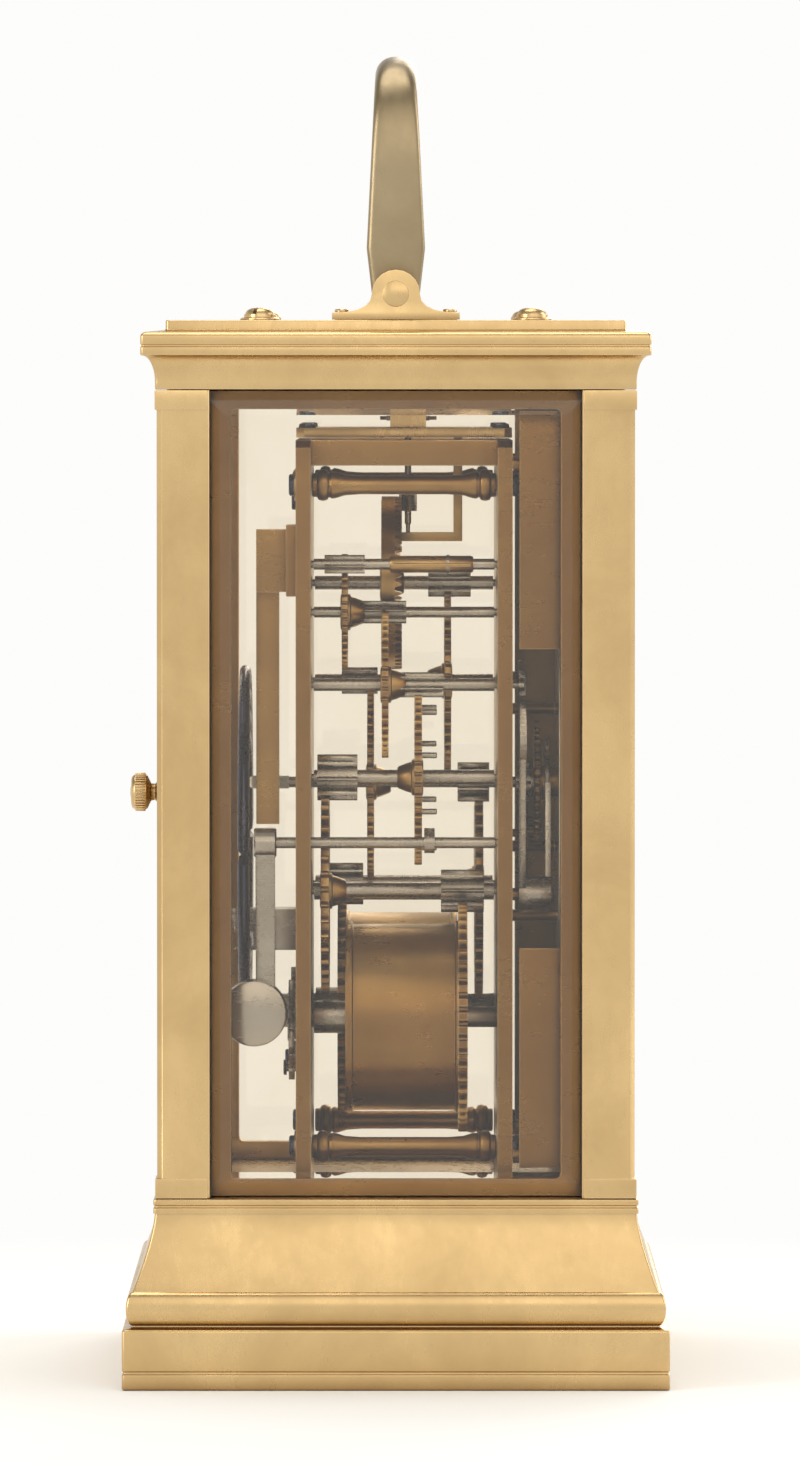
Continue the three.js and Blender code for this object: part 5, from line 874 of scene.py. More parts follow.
# Where each pinion begins and ends between the plates
PINION_SPANS = {
    "going_second_wheel": (4.5, 9.9), "centre_wheel": (-12.7, -8.4), "third_wheel": (2.5, 7.4),
    "contrate_wheel": (-10.2, -4.4), "strike_second_wheel": (-11.9, -6.1), "pin_wheel": (5.2, 10.6),
    "locking_wheel": (-6.4, -0.3), "warning_wheel": (-1.4, 4.4), "fly": (4.2, 9.6),
}
# Radius of the arbors that are thicker than 0.75
SHAFTS = {
    "going_second_wheel": 1.2, "centre_wheel": 1.05, "third_wheel": 0.95, "contrate_wheel": 0.95,
    "strike_second_wheel": 1.2, "pin_wheel": 1.05, "locking_wheel": 0.85,
}


def plane_at(share):
    """The place that lies at that share of the way from the front plate to the back plate."""
    return FRONT_INNER + (BACK_INNER - FRONT_INNER) * share


def mesh_turn(turn, driver_turn, driver_teeth, teeth):
    """The turn that puts a gap of a gear opposite a tooth of the one that drives it."""
    passed = (turn - driver_turn) * driver_teeth / (2 * math.pi)
    return turn + math.pi + (passed - math.floor(passed) + 0.5) * 2 * math.pi / teeth


def arbors():
    """Each arbor's place, wheel and pinion: the wheel as (teeth, module, thickness, plane, turn)."""
    found = {}
    for train, (first, rest) in TRAINS.items():
        x, teeth, module, thick, share = first
        here = {"x": x, "z": BARREL_Z, "wheel": (teeth, module, thick, plane_at(share), 0.0), "pinion": None}
        found[train + "_barrel"] = here
        for name, x, leaves, teeth, module, thick, share in rest:
            drive = here["wheel"]
            apart = drive[1] * (drive[0] + leaves) / 2
            across = x - here["x"]
            up = math.sqrt(apart ** 2 - across ** 2)
            turn = mesh_turn(math.atan2(up, across), drive[4], drive[0], leaves)
            low, high = PINION_SPANS[name]
            pinion = (leaves, drive[1], high - low, (low + high) / 2, turn)
            wheel = (teeth, module, thick, plane_at(share), turn) if teeth else None
            here = {"x": x, "z": here["z"] + up, "wheel": wheel, "pinion": pinion,
                    "shaft": SHAFTS.get(name, 0.75)}
            found[name] = here
    return found


def tooth_form(module, thick, leaf=False, edge=0.05):
    """One tooth lying along X from the pitch circle, with its thickness along Z."""
    if leaf:
        half = [(-1.7, 0.34), (-0.2, 0.5), (0.3, 0.4), (0.55, 0.2), (0.62, 0.0)]
    else:
        half = [(-1.55, 0.74), (-0.9, 0.66), (0.0, 0.62), (0.45, 0.42), (0.75, 0.2), (0.84, 0.0)]
    outline = [(u * module, v * module) for u, v in half]
    outline += [(u * module, -v * module) for u, v in reversed(half[:-1])]
    count = len(outline)
    points, faces = [], []
    for level, inset in ((-thick / 2, 0.08), (-thick / 2 + edge, 0.0), (thick / 2 - edge, 0.0),
                         (thick / 2, 0.08)):
        points += [(u - (inset * module if u > 0 else 0), v * (1 - inset), level) for u, v in outline]
    for start in range(0, 3 * count, count):
        for step in range(count):
            after = (step + 1) % count
            faces.append((start + after, start + step, start + count + step, start + count + after))
    faces.append(tuple(range(count)))
    faces.append(tuple(reversed(range(3 * count, 4 * count))))
    return [(points, faces, "brass")]


def teeth_forms(gear, x, z, look, leaf=False, edge=0.05):
    """All the teeth of a gear, given as (teeth, module, thickness, plane, turn)."""
    teeth, module, thick, plane, turn = gear
    return ring(tooth_form(module, thick, leaf, edge), teeth, teeth * module / 2, turn, look, plane, "y", (x, 0, z))


def windows(inner, outer, spokes, width, turn, steps=14):
    """The openings between the spokes of a wheel, about its centre."""
    found = []
    for spoke in range(spokes):
        start = turn + spoke * 2 * math.pi / spokes
        end = start + 2 * math.pi / spokes
        outer_turn = math.asin(width / 2 / outer)
        inner_turn = math.asin(width / 2 / inner)
        outline = arc(outer, start + outer_turn, end - outer_turn, steps)
        outline += arc(inner, end - inner_turn, start + inner_turn, 5)
        found.append(eased(outline, 0.35, 2, closed=True))
    return found


def moved(outline, x, z):
    return [(u + x, v + z) for u, v in outline]


def toothed_wheel(place, crossed=True):
    """A wheel cut from sheet: its rim and spokes, and its teeth."""
    teeth, module, thick, plane, turn = place["wheel"]
    x, z = place["x"], place["z"]
    pitch = teeth * module / 2
    hub, rim, spokes, spoke = 2.6, 1.7, 4, 1.5
    outlines = [ring_of(pitch - WHEEL_ROOT * module, 96, x, z)]
    if crossed:
        outlines += [moved(each, x, z) for each in windows(hub, pitch - module - rim, spokes, spoke, turn)]
    else:
        outlines.append(ring_of(hub, 32, x, z))
    return [flat(outlines, plane - thick / 2, plane + thick / 2, "brass"), teeth_forms(place["wheel"], x, z, "brass")]


def pinion_forms(place):
    """A steel pinion, its leaves on a round core."""
    leaves, module, thick, plane, _ = place["pinion"]
    core = leaves * module / 2 - LEAF_ROOT * module
    body = lathe(rod(core, -thick / 2, thick / 2), 24, "steel", "y", (place["x"], plane, place["z"]))
    return [body, teeth_forms(place["pinion"], place["x"], place["z"], "steel", leaf=True)]


def arbor_form(place, front=ARBOR_FRONT):
    """A steel arbor with its two pivots in the plates."""
    radius, back = place["shaft"], ARBOR_BACK
    steps = [(0, front), (0.3, front), (0.5, front + 0.2), (0.5, FRONT_INNER + 0.3), (radius, FRONT_INNER + 0.35),
             (radius, BACK_INNER - 0.35), (0.5, BACK_INNER - 0.3), (0.5, back - 0.2), (0.3, back), (0, back)]
    return turned(steps, 20, "steel", place["x"], place["z"])


def collet(place):
    """The turned brass seat that a wheel is riveted to, long on the side away from the nearer plate."""
    _, _, thick, plane, _ = place["wheel"]
    half, radius = thick / 2, 2.45
    steps = [(0.5, -half - 0.2), (radius * 0.8, -half - 0.2), (radius, -half - 0.12), (radius, half + 0.3),
             (radius * 0.86, half + 0.45), (radius * 0.8, half + 1.0), (radius * 0.62, half + 2.1),
             (radius * 0.55, half + 2.3), (0.5, half + 2.3)]
    away = 1 if plane < (FRONT_INNER + BACK_INNER) / 2 else -1
    seat = [(wide, away * level) for wide, level in steps]
    if away < 0:
        seat.reverse()
    return lathe([*seat, seat[0]], 28, "brass", "y", (place["x"], plane, place["z"]))


# Pieces of the case


def make_base():
    """The stepped and coved base, hollow underneath, with a fine line cut round its plinth."""
    cove = [(0.3 + 2.9 * share ** 1.4, 23.2 - 10.2 * share) for share in [step / 12 for step in range(13)]]
    bead = [(3.2 + 0.9 * math.sin(turn), 10.75 + 2.25 * math.cos(turn))
            for turn in [step * math.pi / 10 for step in range(11)]]
    profile = eased([(-9, BASE_TOP), (0.5, BASE_TOP), (0.5, 24.35), (0.32, 24.25), (0.32, 24.0), (0.5, 23.9),
                     (0.5, 23.2)], 0.22, 3)
    profile += cove + bead
    profile += eased([(3.2, 8.5), (3.2, 8.3), (4.6, 8.0), (4.6, 2.6), (4.42, 2.45), (4.42, 2.2), (4.6, 2.05),
                      (4.6, 0.0), (1.6, 0.0), (1.6, 2.6), (-1.5, 2.6), (-1.5, BASE_FLOOR), (-9, BASE_FLOOR)], 0.3, 3)
    half_x, half_y = HALF_X - 8.5, HALF_Y - 8.5
    forms = [moulding(profile, HALF_X, HALF_Y, 0.35),
             beam(-half_x, half_x, -half_y, half_y, BASE_FLOOR, BASE_TOP, "gilt", 0.05)]
    piece("base_moulding", forms, "case", ["base"])


def make_cornice():
    """The cornice: a coved moulding and a flat top with an opening for the top glass."""
    cove = [(1.9 - 1.7 * math.cos(turn), 133.7 + 3.5 * math.sin(turn))
            for turn in [step * math.pi / 2 / 10 for step in range(11)]]
    profile = eased([(-7.2, 138.4), (-7.2, CORNICE_FOOT), (0.2, CORNICE_FOOT), (0.2, 133.7)], 0.15, 2) + cove
    profile += eased([(1.9, 137.2), (2.1, 137.25), (2.1, 138.3), (1.95, 138.4), (1.95, 138.6), (2.1, 138.7),
                      (2.1, 139.9), (1.7, 140.3), (-1.2, 140.6), (-1.2, CORNICE_TOP), (-15.7, CORNICE_TOP),
                      (-15.7, 139.8), (-17.2, 139.8), (-17.2, 138.4), (-7.2, 138.4)], 0.22, 3)
    piece("cornice_moulding", [moulding(profile, HALF_X, HALF_Y, 0.4)], "case", ["cornice"])
    points = [(x, y, CORNICE_TOP - 0.02) for x in (-33.2, 33.2) for y in (-18.1, 18.1)]
    dome = sizes().dome_radius / MM
    heads = screws(points, (0, 0, 1), dome, 1.7, "gilt", domed=True)
    rims = [lathe([(0, 0), (dome * 1.25, 0), (dome * 1.25, 0.25), (dome * 1.05, 0.4), (0, 0.4)], 28, "gilt", "z",
                  point, ease=0.08) for point in points]
    piece("cornice_screws", [heads, *rims], "case")


def make_pillars():
    """The four corner pillars, the side panes' brass frames, which stand for shade inside the pillars, and the plate
    under the base.
    """
    width = sizes().case_edge / MM
    for name in ("front_left", "front_right", "back_left", "back_right"):
        node = "pillar_" + name
        piece("corner_" + node, [softened(node, "gilt", width)], "case", [node], 40)
    # Brass frames that hold the side panes, and are also a sheet put for the shade on the pillars' inner faces.
    around = oblong(24.76, BASE_TOP, CORNICE_FOOT, 0.4, 3)
    within = oblong(21.9, 27.7, 129.9, 0.8, 3)
    shade_strips = [flat([around, within], low, low + 1.5, "brass", across="yz", edge=0.3) for low in (-33.05, 31.55)]
    piece("side_pane_strips", shade_strips, "case")
    plate = softened("base_plate", "brass", 0.15)
    points = [(x, y, 0.42) for x in (-30.05, 30.05) for y in (-24.05, 24.05)]
    heads = screws(points, (0, 0, -1), 1.7, 0.3, "steel")
    above_floor = [(x, y, max(z, 0.02)) for x, y, z in heads[0]]
    piece("bottom_plate", [plate, (above_floor, *heads[1:])], "case", ["base_plate"], smooth=40)


def handle_section(share, straight):
    """One section of the handle's arm: its inner and outer points, half width and squareness."""
    inside, outside, end = 28.5, 31.2, 17.2
    foot, knee, bend = 142.25, 151.5, 162.65
    eye, wide = 3.2, 3.9
    if straight:
        z = foot + (bend - foot) * share
        inner, outer = (inside, z), (outside, z)
    else:
        near, far = (1 - share) ** 2, share ** 2
        between = 2 * share * (1 - share)
        outer = (near * outside + between * outside + far * end, near * bend + between * 177.4 + far * 177.4)
        inner = (near * inside + between * inside + far * end, near * bend + between * 171.9 + far * 171.9)
        z = (inner[1] + outer[1]) / 2
    if z < HANDLE_PIVOT_Z:
        half = math.sqrt(max(0.05, eye ** 2 - (HANDLE_PIVOT_Z - z) ** 2))
    elif z < knee:
        half = eye + (wide - eye) * (z - HANDLE_PIVOT_Z) / (knee - HANDLE_PIVOT_Z)
    else:
        half = wide - 1.15 * min(1.0, (z - knee) / (GRIP_Z - knee))
    return inner, outer, half, 5.0 - (0 if straight else 3.0 * share)


def handle_arm(side):
    """One arm of the handle, its sections run into one skin."""
    sections = [handle_section(step / 22, True) for step in range(22)]
    sections += [handle_section(step / 16, False) for step in range(17)]
    points, around = [], 28
    for inner, outer, half, square in sections:
        middle = Vector(((inner[0] + outer[0]) / 2, (inner[1] + outer[1]) / 2))
        reach = (Vector(outer) - Vector(inner)) / 2
        for step in range(around):
            turn = step * 2 * math.pi / around
            across = math.copysign(abs(math.cos(turn)) ** (2 / square), math.cos(turn))
            along = math.copysign(abs(math.sin(turn)) ** (2 / square), math.sin(turn))
            at = middle + reach * across
            points.append((side * at.x, half * along, at.y))
    return (points, skin(points, around), "handled")


def make_handle():
    """The swing handle: two arms that broaden at the knee, and a turned grip between them."""
    grip = []
    for step in range(41):
        share = -1 + step / 20
        x = share * 13.6
        grip.append((1.95 + 0.72 * math.cos(share * math.pi / 2) ** 1.4, x))
    ring_steps = [(1.7, 13.7), (2.3, 13.8), (2.62, 14.2), (2.3, 14.6), (1.9, 14.7), (1.9, 15.1), (2.4, 15.2),
                  (2.7, 15.6), (2.7, 16.6), (2.4, 17.0), (2.0, 17.1), (2.0, 18.4)]
    left = [(wide, -at) for wide, at in reversed(ring_steps)]
    steps = [(0, -18.4), *left, *grip, *ring_steps, (0, 18.4)]
    forms = [lathe(steps, 32, "handled", "x", (0, 0, GRIP_Z)), handle_arm(1), handle_arm(-1)]
    piece("carrying_handle", forms, "handle", ["handle"], 38)
    for side, name in ((-1, "left"), (1, "right")):
        node = "handle_post_" + name
        dome = [(0, 0), (1.75, 0), (1.7, 0.12), (1.2, 0.3), (0.5, 0.38), (0, 0.4)]
        cap = lathe([(wide, side * (35.1 + rise)) for wide, rise in dome], 28, "gilt", "x",
                    (0, 0, HANDLE_PIVOT_Z))
        toes = screws([(side * 33.35, y, 142.98) for y in (-7.2, 7.2)], (0, 0, 1), 0.95, 0.4, "gilt")
        piece("hinge_" + node, [softened(node, "gilt", 0.12), cap, toes], "case", [node], 40)


def make_door():
    """The back door's frame with its moulded lip, and a milled knob."""
    frame_form = softened("back_door_frame", "gilt", 0.2)
    lip = moulding(eased([(0, 31.15), (0.55, 31.15), (0.7, 31.32), (0.55, 31.45), (0, 31.45)], 0.1, 2),
                   25.45, 49.9, 0.3)
    upright = [(x, z, y + DOOR_MIDDLE_Z) for x, y, z in lip[0]]
    piece("door_frame", [frame_form, (upright, *lip[1:])], "back_door", ["back_door_frame"], 40)
    foot = 31.3
    profile = [(0, foot), (1.5, foot), (1.5, foot + 0.5), (1.1, foot + 0.9), (1.15, foot + 1.4),
               (2.2, foot + 1.9), (2.35, foot + 2.1), (2.35, foot + 3.6), (2.1, foot + 3.95), (1.6, foot + 4.1),
               (1.5, foot + 4.0), (0.5, foot + 4.2), (0, foot + 4.2)]
    centre = (-27.95, 0, DOOR_MIDDLE_Z)
    milled = ring(tooth_form(0.26, 1.35, leaf=True), 36, 2.4, 0.0, "gilt", foot + 2.85, "y", centre)
    piece("door_knob", [lathe(profile, 36, "gilt", "y", centre, 0.08), milled], "back_door", ["back_door_knob"])


# Pieces of the dial and motion work

STROKES = {"I": 0.30, "V": 0.62, "X": 0.66}


def stroke_forms(letter, start):
    """The strokes of one numeral letter, as outlines one unit high from a start along the baseline."""
    wide, thin, foot = 0.13, 0.045, 0.05
    if letter == "I":
        mid = start + STROKES["I"] / 2
        return [[(mid - wide / 2, 0), (mid + wide / 2, 0), (mid + wide / 2, 1), (mid - wide / 2, 1)],
                [(start + 0.02, 0), (start + 0.28, 0), (start + 0.28, foot), (start + 0.02, foot)],
                [(start + 0.02, 1 - foot), (start + 0.28, 1 - foot), (start + 0.28, 1), (start + 0.02, 1)]]
    if letter == "V":
        tip = start + 0.33
        return [[(start + 0.08, 1), (start + 0.08 + wide, 1), (tip + thin, 0), (tip - thin, 0)],
                [(start + 0.5, 1), (start + 0.5 + thin, 1), (tip + thin * 0.8, 0), (tip, 0)],
                [(start, 1 - foot), (start + 0.29, 1 - foot), (start + 0.29, 1), (start, 1)],
                [(start + 0.4, 1 - foot), (start + 0.62, 1 - foot), (start + 0.62, 1), (start + 0.4, 1)]]
    return [[(start + 0.06, 1), (start + 0.06 + wide * 1.1, 1), (start + 0.6, 0), (start + 0.6 - wide * 1.1, 0)],
            [(start + 0.5, 1), (start + 0.5 + thin, 1), (start + 0.14, 0), (start + 0.14 - thin, 0)],
            [(start, 1 - foot), (start + 0.28, 1 - foot), (start + 0.28, 1), (start, 1)],
            [(start + 0.4, 1 - foot), (start + 0.64, 1 - foot), (start + 0.64, 1), (start + 0.4, 1)],
            [(start, 0), (start + 0.24, 0), (start + 0.24, foot), (start, foot)],
            [(start + 0.38, 0), (start + 0.66, 0), (start + 0.66, foot), (start + 0.38, foot)]]


def numeral_forms(hour, foot_radius, height):
    """One hour's numeral, its foot towards the middle of the dial."""
    text = ("I", "II", "III", "IIII", "V", "VI", "VII", "VIII", "IX", "X", "XI", "XII")[hour - 1]
    total = sum(STROKES[letter] for letter in text)
    turn, narrowed = hour * math.pi / 6, 0.8
    start, forms = -total / 2, []
    for letter in text:
        for outline in stroke_forms(letter, start):
            points = []
            for level in PAINT_LEVELS:
                for u, v in outline:
                    across, out = u * height * narrowed, foot_radius + v * height
                    points.append((out * math.sin(turn) + across * math.cos(turn), level,
                                   CENTRE_Z + out * math.cos(turn) - across * math.sin(turn)))
            faces = [(0, 1, 2, 3), (7, 6, 5, 4)] + [(step, step + 4, (step + 1) % 4 + 4, (step + 1) % 4)
                                                   for step in range(4)]
            forms.append((points, faces, "numeral"))
        start += STROKES[letter]
    return forms


def minute_marks(count, half_across, thick):
    """Painted marks round the minute ring, all of one width."""
    points = [(sx * 0.92, sy * half_across, sz * thick / 2)
              for sz in (-1, 1) for sx, sy in ((-1, -1), (1, -1), (1, 1), (-1, 1))]
    return ring([(points, skin(points, 4), "numeral")], count, 20.63, math.pi / 2, "numeral", DIAL_FACE - 0.01,
                "y", (0, 0, CENTRE_Z))


def make_dial():
    """The enamel dial with its hour numerals and minute ring, and the gilt mask round it."""
    face = DIAL_FACE
    disc = turned([(2.4, face + 1.1), (23.95, face + 1.1), (23.95, face + 0.15), (23.7, face), (2.6, face),
                   (2.4, face + 0.1), (2.4, face + 1.1)], 144, "enamel", 0, CENTRE_Z)
    height = sizes().numeral_height / MM
    marks = []
    for hour in range(1, 13):
        marks += numeral_forms(hour, 14.6, height)
    for inner in (19.6, 21.55):
        marks.append(turned(band(inner, inner + 0.12, *PAINT_LEVELS), 144, "numeral", 0, CENTRE_Z))
    marks += [minute_marks(60, 0.06, 0.04), minute_marks(12, 0.17, 0.05)]
    feet = [turned(rod(0.8, face + 0.9, -15.7), 16, "brass", *polar(19, turn, 0, CENTRE_Z))
            for turn in (math.pi / 6, -math.pi / 6, -math.pi * 11 / 18)]
    piece("enamel_dial", [disc, *feet, *marks], "case", ["dial"])
    half, foot, head, front = 28.5, 26.9, 130.9, -24.2
    plate = flat([oblong(half, foot, head, 1.5, 5), ring_of(23.0, 144, 0, CENTRE_Z)], front, -23.3, "gilt", edge=0.1)
    bezel = turned([(22.9, -23.6), (24.0, -23.9), (24.0, -24.35), (23.6, -24.5), (23.0, -24.3), (22.7, -23.9),
                    (22.9, -23.6)], 144, "gilt", 0, CENTRE_Z)
    line = border_line(half - 2.4, (head - foot) / 2 - 2.4, 0.25, front, (foot + head) / 2)
    posts = [turned(rod(1.1, -23.4, -15.7), 20, "brass", x, z) for x in (-25.3, 25.3) for z in (30.1, 122.7)]
    heads = screws([(x, front + 0.01, z) for x in (-25.3, 25.3) for z in (30.1, 127.2)], (0, -1, 0), 1.15, 0.4,
                   "blued")
    # Brass flanges turned back from the mask's sides: part of the mask, and also a sheet for the shade on the pillars'
    # inner faces.
    edges = [beam(x - 0.3, x + 0.3, -23.4, -16.5, low, high, "brass", 0.1)
             for x, low, high in ((-28.1, 28.6, 58.0), (-28.1, 98.0, 129.2), (28.1, 28.6, 129.2))]
    piece("dial_surround", [plate, bezel, line, *posts, *edges, heads], "case", ["dial_mask"])


def border_line(half_x, half_z, wide, face, middle):
    """A fine raised line round the mask."""
    lip = moulding([(0, 0.01), (wide, 0.01), (wide * 0.8, -0.12), (wide * 0.2, -0.12)], half_x, half_z, 1.0)
    return ([(x, face + z, y + middle) for x, y, z in lip[0]], *lip[1:])


def hand_forms(reach, bore, face, degrees):
    """A blued hand: a tapered stem, an open ring and a fine point, with a domed boss."""
    turn = math.radians(degrees)
    ring_at, wide, stem = reach * 0.64, 1.892, 0.66
    outer = [(-stem * 0.9, -4.6), (-stem * 0.5, -4.95), (stem * 0.5, -4.95), (stem * 0.9, -4.6),
             (stem * 0.62, -bore - 1.2)]
    outer += arc(bore + 1.15, -math.pi * 0.38, math.pi * 0.38, 12)
    outer += [(stem * 0.62, bore + 1.3), (stem * 0.45, ring_at - wide * 1.1)]
    outer += arc(wide, -math.pi * 0.4, math.pi * 0.4, 16, 0, ring_at)
    outer += [(stem * 0.8, ring_at + wide * 1.02), (stem * 0.55, ring_at + wide * 1.5), (0.09, reach),
              (-0.09, reach), (-stem * 0.55, ring_at + wide * 1.5), (-stem * 0.8, ring_at + wide * 1.02)]
    outer += arc(wide, math.pi * 0.6, math.pi * 1.4, 16, 0, ring_at)
    outer += [(-stem * 0.45, ring_at - wide * 1.1), (-stem * 0.62, bore + 1.3)]
    outer += arc(bore + 1.15, math.pi * 0.62, math.pi * 1.38, 12)
    outer += [(-stem * 0.62, -bore - 1.2)]
    outlines = [[(u * math.cos(turn) + v * math.sin(turn), v * math.cos(turn) - u * math.sin(turn) + CENTRE_Z)
                 for u, v in outline]
                for outline in (outer, ring_of(bore, 24), ring_of(wide * 0.62, 24, 0, ring_at + 0.1))]
    blade = flat(outlines, face, face + 0.4, "blued", edge=0.09)
    boss = turned([(bore, face + 0.2), (bore + 0.9, face + 0.2), (bore + 0.8, face - 0.02),
                   (bore + 0.45, face - 0.1), (bore, face - 0.1), (bore, face + 0.2)], 32, "blued", 0, CENTRE_Z)
    return [blade, boss]


def make_hands():
    """The blued hour and minute hands and the collet that holds them."""
    hours, minutes = 10, 8
    piece("hour_pointer", hand_forms(13.6, 2.3, -25.0, (hours + minutes / 60) * 30), "hour_work", ["hour_hand"])
    face = -25.9
    cap = turned([(0.8, face + 0.05), (1.5, face + 0.02), (1.45, face - 0.2), (1.1, face - 0.38),
                  (0.8, face - 0.38), (0.8, face + 0.05)], 32, "brass", 0, CENTRE_Z)
    piece("minute_pointer", [*hand_forms(20.4, 1.7, face, minutes * 6), cap], "centre", ["minute_hand"])


def make_motion_work():
    """The wheels behind the dial that turn the hour hand at a twelfth of the minute hand's speed."""
    stud_turn, module = -0.8027, 0.42
    distance = module * (12 + 36) / 2
    hour_module = 2 * distance / (10 + 40)
    minute_turn = mesh_turn(stud_turn, 0.0, 12, 36)
    hour_turn = mesh_turn(stud_turn + math.pi, minute_turn, 10, 40)
    x, z = polar(distance, stud_turn, 0, CENTRE_Z)
    level, bore = FRONT_FACE - 1.8, 1.05
    core = turned([(bore, -17.0), (2.0, -17.0), (2.0, -18.2), (1.6, -18.4), (1.6, -25.85), (bore, -25.85),
                   (bore, -17.0)], 32, "steel", 0, CENTRE_Z)
    leaves = teeth_forms((12, module, 2.0, level, 0.0), 0, CENTRE_Z, "steel", leaf=True)
    body = turned(band(bore, 2.1, -16.4, -18.4), 32, "steel", 0, CENTRE_Z)
    piece("cannon_pinion_cut", [core, body, leaves], "centre", ["cannon_pinion"])
    wheel = toothed_wheel({"x": x, "z": z, "wheel": (36, module, 1.0, level, minute_turn)})
    small = teeth_forms((10, hour_module, 2.4, FRONT_FACE - 3.2, minute_turn), x, z, "brass", leaf=True)
    hub = turned([(0.9, -17.1), (2.7, -17.1), (2.7, -17.9), (1.55, -18.0), (1.55, -20.0), (0.9, -20.0),
                  (0.9, -17.1)], 28, "brass", x, z)
    piece("minute_work_wheel", [*wheel, small, hub], "minute_work", ["minute_wheel"])
    hour = {"x": 0.0, "z": CENTRE_Z, "wheel": (40, hour_module, 0.8, FRONT_FACE - 3.6, hour_turn)}
    snail = []
    for step in range(12):
        snail += arc(6.5 - step * 0.28, step * math.pi / 6, (step + 1) * math.pi / 6 - 0.02, 4, 0, CENTRE_Z)
    cam = flat([snail, ring_of(2.0, 32, 0, CENTRE_Z)], FRONT_FACE - 5.3, FRONT_FACE - 4.6, "steel", edge=0.04)
    pipe = turned([(1.9, -18.9), (2.9, -18.9), (2.9, -19.7), (2.45, -19.8), (2.45, -20.3), (2.15, -20.4),
                   (2.15, -24.9), (1.9, -24.9), (1.9, -18.9)], 32, "brass", 0, CENTRE_Z)
    piece("hour_work_wheel", [*toothed_wheel(hour, crossed=False), cam, pipe], "hour_work", ["hour_wheel"])


def make_striking_work():
    """The rack that counts the hours, its hook, and the caps that hold them on their studs."""
    for node, name in (("rack", "striking_rack"), ("rack_hook", "striking_rack_hook")):
        piece(name, [softened(node, "steel", 0.06)], node, [node], 40)
    caps = []
    for stud, face in ((RACK_STUD, -20.9), (HOOK_STUD, -17.5)):
        caps.append(turned([(0, face + 0.02), (0.88, face + 0.02), (0.88, face - 0.12), (0.7, face - 0.3),
                            (0, face - 0.3)], 20, "steel", *stud))
    piece("lever_stud_caps", caps, "case")


# Pieces of the movement's frame


def make_plates():
    """The two movement plates with their screws and polished sinks round the pivots."""
    front = [softened("front_plate", "brass", 0.12)]
    back = [softened("back_plate", "brass", 0.12)]
    for place in arbors().values():
        wide = 2.6 if place["pinion"] is None else 1.3
        front.append(sink(place["x"], FRONT_FACE, place["z"], wide, -1))
        back.append(sink(place["x"], BACK_FACE, place["z"], wide, 1))
    radius = sizes().screw_radius / MM
    corners = [(x, z) for x in (-PILLAR_X, PILLAR_X) for z in PILLAR_LEVELS]
    front.append(screws([(x, FRONT_FACE + 0.01, z) for x, z in corners], (0, -1, 0), radius, 0.95, "blued"))
    back.append(screws([(x, BACK_FACE - 0.01, z) for x, z in corners], (0, 1, 0), radius, 0.95, "blued"))
    for x, z in corners:
        back.append(turned([(radius * 0.9, BACK_FACE - 0.02), (radius * 1.45, BACK_FACE - 0.02),
                            (radius * 1.4, BACK_FACE + 0.2), (radius * 0.9, BACK_FACE + 0.25),
                            (radius * 0.9, BACK_FACE - 0.02)], 28, "brass", x, z))
    back.append(screws([(x, BACK_FACE - 0.01, 117.5) for x in (-12.0, 12.0)], (0, 1, 0), 1.1, 0.7, "blued"))
    piece("front_movement_plate", front, "case", ["front_plate"], smooth=40)
    piece("back_movement_plate", back, "case", ["back_plate"], smooth=40)


def make_movement_pillars():
    """The four turned pillars that hold the plates apart."""
    low, high = FRONT_INNER + 0.15, BACK_INNER - 0.15
    half = [(0, low), (1.3, low), (1.6, low + 0.1), (1.6, low + 0.7), (2.0, low + 0.9), (2.15, low + 1.5),
            (2.0, low + 2.1), (1.6, low + 2.3), (1.85, low + 2.7), (1.75, low + 3.3), (1.4, low + 4.4),
            (1.25, low + 6.5)]
    steps = half + [(wide, low + high - at) for wide, at in reversed(half)]
    for side, x in (("left", -PILLAR_X), ("right", PILLAR_X)):
        for level, z in zip(("lower", "upper"), PILLAR_LEVELS):
            node = f"movement_pillar_{level}_{side}"
            piece("turned_" + node, [turned(steps, 36, "brass", x, z, 0.12)], "case", [node])


# Pieces that turn


def barrel_forms(place, low, high):
    """A spring barrel: a drum with raised rims and a cap let into each end, and its great wheel."""
    bore, wide = 2.55, 13.0
    steps = [(bore, low), (4.3, low), (4.5, low + 0.22), (11.2, low + 0.22), (11.4, low), (wide, low),
             (wide, low + 0.9), (wide - 0.45, low + 1.05), (wide - 0.45, high - 1.05), (wide, high - 0.9),
             (wide, high), (11.4, high), (11.2, high - 0.22), (4.5, high - 0.22), (4.3, high), (bore, high)]
    x, z = place["x"], place["z"]
    drum = turned([*eased(steps, 0.14, 2), steps[0]], 112, "brass", x, z)
    teeth, module, thick, plane, _ = place["wheel"]
    root = teeth * module / 2 - WHEEL_ROOT * module
    rim = turned(band(bore, root, plane - thick / 2, plane + thick / 2), 112, "brass", x, z)
    return [drum, rim, teeth_forms(place["wheel"], x, z, "brass", edge=0.1)]


def ratchet_forms(x, z):
    """A ratchet wheel with its square hole and the raised ring round it."""
    points, teeth = [], 20
    for tooth in range(teeth):
        for share, radius in ((0.0, 4.1), (0.35, 4.45), (0.6, 4.72), (0.85, 5.0), (0.9, 4.9)):
            points.append(polar(radius, (tooth + share) * 2 * math.pi / teeth, x, z))
    hole = [polar(2.15, (corner + 0.5) * math.pi / 2, x, z) for corner in range(4)]
    return [flat([points, hole], 13.72, 14.48, "steel", edge=0.05),
            turned([(2.5, 14.45), (3.3, 14.45), (3.2, 14.62), (2.6, 14.62), (2.5, 14.45)], 40, "steel", x, z)]


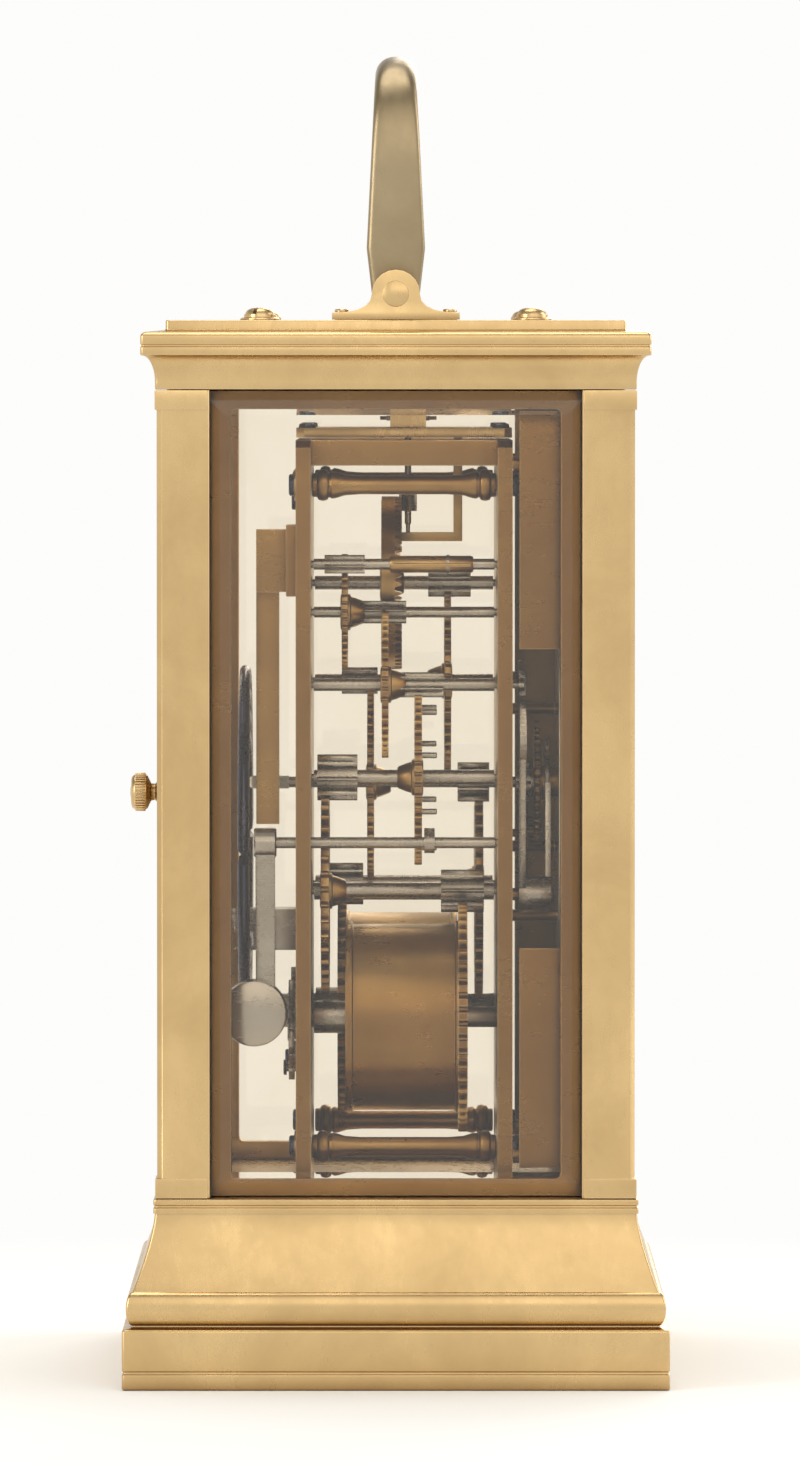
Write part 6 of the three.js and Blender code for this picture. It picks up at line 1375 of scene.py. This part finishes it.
def make_barrels():
    """The two spring barrels, their arbors with winding squares, ratchets and clicks."""
    places = arbors()
    spans = {"going": (-8.4, 7.4), "strike": (-9.0, 6.8)}
    for train, (low, high) in spans.items():
        place = places[train + "_barrel"]
        x, z = place["x"], place["z"]
        piece(train + "_spring_barrel", barrel_forms(place, low, high), train + "_barrel", [train + "_barrel"])
        inner = [(0, ARBOR_FRONT), (1.1, ARBOR_FRONT), (1.4, ARBOR_FRONT + 0.2), (1.4, low - 0.4), (2.2, low - 0.3),
                 (2.2, high + 0.4), (2.2, BACK_INNER - 0.35), (1.4, BACK_INNER - 0.3), (1.4, 13.9), (0, 13.9)]
        square = turned([(0, 13.6), (1.85, 13.6), (1.85, 21.4), (1.45, 22.05), (0, 22.05)], 4, "steel", x, z)
        piece(train + "_winding_arbor", [turned(inner, 32, "steel", x, z, 0.05), square],
              train + "_barrel_arbor", [train + "_barrel_arbor"])
        piece(train + "_ratchet_wheel", ratchet_forms(x, z), train + "_barrel_arbor", [train + "_ratchet"])
        click = softened("strike_click", "steel", 0.07)
        if train == "going":
            click = ([(-x, y, z) for x, y, z in click[0]], [face[::-1] for face in click[1]], "steel")
        piece(train + "_ratchet_click", [click], train + "_click", [train + "_click"], 40)
    points = [(x, 14.79, 40.899) for x in (-10.9, 10.9)]
    piece("click_screws", [screws(points, (0, 1, 0), 1.05, 0.45, "blued")], "case")


def train_forms(place, front=ARBOR_FRONT):
    """A wheel of a train with its pinion, collet and arbor."""
    return [*toothed_wheel(place), *pinion_forms(place), collet(place), arbor_form(place, front)]


def make_going_train():
    """The going train: second, centre, third and contrate wheels with their pinions."""
    places = arbors()
    for node in ("going_second_wheel", "third_wheel"):
        piece(node + "_cut", train_forms(places[node]), node, [node])
    place = places["centre_wheel"]
    shaft = turned([(0, -26.3), (0.55, -26.3), (0.75, -26.1), (0.75, 14.9), (0, 14.9)], 20, "steel", 0, CENTRE_Z)
    square = turned([(0, 14.6), (1.2, 14.6), (1.2, 19.5), (0.9, 19.95), (0, 19.95)], 4, "steel", 0, CENTRE_Z)
    piece("centre_wheel_cut", [*toothed_wheel(place), *pinion_forms(place), collet(place), shaft, square],
          "centre", ["centre_wheel"])
    place = places["contrate_wheel"]
    x, z = place["x"], place["z"]
    disc = flat([ring_of(11.3, 112, x, z)] + [moved(each, x, z) for each in windows(2.6, 9.6, 4, 1.5, 0.0)],
                1.2, 2.0, "brass", edge=0.05)
    crown = turned(band(10.9, 11.8, 0.15, 1.95), 120, "brass", x, z)
    points = []
    for level, half, reach in ((-0.1, 0.36, 0.45), (0.55, 0.24, 0.43), (0.9, 0.12, 0.4), (1.0, 0.05, 0.36)):
        points += [(-reach, -half, level), (reach, -half, level), (reach, half, level), (-reach, half, level)]
    teeth = ring([(points, skin(points, 4), "brass")], 60, 11.35, math.pi / 2, "brass", 0.2, "y", (x, 0, z))
    piece("contrate_wheel_cut", [disc, crown, teeth, *pinion_forms(place), collet(place), arbor_form(place)],
          "contrate_wheel", ["contrate_wheel"])


def make_striking_train():
    """The striking train: second, pin, locking and warning wheels, and the fly that slows it."""
    places = arbors()
    piece("strike_second_wheel_cut", train_forms(places["strike_second_wheel"]), "strike_second_wheel",
          ["strike_second_wheel"])
    place = places["pin_wheel"]
    pin = lathe([(0, 0.3), (0.4, 0.3), (0.4, 2.4), (0.28, 2.5), (0, 2.5)], 12, "steel", "z")
    pins = ring([pin], 8, 9.9, place["wheel"][4] + math.pi / 8, "steel", place["wheel"][3], "y",
                (place["x"], 0, place["z"]))
    piece("pin_wheel_cut", [*train_forms(place), pins], "pin_wheel", ["pin_wheel"])
    place = places["locking_wheel"]
    x, z = place["x"], place["z"]
    rack_reach, room = 26.2, 0.3
    reach = math.hypot(x - RACK_STUD[0], z - RACK_STUD[1]) - rack_reach - room
    finger = flat([[polar(0.5, turn, x, z) for turn in
                    (math.pi / 2, math.pi * 0.75, math.pi, -math.pi * 0.75, -math.pi / 2)]
                   + [(x + reach - 0.15, z - 0.12), (x + reach, z), (x + reach - 0.15, z + 0.12)]],
                  -17.4, -16.6, "steel", edge=0.05)
    hub = turned([(0, -17.4), (0.75, -17.4), (0.9, -17.25), (0.9, -16.6), (0, -16.6)], 24, "steel", x, z)
    piece("locking_wheel_cut", [*train_forms(place, front=-17.3), finger, hub], "locking_wheel",
          ["locking_wheel"])
    piece("warning_wheel_cut", train_forms(places["warning_wheel"]), "warning_wheel", ["warning_wheel"])
    place = places["fly"]
    x, z = place["x"], place["z"]
    vane = beam(x - 6.6, x + 6.6, -10.0, 0.4, z - 0.2, z + 0.2, "brass", 0.08)
    sleeve = turned([(0.55, -10.4), (1.0, -10.4), (1.15, -10.1), (1.15, 0.5), (1.0, 0.8), (0.55, 0.8),
                     (0.55, -10.4)], 28, "brass", x, z)
    spring = turned(band(1.1, 1.28, -7.2, -6.8), 28, "steel", x, z)
    piece("fly_vane", [vane, sleeve, spring, *pinion_forms(place), arbor_form(place)], "fly", ["fly"])


# Gong and hammer


def make_gong():
    """The coiled gong, blued, held in its block on the back plate."""
    inner, pitch, turns, per_turn, middle, plane = 13.2, 2.9, 4.05, 72, 71.0, 20.5
    path = [(x, plane, middle - inner) for x in (-3.0, -2.0, -1.0)]
    for step in range(int(turns * per_turn) + 1):
        share = step / per_turn
        x, z = polar(inner + pitch * share, -math.pi / 2 + share * 2 * math.pi, 0, middle)
        path.append((x, plane, z))
    wire = wired_along(path, 0.75, 0.75, sizes().gong_sides, "blued")
    piece("coiled_gong", [wire], "case", ["gong"], 60)
    heads = screws([(0.0, 21.98, 60.6)], (0, 1, 0), 1.35, 0.6, "steel")
    piece("gong_holder", [softened("gong_block", "steel", 0.18), heads], "case", ["gong_block"],
          40)


def make_hammer():
    """The hammer: its upright arm, a turned steel head with a leather nose, and its lifting tail."""
    x, z, plane = -25.2, 72.0, 19.0
    head_x, head_z = -23.3, 49.1
    shaft = turned([(0, -15.4), (0.5, -15.3), (0.5, -13.4), (0.75, -13.3), (0.75, 18.9), (0.55, plane), (0, plane)],
                   24, "steel", x, z)
    hub = turned([(0, 16.0), (1.8, 16.0), (2.0, 16.2), (2.0, 18.8), (1.8, plane), (0, plane)], 32, "steel", x, z)
    arm = flat([[(x - 1.45, z), (head_x - 0.95, head_z + 8), (head_x - 1.0, head_z), (head_x + 1.0, head_z),
                 (head_x + 0.95, head_z + 8), (x + 1.45, z)]], 16.2, 18.8, "steel", edge=0.12)
    half = 2.9
    crown = [(4.32, -half + 0.12), (4.4, -half + 0.3), (4.4, half - 0.5), (4.15, half - 0.15), (2.75, half + 0.1),
             (2.55, half + 0.3)]
    head = lathe([(0, -half), (4.1, -half), *crown, (2.5, half + 1.3), (0, half + 1.3)], 64, "steel", "x",
                 (head_x, plane, head_z))
    nose = lathe([(0, half + 1.25), (2.6, half + 1.25), (2.6, half + 2.9), (2.4, half + 3.15), (0, half + 3.2)],
                 48, "leather", "x", (head_x, plane, head_z))
    place = arbors()["pin_wheel"]
    across, up = place["x"] - x, place["z"] - z
    pin_reach, room = 10.3, 0.3
    reach, turn = math.hypot(across, up) - pin_reach - room, math.atan2(up, across)
    tail = flat([[polar(1.4, turn + math.pi / 2 + step * math.pi / 8, x, z) for step in range(9)]
                 + [polar(reach, turn - 0.02, x, z), polar(reach, turn + 0.02, x, z)]], -5.2, -3.8, "steel",
                edge=0.06)
    piece("striking_hammer", [shaft, hub, arm, head, nose, tail], "hammer", ["hammer"])
    blade = flat([[(-25.35, 113.6), (-25.55, 100.0), (-25.7, 88.0), (-25.4, 74.5), (-25.05, 74.5), (-25.3, 88.0),
                   (-25.15, 100.0), (-24.95, 113.6)]], 15.6, 18.7, "brass", edge=0.07)
    foot = [beam(-27.4, -22.4, BACK_FACE - 0.02, BACK_FACE + 1.3, 105.0, 114.6, "brass", 0.2),
            beam(-26.4, -25.3, BACK_FACE + 1.2, 18.7, 105.6, 114.0, "brass", 0.15)]
    heads = screws([(-23.7, BACK_FACE + 1.29, level) for level in (107.4, 112.2)], (0, 1, 0), 0.95, 0.5, "blued")
    piece("hammer_spring", [blade, *foot, heads], "case")


# Platform escapement


def make_platform():
    """The platform on its two bars and the cocks above it, with their jewels, and the potence below."""
    corners = [(x, y) for x in (-18.0, 14.0) for y in (-14.1, 11.9)]
    heads = screws([(x, y, PLATFORM_TOP - 0.01) for x, y in corners], (0, 0, 1), 1.15, 0.6, "blued")
    jewels = []
    for x in (FORK_X, BALANCE_X):
        jewels += jewel(x, PLATFORM_TOP, 0.85)
    piece("escapement_platform", [softened("platform", "gilt", 0.12), heads, *jewels], "case", ["platform"],
          40)
    bars = [beam(x - 2.1, x + 2.1, FRONT_INNER - 0.02, BACK_INNER + 0.02, 122.5, PLATE_TOP, "brass", 0.2)
            for x in (-PILLAR_X, PILLAR_X)]
    piece("platform_bars", bars, "case")
    forms = [softened("escape_bridge", "gilt", 0.1),
             screws([(9.5, ESCAPE_Y, ESCAPE_TOP - 0.01)], (0, 0, 1), 0.9, 0.5, "blued")]
    for x in (ESCAPE_X, FORK_X):
        forms += jewel(x, ESCAPE_TOP, 0.7)
    piece("escape_cock", forms, "case", ["escape_bridge"], 40)
    forms = [softened("balance_cock", "gilt", 0.12),
             screws([(-17.6, ESCAPE_Y, BALANCE_TOP - 0.01)], (0, 0, 1), 0.95, 0.55, "blued"),
             *jewel(BALANCE_X, BALANCE_TOP, 1.0)]
    regulator = flat([[(BALANCE_X - 1.5, ESCAPE_Y - 0.5), (BALANCE_X - 6.4, ESCAPE_Y - 0.12),
                       (BALANCE_X - 6.4, ESCAPE_Y + 0.12), (BALANCE_X - 1.5, ESCAPE_Y + 0.5)]
                      + arc(1.6, math.pi * 0.88, -math.pi * 0.88, 24, BALANCE_X, ESCAPE_Y),
                      ring_of(1.12, 28, BALANCE_X, ESCAPE_Y)], BALANCE_TOP, BALANCE_TOP + 0.25, "steel",
                     across="xy", edge=0.04)
    piece("balance_bridge", [*forms, regulator], "case", ["balance_cock"], 40)
    piece("escape_potence", [softened("potence", "brass", 0.1),
                             screws([(ESCAPE_X, -9.02, 123.6)], (0, -1, 0), 0.9, 0.45, "steel")],
          "case", ["potence"], smooth=40)


def make_escapement():
    """The escape wheel and its pinion, and the lever with its two ruby pallets."""
    points, teeth = [], 15
    for tooth in range(teeth):
        for share, radius in ((0.0, 3.0), (0.12, 3.35), (0.27, 3.9), (0.38, 3.86), (0.42, 3.2), (0.6, 3.0)):
            points.append(polar(radius, (tooth + share) * 2 * math.pi / teeth, ESCAPE_X, ESCAPE_Y))
    openings = [moved(each, ESCAPE_X, ESCAPE_Y) for each in windows(0.95, 2.3, 4, 0.42, 0.0, 8)]
    wheel = flat([points, *openings], 128.5, 129.0, "brass", across="xy", edge=0.03)
    leaves = ring(tooth_form(0.38, 5.0, leaf=True), 6, 1.14, math.pi * 2 / 3, "steel", 118.56, "z",
                  (ESCAPE_X, ESCAPE_Y, 0))
    staff = [(0, 112.16), (0.25, 112.2), (0.3, 114.2), (0.45, 114.4), (0.45, 116.0), (0.72, 116.1), (0.72, 121.0),
             (0.45, 121.1), (0.45, 129.4), (0.3, 129.5), (0.3, 130.4), (0, 130.4)]
    shaft = lathe(staff, 20, "steel", "z", (ESCAPE_X, ESCAPE_Y, 0))
    seat = lathe([(0.4, 127.95), (0.8, 127.95), (0.95, 128.2), (0.95, 128.52), (0.4, 128.52), (0.4, 127.95)], 24,
                 "brass", "z", (ESCAPE_X, ESCAPE_Y, 0))
    piece("escape_wheel_cut", [wheel, leaves, shaft, seat], "escape_wheel", ["escape_wheel"])
    stones = []
    for side in (1, -1):
        y = ESCAPE_Y + side * 2.62
        stones.append(beam(FORK_X + 1.45, FORK_X + 1.85, y - 0.32, y + 0.32, 128.42, 129.08, "ruby", 0.04))
    piece("lever_and_pallets", [softened("pallet_fork", "steel", 0.05), *stones], "pallet_fork",
          ["pallet_fork"], 40)


def make_balance():
    """The balance with its rim screws, the staff and roller, and the fine blued balance spring."""
    centre = (BALANCE_X, ESCAPE_Y, 0)
    rim = lathe(band(6.0, 6.85, 131.2, 132.2), 96, "gilt", "z", centre)
    spokes = flat([ring_of(6.1, 96, BALANCE_X, ESCAPE_Y)]
                  + [moved(each, BALANCE_X, ESCAPE_Y) for each in windows(1.3, 6.0, 2, 1.3, math.pi / 2, 28)],
                  131.3, 131.9, "gilt", across="xy", edge=0.04)
    stem = lathe([(0, 0), (0.2, 0), (0.2, 0.16), (0.42, 0.18), (0.42, 0.44), (0.36, 0.52), (0, 0.52)], 16,
                 "gilt", "x", (-0.02, 0, 0))
    count = sizes().balance_screws
    heads = ring([stem], count, 6.85, math.pi / count, "gilt", 131.7, "z", centre)
    staff = [(0, 126.4), (0.3, 126.4), (0.3, 127.8), (0.45, 127.9), (0.45, 129.35), (1.5, 129.4), (1.6, 129.5),
             (1.6, 129.8), (1.5, 129.9), (0.6, 129.95), (0.6, 131.0), (1.3, 131.05), (1.3, 131.3), (1.3, 132.0),
             (0.9, 132.1), (0.7, 132.6), (1.1, 132.65), (1.1, 133.6), (0.7, 133.65), (0.45, 133.75), (0.3, 133.85),
             (0.3, 134.9), (0, 134.9)]
    pin = lathe(rod(0.16, 129.0, 129.6), 12, "ruby", "z", (BALANCE_X + 1.1, ESCAPE_Y, 0))
    piece("balance_and_staff", [rim, spokes, heads, lathe(staff, 28, "steel", "z", centre), pin], "balance",
          ["balance_wheel"])
    path, turns, per_turn = [], 10, 48
    for step in range(turns * per_turn + 1):
        share = step / (turns * per_turn)
        x, y = polar(1.35 + 2.95 * share, math.pi + share * turns * 2 * math.pi, BALANCE_X, ESCAPE_Y)
        path.append((x, y, 133.1))
    piece("balance_spring", [wired_along(path, 0.05, 0.16, 6, "blued")], "case", ["hairspring"], 60)


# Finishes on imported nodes, and the stage


def make_glazing():
    """The bevelled panes and the back door's pane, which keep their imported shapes."""
    for node in ("front_glass", "left_glass", "right_glass", "top_glass", "back_door_glass"):
        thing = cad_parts[node]
        for slot in thing.material_slots:
            slot.material = finish("glass")


def aimed(way):
    """The turn that makes a lamp or camera look that way."""
    return way.to_track_quat("-Z", "Y").to_euler()


def lamp(name, place, size, power, hue):
    """A soft oblong lamp that points at the clock."""
    data = bpy.data.lights.new(name, "AREA")
    data.shape = "RECTANGLE"
    data.size, data.size_y = size
    data.energy = power * sizes().lamp_level
    data.color = hue
    holder = linked(name, data)
    holder.location = place
    holder.rotation_euler = aimed(Vector((*clock_middle[:2], LAMP_AIM_Z)) - Vector(place))


def make_stage():
    """The pale floor, the backdrop's light, soft lamps and the camera."""
    ground = linked("pale_floor", mesh_of("pale_floor", [lathe(rod(2600, -4.0, -0.02), 96, "floor", "z")], MM))
    ground.data.materials.append(finish("floor"))
    world = bpy.data.worlds.new("Pale room")
    bpy.context.scene.world = world
    world.use_nodes = True
    tree = world.node_tree
    tree.nodes.clear()
    either, path = shows_backdrop(tree)
    soft = wired(tree, "ShaderNodeBackground", {"Color": (1.0, 0.98, 0.95, 1.0), "Strength": 0.6})
    way = tree.nodes.new("ShaderNodeTexCoord")
    parts = wired(tree, "ShaderNodeSeparateXYZ", {0: way.outputs["Generated"]})
    above = wired(tree, "ShaderNodeMapRange", {
        "Value": parts.outputs["Z"], "From Min": 0.12, "From Max": 0.65, "To Min": 1.0, "To Max": 0.35})
    bright = reckoned(tree, "MAXIMUM", above.outputs[0], path.outputs["Is Camera Ray"])
    plain = wired(tree, "ShaderNodeBackground", {"Color": BACKDROP, "Strength": bright})
    room = wired(tree, "ShaderNodeMixShader", {0: either, 1: soft.outputs[0], 2: plain.outputs[0]})
    out = tree.nodes.new("ShaderNodeOutputWorld")
    tree.links.new(room.outputs[0], out.inputs["Surface"])
    lamp("side_lamp", (-1.1, -0.3, 0.78), (1.6, 1.0), 9.5, (1.0, 0.95, 0.88))
    lamp("back_lamp", (-0.75, 0.95, 0.5), (0.5, 0.8), 9.0, (1.0, 0.97, 0.93))
    lamp("top_lamp", (0.15, 0.1, 1.3), (0.9, 0.9), 12.0, (1.0, 0.98, 0.95))
    lamp("far_lamp", (1.1, -0.3, 0.6), (0.6, 0.8), 8.0, (1.0, 0.97, 0.93))
    lamp("front_lamp", (0.25, -1.2, 0.55), (0.7, 0.8), 9.0, (1.0, 0.97, 0.93))
    data = bpy.data.cameras.new("Camera")
    camera = linked("Camera", data)
    aim = Vector((0.0, -0.00055, 0.0860))
    away, lift, sensor, width_seen = 1.4, math.radians(2.0), 36.0, 0.1996
    camera.location = aim + Vector((-away * math.cos(lift), 0.0, away * math.sin(lift)))
    camera.rotation_euler = aimed(aim - camera.location)
    data.sensor_width = sensor
    data.lens = sensor * away / width_seen
    bpy.context.scene.camera = camera
    bpy.context.scene.view_settings.view_transform = "Standard"


# Operators and panel


class MakeStage(bpy.types.Operator):
    """Make the floor, lamps, backdrop and camera"""
    bl_idname = "clock.make_stage"
    bl_label = "Stage"

    def execute(self, context):
        make_stage()
        return {"FINISHED"}


class MakeBase(bpy.types.Operator):
    """Make the stepped and coved base"""
    bl_idname = "clock.make_base"
    bl_label = "Base"

    def execute(self, context):
        make_base()
        return {"FINISHED"}


class MakeCornice(bpy.types.Operator):
    """Make the cornice and its four domed screws"""
    bl_idname = "clock.make_cornice"
    bl_label = "Cornice"

    def execute(self, context):
        make_cornice()
        return {"FINISHED"}


class MakePillars(bpy.types.Operator):
    """Make the corner pillars and the plate under the base"""
    bl_idname = "clock.make_pillars"
    bl_label = "Pillars"

    def execute(self, context):
        make_pillars()
        return {"FINISHED"}


class MakeGlazing(bpy.types.Operator):
    """Give the panes their bevelled glass"""
    bl_idname = "clock.make_glazing"
    bl_label = "Glazing"

    def execute(self, context):
        make_glazing()
        return {"FINISHED"}


class MakeHandle(bpy.types.Operator):
    """Make the carrying handle and its hinge posts"""
    bl_idname = "clock.make_handle"
    bl_label = "Handle"

    def execute(self, context):
        make_handle()
        return {"FINISHED"}


class MakeDoor(bpy.types.Operator):
    """Make the back door's frame and knob"""
    bl_idname = "clock.make_door"
    bl_label = "Back door"

    def execute(self, context):
        make_door()
        return {"FINISHED"}


class MakeDial(bpy.types.Operator):
    """Make the enamel dial and its surround"""
    bl_idname = "clock.make_dial"
    bl_label = "Dial"

    def execute(self, context):
        make_dial()
        return {"FINISHED"}


class MakeHands(bpy.types.Operator):
    """Make the two blued hands"""
    bl_idname = "clock.make_hands"
    bl_label = "Hands"

    def execute(self, context):
        make_hands()
        return {"FINISHED"}


class MakeMotionWork(bpy.types.Operator):
    """Make the wheels behind the dial"""
    bl_idname = "clock.make_motion_work"
    bl_label = "Motion work"

    def execute(self, context):
        make_motion_work()
        return {"FINISHED"}


class MakeStrikingWork(bpy.types.Operator):
    """Make the rack and its hook"""
    bl_idname = "clock.make_striking_work"
    bl_label = "Striking work"

    def execute(self, context):
        make_striking_work()
        return {"FINISHED"}


class MakePlates(bpy.types.Operator):
    """Make the movement plates with their screws"""
    bl_idname = "clock.make_plates"
    bl_label = "Plates"

    def execute(self, context):
        make_plates()
        return {"FINISHED"}


class MakeMovementPillars(bpy.types.Operator):
    """Make the turned pillars between the plates"""
    bl_idname = "clock.make_movement_pillars"
    bl_label = "Movement pillars"

    def execute(self, context):
        make_movement_pillars()
        return {"FINISHED"}


class MakeBarrels(bpy.types.Operator):
    """Make the spring barrels and winding work"""
    bl_idname = "clock.make_barrels"
    bl_label = "Barrels"

    def execute(self, context):
        make_barrels()
        return {"FINISHED"}


class MakeGoingTrain(bpy.types.Operator):
    """Make the wheels that drive the hands"""
    bl_idname = "clock.make_going_train"
    bl_label = "Going train"

    def execute(self, context):
        make_going_train()
        return {"FINISHED"}


class MakeStrikingTrain(bpy.types.Operator):
    """Make the wheels that drive the hammer"""
    bl_idname = "clock.make_striking_train"
    bl_label = "Striking train"

    def execute(self, context):
        make_striking_train()
        return {"FINISHED"}


class MakeGong(bpy.types.Operator):
    """Make the coiled gong and its block"""
    bl_idname = "clock.make_gong"
    bl_label = "Gong"

    def execute(self, context):
        make_gong()
        return {"FINISHED"}


class MakeHammer(bpy.types.Operator):
    """Make the hammer"""
    bl_idname = "clock.make_hammer"
    bl_label = "Hammer"

    def execute(self, context):
        make_hammer()
        return {"FINISHED"}


class MakePlatform(bpy.types.Operator):
    """Make the platform, cocks and jewels"""
    bl_idname = "clock.make_platform"
    bl_label = "Platform"

    def execute(self, context):
        make_platform()
        return {"FINISHED"}


class MakeEscapement(bpy.types.Operator):
    """Make the escape wheel and lever"""
    bl_idname = "clock.make_escapement"
    bl_label = "Escapement"

    def execute(self, context):
        make_escapement()
        return {"FINISHED"}


class MakeBalance(bpy.types.Operator):
    """Make the balance and its spring"""
    bl_idname = "clock.make_balance"
    bl_label = "Balance"

    def execute(self, context):
        make_balance()
        return {"FINISHED"}


MAKERS = (
    MakeStage,
    MakeBase,
    MakeCornice,
    MakePillars,
    MakeGlazing,
    MakeHandle,
    MakeDoor,
    MakeDial,
    MakeHands,
    MakeMotionWork,
    MakeStrikingWork,
    MakePlates,
    MakeMovementPillars,
    MakeBarrels,
    MakeGoingTrain,
    MakeStrikingTrain,
    MakeGong,
    MakeHammer,
    MakePlatform,
    MakeEscapement,
    MakeBalance,
)


class ClockPanel(bpy.types.Panel):
    """Lists the clock's sizes and colours and the makers of its pieces"""
    bl_idname = "VIEW3D_PT_clock"
    bl_label = "Carriage clock"
    bl_space_type = "VIEW_3D"
    bl_region_type = "UI"
    bl_category = "Clock"

    def draw(self, context):
        layout = self.layout
        for group in (context.scene.clock_sizes, context.scene.clock_colours):
            box = layout.box()
            for name in group.__annotations__:
                box.prop(group, name)
        column = layout.column(align=True)
        for maker in MAKERS:
            column.operator(maker.bl_idname)


CLASSES = (ClockColours, ClockSizes, *MAKERS, ClockPanel)


def register():
    for each in CLASSES:
        bpy.utils.register_class(each)
    bpy.types.Scene.clock_colours = PointerProperty(type=ClockColours)
    bpy.types.Scene.clock_sizes = PointerProperty(type=ClockSizes)


def unregister():
    del bpy.types.Scene.clock_sizes
    del bpy.types.Scene.clock_colours
    for each in reversed(CLASSES):
        bpy.utils.unregister_class(each)


def main():
    register()
    for maker in MAKERS:
        space, name = maker.bl_idname.split(".")
        getattr(getattr(bpy.ops, space), name)()
    bpy.context.view_layer.update()


if __name__ == "__main__":
    main()
